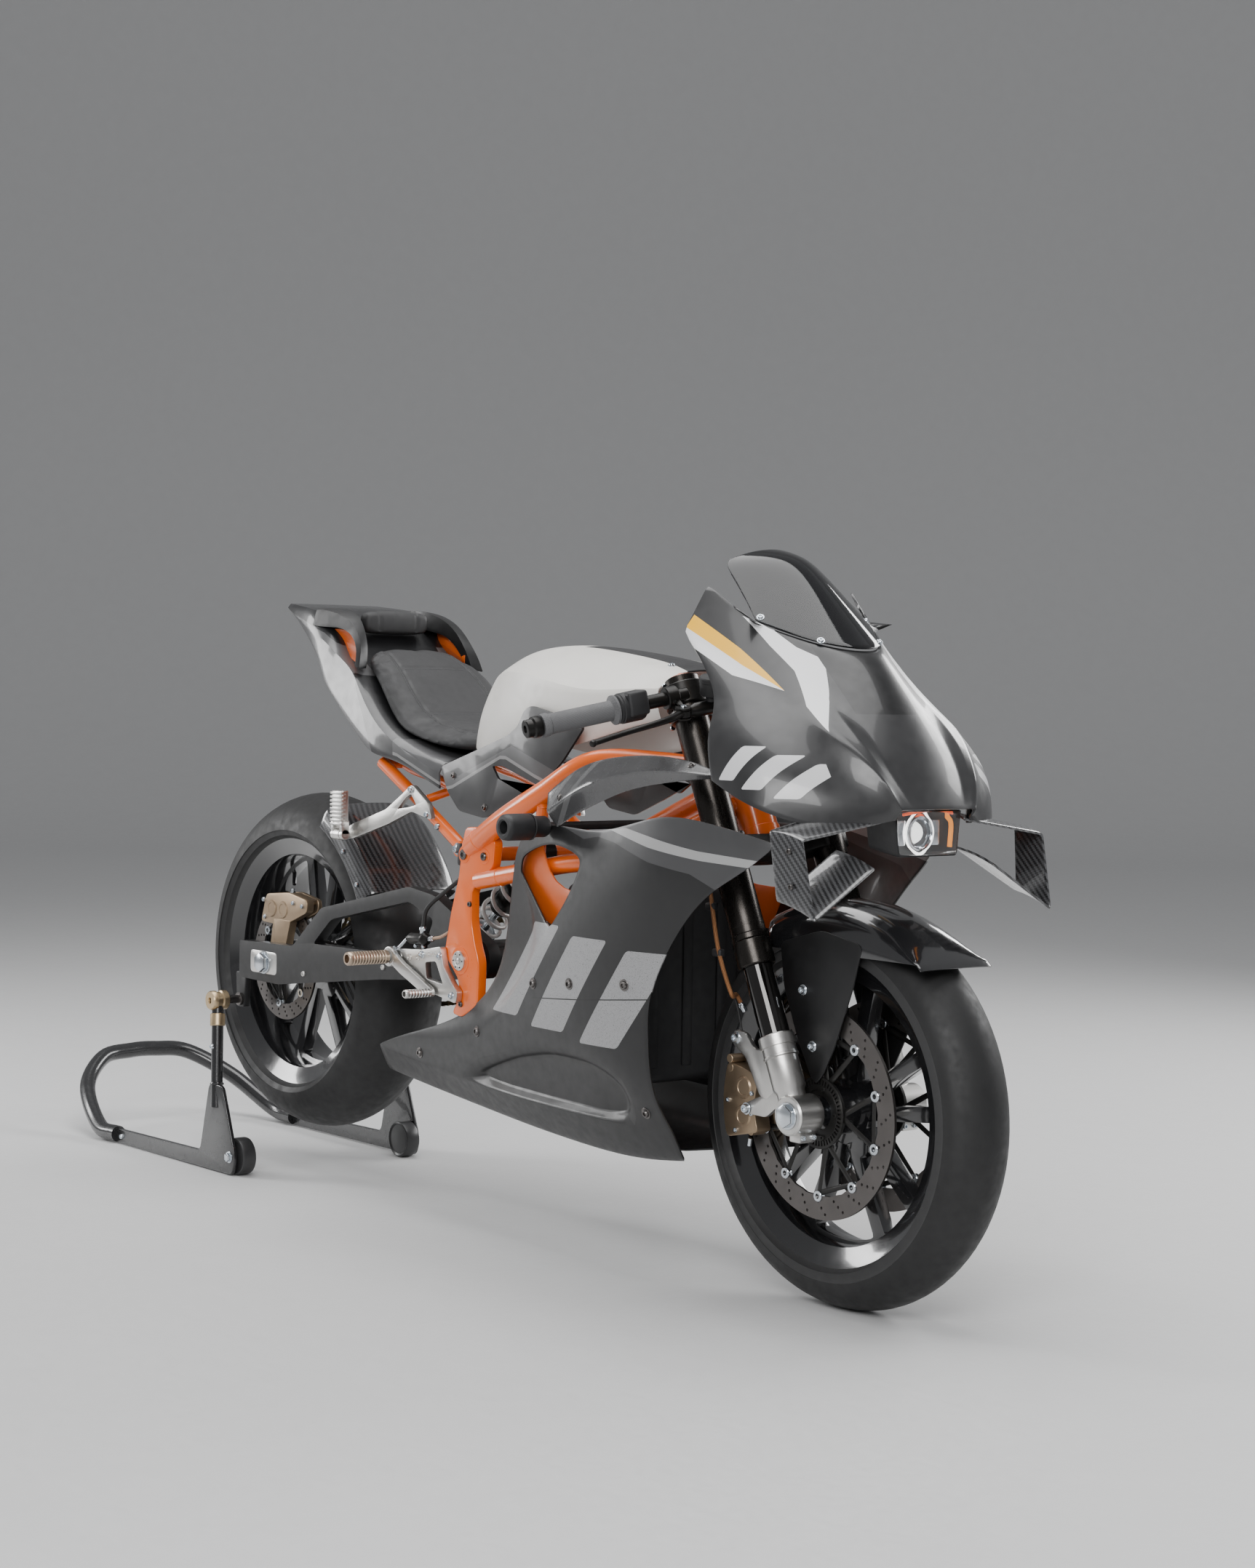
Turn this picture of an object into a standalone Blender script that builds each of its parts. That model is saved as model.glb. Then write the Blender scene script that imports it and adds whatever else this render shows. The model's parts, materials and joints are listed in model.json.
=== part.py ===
"""A sport motorcycle on its rear paddock stand, as an assembly of separate jointed parts.

Metres, +X forward, +Y to the rider's left, +Z up, standing on z = 0.  The parts are
modelled from the rear axle (x = 0), and one empty shifts them all, so that the origin
lies under the middle of the whole object.
"""
from math import asin, atan2, cos, hypot, pi, radians, sin

import bmesh
import bpy
from mathutils import Matrix, Vector

# ---------------------------------------------------------------- driving dimensions
GAP = 0.0003                      # between faces that touch
WHEELBASE = 1.474
FRONT_TYRE_R = 0.300
FRONT_TYRE_WIDTH = 0.120
REAR_TYRE_R = 0.318
REAR_TYRE_WIDTH = 0.186
RIM_FLANGE_R = 0.2325             # a 17 inch wheel, over its flanges
FRONT_RIM_WIDTH = 0.102
REAR_RIM_WIDTH = 0.152
REAR_AXLE_Z = 0.397               # the stand holds the rear tyre clear of the floor
FRONT_AXLE = (WHEELBASE, FRONT_TYRE_R)
REAR_AXLE = (0.0, REAR_AXLE_Z)
AXLE_R = 0.0125
AXLE_BORE_R = 0.0132

RAKE = radians(24)
STEER_FOOT = (1.4396, 0.2878)     # a point of the steering axis
FORK_OFFSET = 0.030               # fork legs ahead of the steering axis
FORK_Y = 0.105
FORK_TUBE_R = 0.027
STANCHION_R = 0.0225
FORK_TUBE_BOTTOM = 0.230          # heights along the steering axis, from its foot
FORK_TUBE_TOP = 0.700
FOOT_TOP = 0.108
STANCHION_TOP = 0.420
LOWER_CLAMP = (0.412, 0.442)
TOP_CLAMP = (0.630, 0.648)
BAR_CLAMP = (0.652, 0.688)
HEAD_TUBE = (0.4425, 0.6295)
STEM_R = 0.016

SWINGARM_PIVOT = (0.695, 0.463)
SWINGARM_IN_Y = 0.113
SWINGARM_OUT_Y = 0.137
SPOOL = (-0.087, 0.320)           # where the stand holds the swingarm
SHOCK_TOP = (0.690, 0.640)
SHOCK_EYE = (0.470, 0.455)
DRIVE_SPROCKET = (0.765, 0.455)
CHAIN_Y = 0.1035

GRIP_IN = Vector((1.1900, -0.240, 0.8920))
GRIP_OUT = Vector((1.1627, -0.360, 0.8665))
LEVER_PIVOT = Vector((1.243, -0.150, 0.889))
LEVER_TIP = Vector((1.268, -0.345, 0.842))
PEG_AXIS = (0.517, 0.456)         # footrest and brake pedal pivot
PASSENGER_PIVOT = (0.335, 0.186, 0.657)

ROLLER_R = 0.035
STAND_REAR_X = -0.736
X_CENTRE = (WHEELBASE + FRONT_TYRE_R + STAND_REAR_X) / 2

# ---------------------------------------------------------------- scene and materials
for old in list(bpy.data.objects):
    bpy.data.objects.remove(old, do_unlink=True)
PARTS = bpy.data.collections.new("sport_motorcycle")
CUTTERS = bpy.data.collections.new("cutters")
bpy.context.scene.collection.children.link(PARTS)
bpy.context.scene.collection.children.link(CUTTERS)

ORANGE = ((0.85, 0.18, 0.01), 0.35, 0.0)
BLACK = ((0.012, 0.012, 0.013), 0.45, 0.0)
GLOSS_BLACK = ((0.008, 0.008, 0.009), 0.15, 0.0)
GREY = ((0.06, 0.06, 0.065), 0.5, 0.0)
WHITE = ((0.62, 0.61, 0.58), 0.4, 0.0)
RUBBER = ((0.02, 0.02, 0.02), 0.8, 0.0)
SEAT = ((0.03, 0.03, 0.032), 0.7, 0.0)
SILVER = ((0.6, 0.6, 0.6), 0.35, 1.0)
STEEL = ((0.35, 0.35, 0.36), 0.3, 1.0)
BRONZE = ((0.45, 0.28, 0.12), 0.35, 1.0)
CARBON = ((0.02, 0.02, 0.022), 0.3, 0.2)
SMOKE = ((0.05, 0.055, 0.06), 0.08, 0.0)
LAMP = ((0.8, 0.8, 0.82), 0.1, 0.0)


def paint(obj, colour, roughness, metallic):
    """Give one part its own Principled material."""
    material = bpy.data.materials.new(obj.name)
    material.use_nodes = True
    shader = material.node_tree.nodes["Principled BSDF"]
    shader.inputs["Base Color"].default_value = (*colour, 1.0)
    shader.inputs["Roughness"].default_value = roughness
    shader.inputs["Metallic"].default_value = metallic
    material.diffuse_color = (*colour, 1.0)
    obj.data.materials.clear()
    obj.data.materials.append(material)


# ---------------------------------------------------------------- bodies
def pivot(name, location, parent=None):
    """An empty on a joint's axis, which the pieces of one body hang from."""
    empty = bpy.data.objects.new(name, None)
    empty.empty_display_size = 0.05
    PARTS.objects.link(empty)
    empty["at"] = tuple(location)
    if parent:
        empty.parent = parent
        empty.location = Vector(location) - Vector(parent["at"])
    else:
        empty.location = Vector(location) - Vector((X_CENTRE, 0, 0))
    return empty


def steer_point(forward, y, along):
    """A point given ahead of, beside and along the steering axis."""
    up = Vector((-sin(RAKE), 0, cos(RAKE)))
    ahead = Vector((cos(RAKE), 0, sin(RAKE)))
    foot = Vector((STEER_FOOT[0], 0, STEER_FOOT[1]))
    return foot + ahead * forward + up * along + Vector((0, y, 0))


def at_y(point, y=0.0):
    return Vector((point[0], y, point[1]))


CHASSIS = pivot("chassis_origin", (0, 0, 0))
STEERING = pivot("steering_axis", steer_point(0, 0, 0.5), CHASSIS)
THROTTLE = pivot("throttle_axis", GRIP_IN, STEERING)
LEVER = pivot("brake_lever_axis", LEVER_PIVOT, STEERING)
FORK = pivot("fork_travel_axis", steer_point(FORK_OFFSET, 0, 0), STEERING)
FRONT_WHEEL = pivot("front_wheel_axis", at_y(FRONT_AXLE), FORK)
SWINGARM = pivot("swingarm_axis", at_y(SWINGARM_PIVOT), CHASSIS)
REAR_WHEEL = pivot("rear_wheel_axis", at_y(REAR_AXLE), SWINGARM)
SPROCKET = pivot("drive_sprocket_axis", at_y(DRIVE_SPROCKET), CHASSIS)
PEDAL = pivot("brake_pedal_axis", at_y(PEG_AXIS, -0.195), CHASSIS)
SHOCK = pivot("shock_axis", at_y(SHOCK_TOP), CHASSIS)
SHOCK_ROD = pivot("shock_rod_axis", at_y(SHOCK_EYE), SHOCK)
STAND = pivot("stand_axis", at_y(SPOOL), SWINGARM)

# ---------------------------------------------------------------- shape tools
WORK = []                          # shapes made for the piece in hand


def keep(obj):
    WORK.append(obj)
    return obj


def new_object(mesh, name="shape"):
    obj = bpy.data.objects.new(name, mesh)
    PARTS.objects.link(obj)
    return keep(obj)


def from_bmesh(bm):
    bmesh.ops.recalc_face_normals(bm, faces=bm.faces)
    mesh = bpy.data.meshes.new("shape")
    bm.to_mesh(mesh)
    bm.free()
    return new_object(mesh)


def box(low, high, bevel=0.0):
    """A box between two corners, with its edges rounded."""
    low, high = Vector(low), Vector(high)
    bm = bmesh.new()
    size = Matrix.Diagonal((*(high - low), 1.0))
    bmesh.ops.create_cube(bm, size=1.0, matrix=Matrix.Translation((low + high) / 2) @ size)
    if bevel:
        bmesh.ops.bevel(bm, geom=bm.edges[:], offset=bevel, segments=1, affect='EDGES')
    return from_bmesh(bm)


def rod(start, end, radius, sides=16, end_radius=None):
    """A round bar, or a cone, between two points."""
    start, end = Vector(start), Vector(end)
    turn = (end - start).to_track_quat('Z', 'Y').to_matrix().to_4x4()
    bm = bmesh.new()
    bmesh.ops.create_cone(bm, cap_ends=True, segments=sides, radius1=radius,
                          radius2=radius if end_radius is None else end_radius,
                          depth=(end - start).length,
                          matrix=Matrix.Translation((start + end) / 2) @ turn)
    return from_bmesh(bm)


def bend(points, steps=4):
    """A smooth route through a few points."""
    points = [Vector(p) for p in points]
    ends = [2 * points[0] - points[1], *points, 2 * points[-1] - points[-2]]
    route = []
    for a, b, c, d in zip(ends, ends[1:], ends[2:], ends[3:]):
        for i in range(steps):
            t = i / steps
            route.append(0.5 * (2 * b + (c - a) * t + (2 * a - 5 * b + 4 * c - d) * t * t
                                + (3 * b - a - 3 * c + d) * t ** 3))
    return [*route, points[-1]]


def curve_mesh(curve):
    """Turn a curve into a mesh with welded caps, and remove the curve."""
    holder = bpy.data.objects.new("curve", curve)
    PARTS.objects.link(holder)
    bpy.context.view_layer.update()
    evaluated = holder.evaluated_get(bpy.context.evaluated_depsgraph_get())
    mesh = bpy.data.meshes.new_from_object(evaluated)
    bpy.data.objects.remove(holder, do_unlink=True)
    bm = bmesh.new()
    bm.from_mesh(mesh)
    bmesh.ops.remove_doubles(bm, verts=bm.verts, dist=0.00002)
    return from_bmesh(bm)


def tube(points, radius, resolution=2):
    """A tube with filled caps along a route."""
    curve = bpy.data.curves.new("tube", 'CURVE')
    curve.dimensions = '3D'
    curve.bevel_depth = radius
    curve.bevel_resolution = resolution
    curve.use_fill_caps = True
    spline = curve.splines.new('POLY')
    spline.points.add(len(points) - 1)
    for slot, point in zip(spline.points, points):
        slot.co = (*point, 1.0)
    return curve_mesh(curve)


def plate(loops, low, high, across='Y'):
    """A flat piece from closed outlines: the first is its edge, the rest are windows.

    Across 'Y' the outlines are (x, z) and the plate lies between two y values; across
    'Z' they are (x, y) between two heights.
    """
    curve = bpy.data.curves.new("outline", 'CURVE')
    curve.dimensions = '2D'
    curve.fill_mode = 'BOTH'
    curve.extrude = abs(high - low) / 2
    for loop in loops:
        spline = curve.splines.new('POLY')
        spline.points.add(len(loop) - 1)
        for slot, (u, v) in zip(spline.points, loop):
            slot.co = (u, v, 0.0, 1.0)
        spline.use_cyclic_u = True
    obj = curve_mesh(curve)
    middle = (low + high) / 2
    if across == 'Y':
        obj.data.transform(Matrix.Translation((0, middle, 0)) @ Matrix.Rotation(pi / 2, 4, 'X'))
    else:
        obj.data.transform(Matrix.Translation((0, 0, middle)))
    return obj


def circle(centre, radius, count=32, start=0.0, stop=2 * pi):
    """Points round a circle, or along an arc of it."""
    whole = abs(stop - start) > 6.28
    last = count if whole else count - 1
    return [(centre[0] + radius * cos(start + (stop - start) * i / last),
             centre[1] + radius * sin(start + (stop - start) * i / last)) for i in range(count)]


def turned(profile, centre, steps=28, angle=2 * pi):
    """Screw a profile of (radius, y) points round the Y axis through centre (x, z)."""
    mesh = bpy.data.meshes.new("profile")
    closed = angle > 6.28
    points = [(r, y, 0.0) for r, y in profile]
    ring = [(i, (i + 1) % len(points)) for i in range(len(points))]
    mesh.from_pydata(points, ring, [])
    obj = new_object(mesh)
    screw = obj.modifiers.new("turn", 'SCREW')
    screw.axis = 'Y'
    screw.angle = angle
    screw.steps = steps
    screw.render_steps = steps
    screw.use_merge_vertices = closed
    screw.merge_threshold = 0.00005
    screw.use_normal_calculate = True
    obj.location = at_y(centre)
    return flatten(obj)


def flatten(obj):
    """Apply an object's modifiers and transform, so it can be cut or joined."""
    bpy.context.view_layer.update()
    evaluated = obj.evaluated_get(bpy.context.evaluated_depsgraph_get())
    mesh = bpy.data.meshes.new_from_object(evaluated)
    mesh.transform(obj.matrix_world)
    bm = bmesh.new()
    bm.from_mesh(mesh)
    bmesh.ops.recalc_face_normals(bm, faces=bm.faces)
    bm.to_mesh(mesh)
    bm.free()
    obj.modifiers.clear()
    obj.matrix_world = Matrix.Identity(4)
    obj.data = mesh
    return obj


def loft(sections, closed=True):
    """Skin a row of sections, each a list of points; closed sections get end caps."""
    bm = bmesh.new()
    rows = [[bm.verts.new(point) for point in section] for section in sections]
    count = len(rows[0])
    spans = range(count if closed else count - 1)
    for first, second in zip(rows, rows[1:]):
        for i in spans:
            j = (i + 1) % count
            bm.faces.new((first[i], first[j], second[j], second[i]))
    if closed:
        bm.faces.new(rows[0])
        bm.faces.new(rows[-1])
    return from_bmesh(bm)


def shell(sections, thickness, offset=0.0):
    """An open skin with a wall thickness."""
    obj = loft(sections, closed=False)
    solidify = obj.modifiers.new("wall", 'SOLIDIFY')
    solidify.thickness = thickness
    solidify.offset = offset
    return flatten(obj)


def both_sides(half):
    """A section's points from the right edge over the middle to the left edge."""
    left = [Vector((p[0], abs(p[1]), p[2])) for p in half]
    right = [Vector((p[0], -abs(p[1]), p[2])) for p in half]
    if abs(half[-1][1]) < 1e-6:
        return right + left[-2::-1]
    return right + left[::-1]


def mirrored(obj):
    """A copy of a shape on the other side of the middle plane."""
    copy = new_object(obj.data.copy())
    copy.data.transform(Matrix.Scale(-1, 4, (0, 1, 0)))
    copy.data.flip_normals()
    return copy


def in_steering_frame(obj):
    """Turn a shape drawn along an upright steering axis onto the raked one."""
    foot = Vector((STEER_FOOT[0], 0, STEER_FOOT[1]))
    obj.data.transform(Matrix.Translation(foot) @ Matrix.Rotation(-RAKE, 4, 'Y'))
    return obj


def finish(name, body, look, base, add=(), cut=(), then_add=()):
    """Name a part, join and cut it with Booleans, hang it from its body and paint it."""
    offset = -Vector(body["at"])
    jobs = [(s, 'UNION') for s in add] + [(s, 'DIFFERENCE') for s in cut]
    jobs += [(s, 'UNION') for s in then_add]
    for number, (shape, operation) in enumerate(jobs):
        boolean = base.modifiers.new(f"{operation.lower()}_{number}", 'BOOLEAN')
        boolean.operation = operation
        boolean.solver = 'EXACT'
        boolean.object = shape
        shape.name = f"{name}_{operation.lower()}_{number}"
        shape.parent = body
        shape.location = offset
        shape.hide_render = True
        shape.display_type = 'WIRE'
        PARTS.objects.unlink(shape)
        CUTTERS.objects.link(shape)
        WORK.remove(shape)
    base.name = name
    base.parent = body
    base.location = offset
    base.data.name = name
    paint(base, *look)
    WORK.remove(base)
    if WORK:
        raise ValueError(f"{name}: {len(WORK)} shapes are left over")
    return base


def pair(name, body, look, make):
    """Make a part for each side; make(side) returns what finish() takes after the look."""
    for word, side in (("right", -1), ("left", 1)):
        finish(f"{name}_{word}", body, look, *make(side))


def span(side, low, high):
    """A y interval given for the left side, moved to the side asked for."""
    return (low, high) if side > 0 else (-high, -low)


# ---------------------------------------------------------------- wheels
def ring_profile(outer, inner, half_width, shoulder):
    """A closed (radius, y) outline of a ring with its outer corners cut."""
    return [(outer, half_width - shoulder), (outer, shoulder - half_width),
            (outer - shoulder, -half_width), (inner, -half_width),
            (inner, half_width), (outer - shoulder, half_width)]


def tyre_profile(radius, half_width, bead_r, bead_half):
    """A tyre's section: a round crown, sidewalls and a bead on the rim flange."""
    crown = [(radius - half_width * 0.78 * (1 - cos(a)) ** 0.9, half_width * sin(a))
             for a in (radians(d) for d in range(-90, 91, 30))]
    bead = [(bead_r, bead_half), (bead_r, -bead_half)]
    return crown[::-1] + bead[::-1]


def spokes(rim_r, hub_r, thickness):
    """A star of five double spokes: a disc with five narrow and five wide windows."""
    windows = []
    for number in range(5):
        middle = 2 * pi * number / 5 + pi / 2
        for centre, inner_half, outer_half, inner_r in ((middle, 0.13, 0.17, hub_r + 0.045),
                                                        (middle + pi / 5, 0.12, 0.34, hub_r + 0.016)):
            outer_r = rim_r - 0.012
            arc = circle((0, 0), outer_r, 3, centre - outer_half, centre + outer_half)
            inner = circle((0, 0), inner_r, 2, centre + inner_half, centre - inner_half)
            windows.append(arc + inner)
    return plate([circle((0, 0), rim_r, 25, 0.03, 0.03 + 2 * pi), *windows],
                 -thickness / 2, thickness / 2)


def rim(name, body, width, hub_right, hub_left, hub_r, axle):
    """A cast wheel: barrel with flanges, spokes, hub and axle bore."""
    half = width / 2
    well = RIM_FLANGE_R - 0.026
    outside = [(RIM_FLANGE_R, half), (RIM_FLANGE_R, half - 0.006), (well, half - 0.022)]
    inside = [(well - 0.007, 0.020 - half)]
    profile = outside + [(r, -y) for r, y in outside[::-1]]
    profile += inside[::-1] + [(r, -y) for r, y in inside]
    barrel = turned(profile, axle)
    star = spokes(well - 0.002, hub_r, 0.024)
    star.data.transform(Matrix.Translation(at_y(axle)))
    hub = rod(at_y(axle, -hub_right), at_y(axle, hub_left), hub_r, 16)
    bore = rod(at_y(axle, -0.2), at_y(axle, 0.2), AXLE_BORE_R, 20)
    finish(name, body, GLOSS_BLACK, barrel, add=(star, hub), cut=(bore,))


def tyre(name, body, radius, width, rim_width, axle):
    bead_r = RIM_FLANGE_R + GAP
    finish(name, body, RUBBER,
           turned(tyre_profile(radius, width / 2, bead_r, rim_width / 2), axle))


def disc(name, body, outer, inner, low, high, axle, slots):
    """A brake disc: a ring with a row of slots between its track and its carrier."""
    slot_r = outer - 0.036
    windows = []
    for number in range(slots):
        middle = 2 * pi * number / slots
        reach = 0.62 * pi / slots
        windows.append(circle((0, 0), slot_r, 3, middle - reach, middle + reach)
                       + circle((0, 0), inner + 0.020, 3, middle + reach, middle - reach))
    shape = plate([circle((0, 0), outer, 36), circle((0, 0), inner, 16), *windows], low, high)
    shape.data.transform(Matrix.Translation(at_y(axle)))
    finish(name, body, STEEL, shape)


FRONT_HUB = 0.060
FRONT_DISC = (0.0603, 0.0655)
REAR_HUB_RIGHT = 0.0880
REAR_HUB_LEFT = 0.0990
REAR_DISC = (0.0883, 0.0933)
REAR_SPROCKET = (0.0993, 0.1063)

tyre("front_tyre", FRONT_WHEEL, FRONT_TYRE_R, FRONT_TYRE_WIDTH, FRONT_RIM_WIDTH, FRONT_AXLE)
rim("front_rim", FRONT_WHEEL, FRONT_RIM_WIDTH, FRONT_HUB, FRONT_HUB, 0.036, FRONT_AXLE)
disc("front_disc_right", FRONT_WHEEL, 0.160, 0.024, -FRONT_DISC[1], -FRONT_DISC[0], FRONT_AXLE, 5)
disc("front_disc_left", FRONT_WHEEL, 0.160, 0.024, *FRONT_DISC, FRONT_AXLE, 5)
tyre("rear_tyre", REAR_WHEEL, REAR_TYRE_R, REAR_TYRE_WIDTH, REAR_RIM_WIDTH, REAR_AXLE)
rim("rear_rim", REAR_WHEEL, REAR_RIM_WIDTH, REAR_HUB_RIGHT, REAR_HUB_LEFT, 0.040, REAR_AXLE)
disc("rear_disc", REAR_WHEEL, 0.110, 0.020, -REAR_DISC[1], -REAR_DISC[0], REAR_AXLE, 5)


def sprocket(name, body, radius, teeth, inner, low, high, axle):
    """A chain wheel with its teeth as a wavy outline."""
    outline = [(axle[0] + (radius - 0.005 * (i % 2)) * cos(pi * i / teeth),
                axle[1] + (radius - 0.005 * (i % 2)) * sin(pi * i / teeth))
               for i in range(2 * teeth)]
    finish(name, body, STEEL, plate([outline, circle(axle, inner, 20)], low, high))


sprocket("rear_sprocket", REAR_WHEEL, 0.098, 32, 0.020, *REAR_SPROCKET, REAR_AXLE)


# ---------------------------------------------------------------- front fork
def fork_rod(side, low, high, radius, sides=18, forward=FORK_OFFSET):
    return rod(steer_point(forward, side * FORK_Y, low), steer_point(forward, side * FORK_Y, high),
               radius, sides)


def fork_tube(side):
    bore = fork_rod(side, FORK_TUBE_BOTTOM - 0.01, STANCHION_TOP + 0.11, STANCHION_R + GAP * 2)
    collar = fork_rod(side, FORK_TUBE_BOTTOM, FORK_TUBE_BOTTOM + 0.045, 0.0295)
    return fork_rod(side, FORK_TUBE_BOTTOM, FORK_TUBE_TOP, FORK_TUBE_R), (collar,), (bore,)


def fork_leg(side):
    """The stanchion, the machined foot, its axle clamp and the caliper's bracket."""
    foot = fork_rod(side, -0.002, FOOT_TOP, 0.0248)
    clamp = rod(at_y(FRONT_AXLE, side * 0.0805), at_y(FRONT_AXLE, side * 0.1295), 0.030, 18)
    bracket = plate([[(1.428, 0.330), (1.395, 0.290), (1.347, 0.287), (1.343, 0.330),
                      (1.318, 0.392), (1.328, 0.408), (1.352, 0.406), (1.385, 0.350),
                      (1.428, 0.390)]], *span(side, 0.0988, 0.1080))
    bore = rod(at_y(FRONT_AXLE, -0.2), at_y(FRONT_AXLE, 0.2), AXLE_BORE_R, 20)
    return fork_rod(side, 0.05, STANCHION_TOP, STANCHION_R), (foot, clamp, bracket), (bore,)


def front_caliper(side):
    """A radial caliper over the disc's rear edge, with a slot for the disc."""
    x, z = FRONT_AXLE
    outline = circle((x, z), 0.184, 6, radians(160), radians(199)) \
        + circle((x, z), 0.098, 4, radians(205), radians(154))
    slot = plate([circle((x, z), 0.1635, 48)], *span(side, 0.0585, 0.0675))
    return plate([outline], *span(side, 0.0470, 0.0985)), (), (slot,)


pair("fork_tube", STEERING, BLACK, fork_tube)
pair("fork_leg", FORK, SILVER, fork_leg)
pair("front_caliper", FORK, BRONZE, front_caliper)

spindle = rod(at_y(FRONT_AXLE, -0.137), at_y(FRONT_AXLE, 0.137), AXLE_R, 14)
collars = [rod(at_y(FRONT_AXLE, side * 0.0670), at_y(FRONT_AXLE, side * 0.0797), 0.017, 14)
           for side in (-1, 1)]
nut = rod(at_y(FRONT_AXLE, -0.1298), at_y(FRONT_AXLE, -0.139), 0.019, 6)
finish("front_axle", FORK, STEEL, spindle, add=(*collars, nut))


def clamp_outline(wide, front, rear, front_mid):
    half = [(front_mid, 0.0), (front_mid, 0.070), (front, 0.088), (front, 0.110), (0.015, wide),
            (-0.020, 0.110), (rear, 0.035)]
    return half + [(x, -y) for x, y in half[:0:-1]]


def clamp(name, heights, front_mid, stem):
    """A fork clamp plate with its tube bores; the lower one carries the steering stem."""
    body = in_steering_frame(plate([clamp_outline(0.1370, 0.060, -0.036, front_mid)],
                                   *heights, across='Z'))
    bores = [fork_rod(side, 0.35, 0.75, FORK_TUBE_R + GAP) for side in (-1, 1)]
    shaft = rod(steer_point(0, 0, heights[0] + 0.004), steer_point(0, 0, 0.664), STEM_R, 20)
    if stem:
        finish(name, STEERING, BLACK, body, cut=bores, then_add=(shaft,))
    else:
        WORK.remove(shaft)
        bpy.data.objects.remove(shaft)
        bores.append(rod(steer_point(0, 0, 0.5), steer_point(0, 0, 0.8), STEM_R + GAP, 20))
        finish(name, STEERING, BLACK, body, cut=bores)


clamp("lower_clamp", LOWER_CLAMP, 0.034, stem=True)
clamp("top_clamp", TOP_CLAMP, 0.040, stem=False)

bar_way = (GRIP_OUT - GRIP_IN).normalized()
lever_way = (LEVER_TIP - LEVER_PIVOT).normalized()
lever_pin = lever_way.cross(Vector((1, 0, -0.25))).normalized()   # points up


def other_side(point, side):
    return Vector((point[0], point[1] if side < 0 else -point[1], point[2]))


def handlebar(side):
    """A clip-on: clamp ring, bar, bar-end weight, and a brake lever perch on the right."""
    ring = fork_rod(side, *BAR_CLAMP, 0.0345)
    bore = fork_rod(side, 0.6, 0.75, FORK_TUBE_R + GAP)
    start = other_side(GRIP_IN - bar_way * 0.124, side)
    tip = other_side(GRIP_OUT + bar_way * 0.004, side)
    end = other_side(GRIP_OUT + bar_way * 0.026, side)
    adds = [rod(start, tip, 0.0110, 16), rod(tip - (end - tip) * 0.1, end, 0.0145, 16)]
    if side > 0:
        adds.append(rod(other_side(GRIP_IN, side), other_side(GRIP_OUT, side), 0.0170, 16))
        return ring, adds, (bore,)
    centre = GRIP_IN - bar_way * 0.095
    ahead = (LEVER_PIVOT - centre).normalized()
    block = rod(centre - bar_way * 0.010, centre + bar_way * 0.010, 0.018, 16)
    arm = rod(centre, LEVER_PIVOT + ahead * 0.010, 0.0110, 14)
    cylinder = rod(LEVER_PIVOT - lever_pin * 0.004 - bar_way * 0.068, LEVER_PIVOT - bar_way * 0.010,
                   0.0110, 16)
    slot = rod(LEVER_PIVOT - lever_pin * 0.0068, LEVER_PIVOT + lever_pin * 0.0068, 0.0165, 20)
    pin = rod(LEVER_PIVOT - lever_pin * 0.009, LEVER_PIVOT + lever_pin * 0.009, 0.0040, 12)
    return ring, (*adds, block, arm, cylinder), (bore, slot), (pin,)


pair("handlebar", STEERING, BLACK, handlebar)

grip = rod(GRIP_IN + bar_way * GAP, GRIP_OUT - bar_way * GAP, 0.0170, 20)
flange = rod(GRIP_IN + bar_way * GAP, GRIP_IN + bar_way * 0.006, 0.0235, 20)
grip_bore = rod(GRIP_IN - bar_way * 0.01, GRIP_OUT + bar_way * 0.01, 0.0113, 20)
finish("throttle_grip", THROTTLE, GREY, grip, add=(flange,), cut=(grip_bore,))

lever_eye = rod(LEVER_PIVOT - lever_pin * 0.0062, LEVER_PIVOT + lever_pin * 0.0062, 0.0120, 20)
lever_bow = Vector((0.012, 0, 0))
blade = tube(bend([LEVER_PIVOT + lever_way * 0.006, LEVER_PIVOT + lever_way * 0.05 + lever_bow,
                   LEVER_PIVOT + lever_way * 0.13 + lever_bow * 0.3, LEVER_TIP]), 0.0058)
lever_bore = rod(LEVER_PIVOT - lever_pin * 0.02, LEVER_PIVOT + lever_pin * 0.02, 0.0043, 16)
finish("brake_lever", LEVER, BLACK, lever_eye, add=(blade,), cut=(lever_bore,))


def mudguard(name, body, axle, skirt, angles, look, plates=None):
    """A wheel cover: a bowed band swept round the axle, with side plates where it has them."""
    steps = 9
    start, stop = (radians(a) for a in angles)
    sections = []
    for i in range(steps + 1):
        angle = start + (stop - start) * i / steps
        half = [(r, y) for r, y in skirt]
        whole = half + [(r, -y) for r, y in half[::-1] if y]
        sections.append([(axle[0] + r * cos(angle), y, axle[1] + r * sin(angle))
                         for r, y in whole])
    band = shell(sections, 0.003)
    finish(name, body, look, band, add=plates or ())


plate_outline = [(1.392, 0.530), (1.401, 0.476), (1.437, 0.394), (1.474, 0.345), (1.510, 0.402),
                 (1.545, 0.490), (1.560, 0.535)]
cheeks = [plate([plate_outline], *span(side, 0.0705, 0.0735)) for side in (-1, 1)]
mudguard("front_fender", FORK, FRONT_AXLE, [(0.236, 0.0722), (0.290, 0.0718), (0.309, 0.052),
                                            (0.3155, 0.026), (0.3165, 0.0)],
         (42, 112), GLOSS_BLACK, cheeks)


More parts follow.
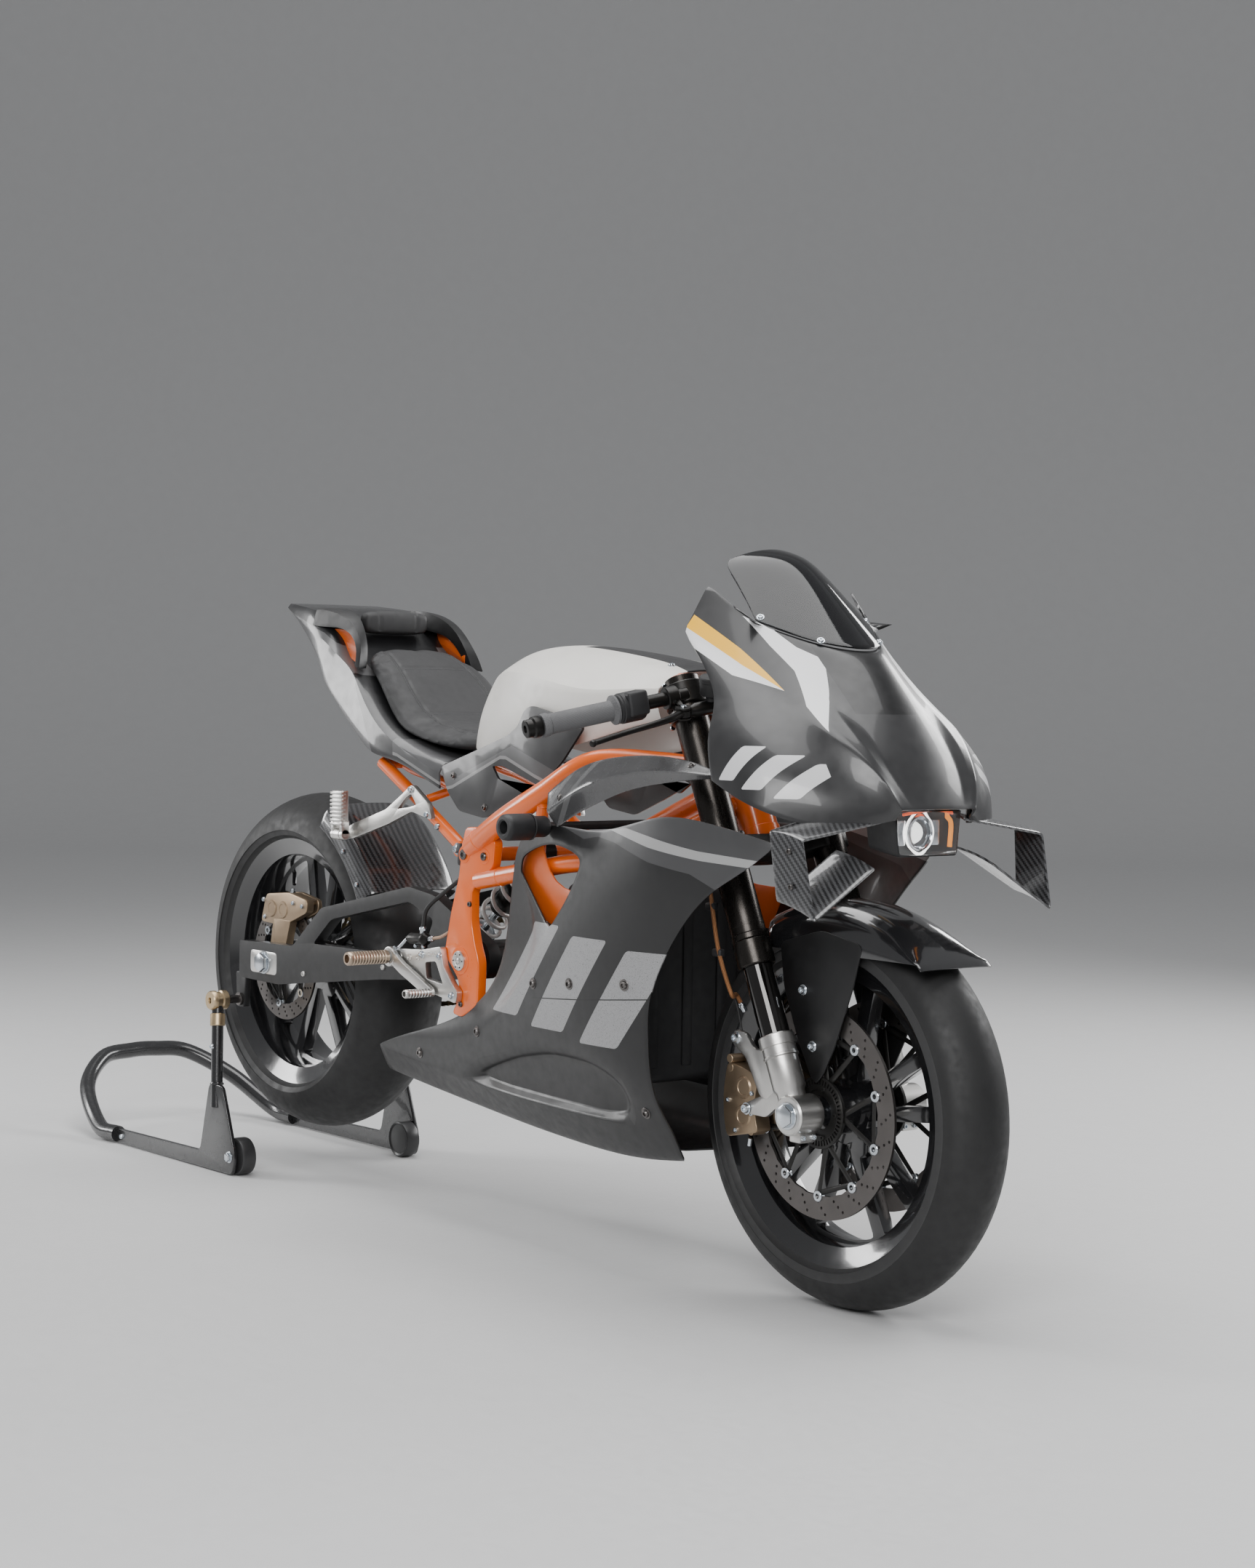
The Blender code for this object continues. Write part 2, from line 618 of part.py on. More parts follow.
# ---------------------------------------------------------------- swingarm and rear end
def arm_outline():
    x, z = SWINGARM_PIVOT
    nose = circle((x, z), 0.034, 7, radians(-70), radians(75))
    return [(-0.092, 0.362), (0.050, 0.360), (0.399, 0.402), (0.532, 0.413), *nose,
            (0.560, 0.562), (0.482, 0.572), (0.197, 0.514), (0.099, 0.436), (-0.092, 0.432)]


arm_window = [(0.170, 0.446), (0.232, 0.496), (0.483, 0.546), (0.560, 0.520), (0.523, 0.452)]
pivot_bore = rod(at_y(SWINGARM_PIVOT, -0.2), at_y(SWINGARM_PIVOT, 0.2), 0.0103, 20)
axle_bore = rod(at_y(REAR_AXLE, -0.2), at_y(REAR_AXLE, 0.2), AXLE_BORE_R, 20)
arms = [plate([arm_outline(), arm_window], *span(side, SWINGARM_IN_Y, SWINGARM_OUT_Y))
        for side in (-1, 1)]
spool_lugs = [plate([[(-0.105, 0.372), (-0.100, 0.305), (-0.074, 0.305), (-0.066, 0.372)]],
                    *span(side, 0.123, SWINGARM_OUT_Y)) for side in (-1, 1)]
spools = [rod(at_y(SPOOL, side * 0.130), at_y(SPOOL, side * 0.200), 0.0080, 16)
          for side in (-1, 1)]
pivot_tube = rod(at_y(SWINGARM_PIVOT, -0.12), at_y(SWINGARM_PIVOT, 0.12), 0.018, 20)
bridge = box((0.560, -0.115, 0.424), (0.625, 0.115, 0.482), 0.006)
shock_ears = [plate([[(0.570, 0.430), (0.470, 0.441), (0.457, 0.455), (0.470, 0.467),
                      (0.570, 0.452)]], *span(side, 0.016, 0.024)) for side in (-1, 1)]
shock_pin = rod(at_y(SHOCK_EYE, -0.020), at_y(SHOCK_EYE, 0.020), 0.0060, 16)
finish("swingarm", SWINGARM, BLACK, arms[0],
       add=(pivot_tube, bridge, arms[1], *spool_lugs, *spools, *shock_ears, shock_pin),
       cut=(pivot_bore, axle_bore))

mudguard("rear_hugger", SWINGARM, REAR_AXLE, [(0.292, 0.1005), (0.325, 0.0995), (0.338, 0.085),
                                              (0.342, 0.0)], (26, 64), CARBON)

rear_axle = rod(at_y(REAR_AXLE, -0.147), at_y(REAR_AXLE, 0.147), AXLE_R, 20)
rear_nuts = [rod(at_y(REAR_AXLE, side * (SWINGARM_OUT_Y + GAP)), at_y(REAR_AXLE, side * 0.150),
                 0.0185, 6) for side in (-1, 1)]
finish("rear_axle", SWINGARM, STEEL, rear_axle, add=rear_nuts)

caliper = plate([[(-0.057, 0.470), (0.024, 0.466), (0.107, 0.497), (0.107, 0.520),
                  (0.043, 0.531), (-0.038, 0.524)]], -0.1120, -0.0770)
hanger = plate([circle(REAR_AXLE, 0.026, 16, radians(170), radians(370)) + [(0.050, 0.480),
                                                                            (-0.010, 0.480)],
                circle(REAR_AXLE, AXLE_BORE_R, 20)], -0.1120, -0.0962)
disc_slot = plate([circle(REAR_AXLE, 0.1135, 48)], -0.0952, -0.0866)
finish("rear_caliper", SWINGARM, BRONZE, caliper, add=(hanger,), cut=(disc_slot,))


def belt_outline(front_r, rear_r):
    """The outline of a chain round its two sprockets."""
    (fx, fz), (rx, rz) = DRIVE_SPROCKET, REAR_AXLE
    tilt = atan2(fz - rz, fx - rx)
    lean = asin((rear_r - front_r) / hypot(fx - rx, fz - rz))
    front = circle(DRIVE_SPROCKET, front_r, 9, tilt - pi / 2 + lean, tilt + pi / 2 - lean)
    rear = circle(REAR_AXLE, rear_r, 20, tilt + pi / 2 - lean, tilt + 1.5 * pi + lean)
    return front + rear


finish("chain", SWINGARM, STEEL, plate([belt_outline(0.0480, 0.1115), belt_outline(0.0370, 0.1000)],
                                       CHAIN_Y - 0.0085, CHAIN_Y + 0.0080))
sprocket("drive_sprocket", SPROCKET, 0.0275, 12, 0.0103, 0.1000, 0.1070, DRIVE_SPROCKET)

shock_way = (at_y(SHOCK_EYE) - at_y(SHOCK_TOP)).normalized()
shock_length = (at_y(SHOCK_EYE) - at_y(SHOCK_TOP)).length
top_ring = rod(at_y(SHOCK_TOP, -0.015), at_y(SHOCK_TOP, 0.015), 0.021, 20)
damper = rod(at_y(SHOCK_TOP) + shock_way * 0.016, at_y(SHOCK_TOP) + shock_way * 0.165, 0.0200, 24)
seat_ring = rod(at_y(SHOCK_TOP) + shock_way * 0.045, at_y(SHOCK_TOP) + shock_way * 0.055, 0.0300, 24)
rod_bore = rod(at_y(SHOCK_TOP) + shock_way * 0.060, at_y(SHOCK_TOP) + shock_way * 0.17, 0.0073, 16)
top_bore = rod(at_y(SHOCK_TOP, -0.1), at_y(SHOCK_TOP, 0.1), 0.0125, 20)
finish("shock_body", SHOCK, BLACK, top_ring, add=(damper, seat_ring), cut=(rod_bore, top_bore))

eye_ring = rod(at_y(SHOCK_EYE, -0.013), at_y(SHOCK_EYE, 0.013), 0.0155, 20)
shaft = rod(at_y(SHOCK_EYE) - shock_way * 0.011, at_y(SHOCK_EYE) - shock_way * (shock_length - 0.095),
            0.0070, 16)
cup = rod(at_y(SHOCK_EYE) - shock_way * 0.050, at_y(SHOCK_EYE) - shock_way * 0.060, 0.0260, 24)
eye_bore = rod(at_y(SHOCK_EYE, -0.1), at_y(SHOCK_EYE, 0.1), 0.0090, 20)
finish("shock_rod", SHOCK_ROD, STEEL, eye_ring, add=(shaft, cup), cut=(eye_bore,))

# ---------------------------------------------------------------- frame, motor and battery
RAIL = [(1.188, -0.018, 0.792), (1.118, -0.082, 0.806), (1.034, -0.158, 0.806),
        (0.935, -0.182, 0.755), (0.820, -0.180, 0.705), (0.713, -0.165, 0.655)]
LOWER_RAIL = [(1.222, -0.020, 0.745), (1.110, -0.140, 0.665), (0.960, -0.165, 0.640),
              (0.735, -0.165, 0.600)]
PLATE_OUTLINE = [(0.696, 0.660), (0.687, 0.604), (0.666, 0.544), (0.647, 0.470), (0.668, 0.452),
                 (0.690, 0.430), (0.693, 0.403), (0.672, 0.372), (0.700, 0.368), (0.746, 0.393),
                 (0.748, 0.466), (0.735, 0.494), (0.725, 0.531), (0.724, 0.582), (0.756, 0.605),
                 (0.784, 0.625), (0.790, 0.670), (0.740, 0.690), (0.705, 0.688)]
PLATE_Y = (0.1555, 0.1750)

head = rod(steer_point(0, 0, HEAD_TUBE[0]), steer_point(0, 0, HEAD_TUBE[1]), 0.030, 20)
head_bore = rod(steer_point(0, 0, 0.4), steer_point(0, 0, 0.7), STEM_R + GAP, 20)
frame_adds = []
for side in (-1, 1):
    frame_adds.append(tube(bend([other_side(p, side) for p in RAIL], 2), 0.019))
    frame_adds.append(tube(bend([other_side(p, side) for p in LOWER_RAIL], 2), 0.015, 1))
    frame_adds.append(plate([PLATE_OUTLINE], *span(side, *PLATE_Y)))
    frame_adds.append(rod((0.935, side * 0.183, 0.752), (0.900, side * 0.166, 0.632), 0.010, 12))
frame_adds.append(rod(at_y(SHOCK_TOP, -0.160), at_y(SHOCK_TOP, 0.160), 0.0120, 16))
frame_adds.append(rod((0.700, -0.160, 0.380), (0.700, 0.160, 0.380), 0.0090, 16))
plate_bore = rod(at_y(SWINGARM_PIVOT, -0.2), at_y(SWINGARM_PIVOT, 0.2), 0.0103, 20)
finish("main_frame", CHASSIS, ORANGE, head, add=frame_adds, cut=(head_bore, plate_bore))

pivot_axle = rod(at_y(SWINGARM_PIVOT, -0.1775), at_y(SWINGARM_PIVOT, 0.1775), 0.0100, 20)
pivot_heads = [rod(at_y(SWINGARM_PIVOT, side * (PLATE_Y[1] + GAP)),
                   at_y(SWINGARM_PIVOT, side * 0.1800), 0.0165, 20) for side in (-1, 1)]
finish("swingarm_pivot_axle", CHASSIS, SILVER, pivot_axle, add=pivot_heads)

finish("battery_case", CHASSIS, BLACK, box((0.902, -0.120, 0.290), (1.085, 0.120, 0.610), 0.020))
motor = rod((0.820, -0.095, 0.455), (0.820, 0.095, 0.455), 0.070, 24)
gear_cover = rod(at_y(DRIVE_SPROCKET, 0.060), at_y(DRIVE_SPROCKET, 0.0950), 0.0360, 20)
finish("motor", CHASSIS, GREY, motor, add=(gear_cover,),
       then_add=(rod(at_y(DRIVE_SPROCKET, 0.080), at_y(DRIVE_SPROCKET, 0.110), 0.0100, 16),))

SUBFRAME_Y = 0.1400
subframe_adds = []
for side in (-1, 1):
    low = [(0.652, SUBFRAME_Y, 0.648), (0.520, SUBFRAME_Y, 0.722), (0.400, SUBFRAME_Y, 0.786)]
    high = [(0.650, 0.095, 0.722), (0.500, 0.095, 0.762), (0.400, 0.095, 0.786),
            (0.280, 0.092, 0.862), (0.110, 0.080, 0.975)]
    subframe_adds.append(tube(bend([(x, side * y, z) for x, y, z in low], 2), 0.0110, 1))
    subframe_adds.append(tube(bend([(x, side * y, z) for x, y, z in high], 2), 0.0095, 1))
cross = rod((0.400, -0.140, 0.786), (0.400, 0.140, 0.786), 0.0105, 16)
finish("subframe", CHASSIS, ORANGE, cross, add=subframe_adds)

bobbin_bar = rod((0.985, -0.225, 0.704), (0.985, 0.225, 0.704), 0.0070, 14)
bobbins = [rod((0.985, side * 0.2160, 0.704), (0.985, side * 0.300, 0.704), 0.0215, 24)
           for side in (-1, 1)]
finish("crash_bobbins", CHASSIS, BLACK, bobbin_bar, add=bobbins)


# ---------------------------------------------------------------- footrests and pedal
def footrest_bracket(side):
    outline = [(0.500, 0.446), (0.500, 0.468), (0.600, 0.474), (0.655, 0.484), (0.664, 0.452),
               (0.690, 0.424), (0.706, 0.412), (0.702, 0.392), (0.640, 0.402), (0.600, 0.408),
               (0.585, 0.440)]
    window = [(0.612, 0.424), (0.608, 0.456), (0.644, 0.460), (0.668, 0.420)]
    rest = rod(at_y(PEG_AXIS, side * 0.180), at_y(PEG_AXIS, side * 0.285), 0.0090, 16)
    tip = rod(at_y(PEG_AXIS, side * 0.2035), at_y(PEG_AXIS, side * 0.285), 0.0120, 16)
    return plate([outline, window], *span(side, 0.1755, 0.1880)), (rest, tip)


def passenger_bracket(side):
    """The Y-shaped hanger with its peg pivot lug."""
    outline = [(0.590, 0.696), (0.578, 0.722), (0.530, 0.752), (0.508, 0.738), (0.450, 0.706),
               (0.345, 0.676), (0.318, 0.664), (0.320, 0.648), (0.345, 0.650), (0.455, 0.680),
               (0.530, 0.706)]
    x, y, z = PASSENGER_PIVOT
    web = box((x - 0.008, min(side * 0.158, side * y), z - 0.007),
              (x + 0.008, max(side * 0.158, side * y), z + 0.007))
    lug = rod((x - 0.009, side * y, z), (x + 0.009, side * y, z), 0.0100, 16)
    bore = rod((x - 0.02, side * y, z), (x + 0.02, side * y, z), 0.0043, 12)
    return plate([outline], *span(side, 0.1560, 0.1660)), (web, lug), (bore,)


def passenger_peg(side):
    """A folding peg, folded up: two ears, their pin and the tread."""
    x, y, z = PASSENGER_PIVOT
    y *= side
    tread = box((x - 0.0190, y - 0.0100, z + 0.0150), (x + 0.0190, y + 0.0100, z + 0.078), 0.003)
    ears = []
    for way in (-1, 1):
        near, far = x + way * 0.0095, x + way * 0.0185
        ears.append(rod((near, y, z), (far, y, z), 0.0095, 16))
        ears.append(box((min(near, far), y - 0.008, z), (max(near, far), y + 0.008, z + 0.025)))
    pin = rod((x - 0.015, y, z), (x + 0.015, y, z), 0.0038, 12)
    return tread, (*ears, pin)


pair("footrest_bracket", CHASSIS, SILVER, footrest_bracket)
pair("passenger_bracket", CHASSIS, SILVER, passenger_bracket)
for word, side in (("right", -1), ("left", 1)):
    x, y, z = PASSENGER_PIVOT
    body = pivot(f"passenger_peg_axis_{word}", (x, side * y, z), CHASSIS)
    finish(f"passenger_peg_{word}", body, BLACK, *passenger_peg(side))

pedal_ring = plate([circle(PEG_AXIS, 0.0175, 20), circle(PEG_AXIS, 0.0095, 20)], -0.2010, -0.1910)
pedal_arm = plate([[(0.530, 0.464), (0.560, 0.448), (0.645, 0.413), (0.648, 0.399), (0.630, 0.399),
                    (0.552, 0.430), (0.528, 0.444)]], -0.2010, -0.1910)
toe = rod((0.640, -0.195, 0.4055), (0.640, -0.250, 0.4055), 0.0075, 14)
finish("brake_pedal", PEDAL, SILVER, pedal_ring, add=(pedal_arm, toe))


# ---------------------------------------------------------------- bodywork
def skin_rows(rows, side):
    return [[(x, side * y, z) for x, y, z in row] for row in rows]


FAIRING_ROWS = [
    [(0.953, 0.204, 0.708), (1.118, 0.225, 0.700), (1.334, 0.236, 0.744), (1.474, 0.168, 0.703)],
    [(0.895, 0.196, 0.630), (1.105, 0.232, 0.625), (1.310, 0.238, 0.665), (1.470, 0.172, 0.675)],
    [(0.838, 0.190, 0.525), (1.030, 0.232, 0.530), (1.210, 0.236, 0.560), (1.360, 0.214, 0.612)],
    [(0.815, 0.189, 0.418), (0.990, 0.225, 0.445), (1.150, 0.230, 0.460), (1.242, 0.212, 0.470)],
    [(0.590, 0.165, 0.316), (0.850, 0.204, 0.345), (1.080, 0.214, 0.350), (1.237, 0.202, 0.349)],
    [(0.412, 0.148, 0.290), (0.750, 0.176, 0.258), (1.050, 0.186, 0.252), (1.268, 0.174, 0.250)],
    [(0.402, 0.118, 0.238), (0.750, 0.130, 0.202), (1.050, 0.145, 0.182), (1.268, 0.152, 0.202)],
    [(0.430, 0.005, 0.226), (0.750, 0.005, 0.186), (1.000, 0.005, 0.170), (1.080, 0.005, 0.180)],
]


def side_fairing(side):
    skin = shell(skin_rows(FAIRING_ROWS, side), 0.004)
    hole = rod((0.985, side * 0.15, 0.704), (0.985, side * 0.26, 0.704), 0.0240, 20)
    return skin, (), (hole,)


def side_panel(side):
    outline = [(0.612, 0.786), (0.700, 0.810), (0.822, 0.850), (0.862, 0.882), (0.915, 0.880),
               (1.010, 0.857), (0.930, 0.790), (0.905, 0.772), (0.820, 0.734), (0.742, 0.704),
               (0.668, 0.713), (0.632, 0.746)]
    return (plate([outline], *span(side, 0.1570, 0.1615)),)


def intake_duct(side):
    outline = [(0.985, 0.738), (1.030, 0.766), (1.106, 0.806), (1.229, 0.828), (1.350, 0.816),
               (1.399, 0.796), (1.385, 0.786), (1.235, 0.774), (1.172, 0.758), (1.065, 0.722),
               (1.013, 0.712)]
    return (plate([outline], *span(side, 0.2100, 0.2330)),)


pair("side_fairing", CHASSIS, BLACK, side_fairing)
pair("side_panel", CHASSIS, GREY, side_panel)
pair("intake_duct", CHASSIS, GREY, intake_duct)


def closed_section(x, points):
    """A cross-section at one x from its right-hand (y, z) points, top to bottom."""
    right = [(x, -y, z) for y, z in points]
    left = [(x, y, z) for y, z in points[::-1]]
    return right + left


tank_sections = [
    closed_section(0.640, [(0.022, 0.972), (0.050, 0.950), (0.062, 0.905), (0.055, 0.878)]),
    closed_section(0.690, [(0.035, 0.988), (0.100, 0.946), (0.112, 0.890), (0.092, 0.836)]),
    closed_section(0.760, [(0.050, 0.996), (0.132, 0.950), (0.146, 0.888), (0.120, 0.806)]),
    closed_section(0.860, [(0.056, 0.991), (0.152, 0.945), (0.1545, 0.885), (0.130, 0.806)]),
    closed_section(0.980, [(0.062, 0.979), (0.150, 0.936), (0.1545, 0.882), (0.120, 0.836)]),
    closed_section(1.075, [(0.078, 0.966), (0.128, 0.936), (0.130, 0.896), (0.100, 0.872)])]
finish("tank_cover", CHASSIS, WHITE, loft(tank_sections))

seat_sections = [
    closed_section(0.632, [(0.050, 0.846), (0.080, 0.838), (0.086, 0.818), (0.070, 0.806)]),
    closed_section(0.560, [(0.080, 0.848), (0.120, 0.838), (0.128, 0.816), (0.110, 0.808)]),
    closed_section(0.470, [(0.085, 0.860), (0.132, 0.854), (0.138, 0.836), (0.115, 0.828)]),
    closed_section(0.395, [(0.080, 0.920), (0.125, 0.915), (0.136, 0.885), (0.110, 0.870)]),
    closed_section(0.330, [(0.070, 0.970), (0.115, 0.966), (0.120, 0.942), (0.100, 0.930)]),
    closed_section(0.250, [(0.060, 0.998), (0.090, 0.994), (0.094, 0.976), (0.080, 0.970)])]
finish("seat_pad", CHASSIS, SEAT, loft(seat_sections))
finish("tail_pad", CHASSIS, SEAT, box((0.2005, -0.072, 1.012), (0.238, 0.072, 1.062), 0.006))

tail_sections = [both_sides(row) for row in (
    [(0.600, 0.156, 0.748), (0.600, 0.158, 0.775), (0.600, 0.145, 0.792), (0.600, 0, 0.792)],
    [(0.470, 0.160, 0.796), (0.470, 0.162, 0.815), (0.470, 0.148, 0.822), (0.470, 0, 0.822)],
    [(0.395, 0.162, 0.800), (0.395, 0.160, 0.862), (0.395, 0.145, 0.864), (0.395, 0, 0.864)],
    [(0.340, 0.150, 0.806), (0.330, 0.150, 0.912), (0.330, 0.130, 0.920), (0.330, 0, 0.920)],
    [(0.250, 0.135, 0.878), (0.250, 0.138, 0.956), (0.250, 0.118, 0.963), (0.250, 0, 0.963)],
    [(0.215, 0.130, 0.915), (0.215, 0.138, 0.985), (0.196, 0.118, 1.004), (0.196, 0, 1.005)],
    [(0.196, 0.128, 0.938), (0.196, 0.138, 1.010), (0.180, 0.122, 1.062), (0.180, 0, 1.065)],
    [(0.110, 0.118, 1.004), (0.110, 0.134, 1.030), (0.105, 0.120, 1.066), (0.105, 0, 1.070)],
    [(0.030, 0.098, 1.044), (0.030, 0.112, 1.054), (0.020, 0.100, 1.068), (-0.020, 0, 1.073)])]
finish("tail_cowl", CHASSIS, BLACK, shell(tail_sections, 0.004))

nose_sections = [both_sides(row) for row in (
    [(1.452, 0.238, 0.800), (1.550, 0.192, 0.772), (1.636, 0.095, 0.760), (1.640, 0, 0.772)],
    [(1.413, 0.248, 0.864), (1.540, 0.190, 0.860), (1.615, 0.090, 0.835), (1.626, 0, 0.830)],
    [(1.440, 0.240, 0.915), (1.515, 0.188, 0.912), (1.568, 0.090, 0.908), (1.592, 0, 0.915)],
    [(1.350, 0.226, 1.010), (1.440, 0.172, 0.975), (1.500, 0.090, 0.958), (1.530, 0, 0.960)],
    [(1.340, 0.204, 1.050), (1.408, 0.152, 1.016), (1.459, 0.076, 0.982), (1.500, 0, 0.972)])]
finish("nose_fairing", CHASSIS, GREY, shell(nose_sections, 0.0035))

screen_sections = [both_sides(row) for row in (
    [(1.334, 0.204, 1.060), (1.400, 0.150, 1.027), (1.451, 0.075, 0.993), (1.492, 0, 0.984)],
    [(1.312, 0.150, 1.096), (1.356, 0.110, 1.080), (1.392, 0.055, 1.066), (1.408, 0, 1.060)],
    [(1.267, 0.070, 1.136), (1.276, 0.048, 1.140), (1.284, 0.024, 1.143), (1.287, 0, 1.1435)])]
finish("windscreen", CHASSIS, SMOKE, shell(screen_sections, 0.003))

finish("headlight", CHASSIS, LAMP, box((1.560, -0.068, 0.688), (1.640, 0.068, 0.757), 0.012))


def wing(side):
    """One side of the winglet: upper plane, end plate and lower plane, as a folded strip."""
    front = [(1.620, 0.080, 0.742), (1.622, 0.246, 0.716), (1.648, 0.240, 0.599), (1.640, 0.120, 0.672)]
    rear = [(1.540, 0.110, 0.752), (1.560, 0.252, 0.728), (1.572, 0.246, 0.622), (1.560, 0.120, 0.694)]
    return shell([[(x, side * y, z) for x, y, z in front], [(x, side * y, z) for x, y, z in rear]],
                 0.004)


wing_bar = box((1.555, -0.100, 0.7620), (1.615, 0.100, 0.7665))
wing_posts = [box((1.562, min(side * 0.094, side * 0.099), 0.744),
                  (1.610, max(side * 0.094, side * 0.099), 0.765)) for side in (-1, 1)]
finish("winglets", CHASSIS, CARBON, wing(-1), add=(wing(1), wing_bar, *wing_posts))


# ---------------------------------------------------------------- paddock stand
def stand_side(side):
    """An arm along the floor with its upright, the roller pin, the post and the eye."""
    arm = plate([[(-0.470, 0.0), (-0.470, 0.030), (-0.110, 0.034), (-0.078, 0.165),
                  (-0.030, 0.165), (0.014, 0.052), (0.020, 0.030), (0.010, 0.0)]],
                *span(side, 0.2005, 0.2085))
    pin = rod((0, side * 0.165, ROLLER_R), (0, side * 0.204, ROLLER_R), 0.0060, 12)
    post = rod((-0.055, side * 0.2045, 0.120), (-0.086, side * 0.186, 0.310), 0.0110, 16)
    head = rod(at_y(SPOOL, side * 0.168), at_y(SPOOL, side * 0.203), 0.0185, 20)
    return [arm, pin, post, head]


LOOP_R = 0.016
LOOP_BOW = 0.0012                  # how far the curve bulges past its last points
LOOP = [(-0.440, 0.2045, 0.0185), (-0.520, 0.2045, 0.024), (-0.640, 0.170, 0.085),
        (-0.706, 0.100, 0.133), (STAND_REAR_X + LOOP_R + LOOP_BOW, 0.030, 0.142)]
loop = tube(bend([*[(x, -y, z) for x, y, z in LOOP], *LOOP[::-1]], 2), LOOP_R)
eyes = [rod(at_y(SPOOL, side * 0.150), at_y(SPOOL, side * 0.220), 0.0083, 16) for side in (-1, 1)]
finish("stand_frame", STAND, BLACK, loop, add=(*stand_side(-1), *stand_side(1)), cut=eyes)

for word, side in (("right", -1), ("left", 1)):
    body = pivot(f"stand_roller_axis_{word}", (0, side * 0.183, ROLLER_R), STAND)
    roller = rod((0, side * 0.168, ROLLER_R), (0, side * 0.198, ROLLER_R), ROLLER_R, 24)
    roller_bore = rod((0, side * 0.1, ROLLER_R), (0, side * 0.25, ROLLER_R), 0.0063, 16)
    finish(f"stand_roller_{word}", body, RUBBER, roller, cut=(roller_bore,))
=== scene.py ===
# %% [markdown]
# # A sport motorcycle on its paddock stand
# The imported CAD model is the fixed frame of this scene.  It says where every part is and
# what moves with what.  This script builds the finished look of each part around it: new
# meshes made with bmesh, and procedural materials.

# %% Load the frame
import json
from math import asin, atan2, cos, degrees, exp, hypot, pi, radians, sin, tau

import bmesh
import bpy
from mathutils import Matrix, Vector
from mathutils.bvhtree import BVHTree


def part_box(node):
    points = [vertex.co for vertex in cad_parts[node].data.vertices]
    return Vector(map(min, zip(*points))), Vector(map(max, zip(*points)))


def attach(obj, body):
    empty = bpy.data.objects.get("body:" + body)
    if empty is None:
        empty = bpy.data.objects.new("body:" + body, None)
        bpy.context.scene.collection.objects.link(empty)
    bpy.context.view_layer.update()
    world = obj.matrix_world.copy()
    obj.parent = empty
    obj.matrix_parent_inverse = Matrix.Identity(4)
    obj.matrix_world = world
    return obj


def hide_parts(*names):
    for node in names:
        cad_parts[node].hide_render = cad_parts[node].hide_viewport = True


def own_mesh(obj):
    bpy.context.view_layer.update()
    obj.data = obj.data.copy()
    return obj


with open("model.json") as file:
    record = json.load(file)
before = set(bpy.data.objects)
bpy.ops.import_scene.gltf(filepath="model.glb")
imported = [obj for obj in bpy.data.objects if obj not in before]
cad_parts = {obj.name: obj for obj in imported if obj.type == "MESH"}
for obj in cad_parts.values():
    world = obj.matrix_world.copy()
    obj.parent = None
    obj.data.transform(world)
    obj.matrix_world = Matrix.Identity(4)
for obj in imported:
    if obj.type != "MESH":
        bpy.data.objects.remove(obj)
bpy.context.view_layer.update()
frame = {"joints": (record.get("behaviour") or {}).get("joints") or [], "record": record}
NODE_BODY = {node: body for body, nodes in frame["record"]["behaviour"]["bodies"].items()
             for node in nodes}

# %% [markdown]
# Everything on a motorcycle is set out from its two axles, so the axles are read from the
# tyres' boxes.  `at` gives a point measured forward from the rear axle; y is to the
# rider's left and z is up from the floor.

# %% Driving dimensions
def middle(node):
    """The middle of a CAD node's box."""
    low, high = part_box(node)
    return (low + high) / 2


def reach(node, axis=2):
    """Half of a CAD node's size along one axis: a wheel's radius, for instance."""
    low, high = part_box(node)
    return (high[axis] - low[axis]) / 2


REAR_AXLE = middle("rear_tyre")
FRONT_AXLE = middle("front_tyre")


def at(x, y, z):
    """A point x ahead of the rear axle, y to the rider's left and z above the floor."""
    return Vector((REAR_AXLE.x + x, y, z))


FLANGE_R = 0.2325                # a 17 inch wheel over its rim flanges
FRONT_RIM_HALF = 0.051
REAR_RIM_HALF = 0.076
SIDES = {"right": -1, "left": 1}
steering = next(j for j in frame["joints"] if j["name"] == "steering_turn")
STEER_UP = Vector(steering["axis"])
STEER_AHEAD = Vector((STEER_UP.z, 0, -STEER_UP.x))
STEER_FOOT = Vector(steering["pos_m"]) - STEER_UP * 0.5
FORK_OFFSET = 0.030              # the legs stand ahead of the steering axis
FORK_Y = 0.105


def fork_at(side, along, ahead=FORK_OFFSET, y=FORK_Y):
    """A point on a fork leg, given by its height along the steering axis."""
    return STEER_FOOT + STEER_AHEAD * ahead + STEER_UP * along + Vector((0, side * y, 0))


print(f"wheelbase {FRONT_AXLE.x - REAR_AXLE.x:.3f} m, rake {radians(90) - asin(STEER_UP.z):.3f} rad")

# %% [markdown]
# The camera stands low at the front right corner with a short telephoto lens, which keeps
# the wheels round and the bike long.  Its place is given from the rear axle as well.

# %% Camera
CAMERA_AT = at(4.53423, -2.85930, 0.93325)
CAMERA_YAW, CAMERA_PITCH, CAMERA_ROLL = radians(141.6565), radians(-2.0721), radians(0.9016)
LENS = 64.20                     # mm, on a 36 mm sensor along the picture's long side

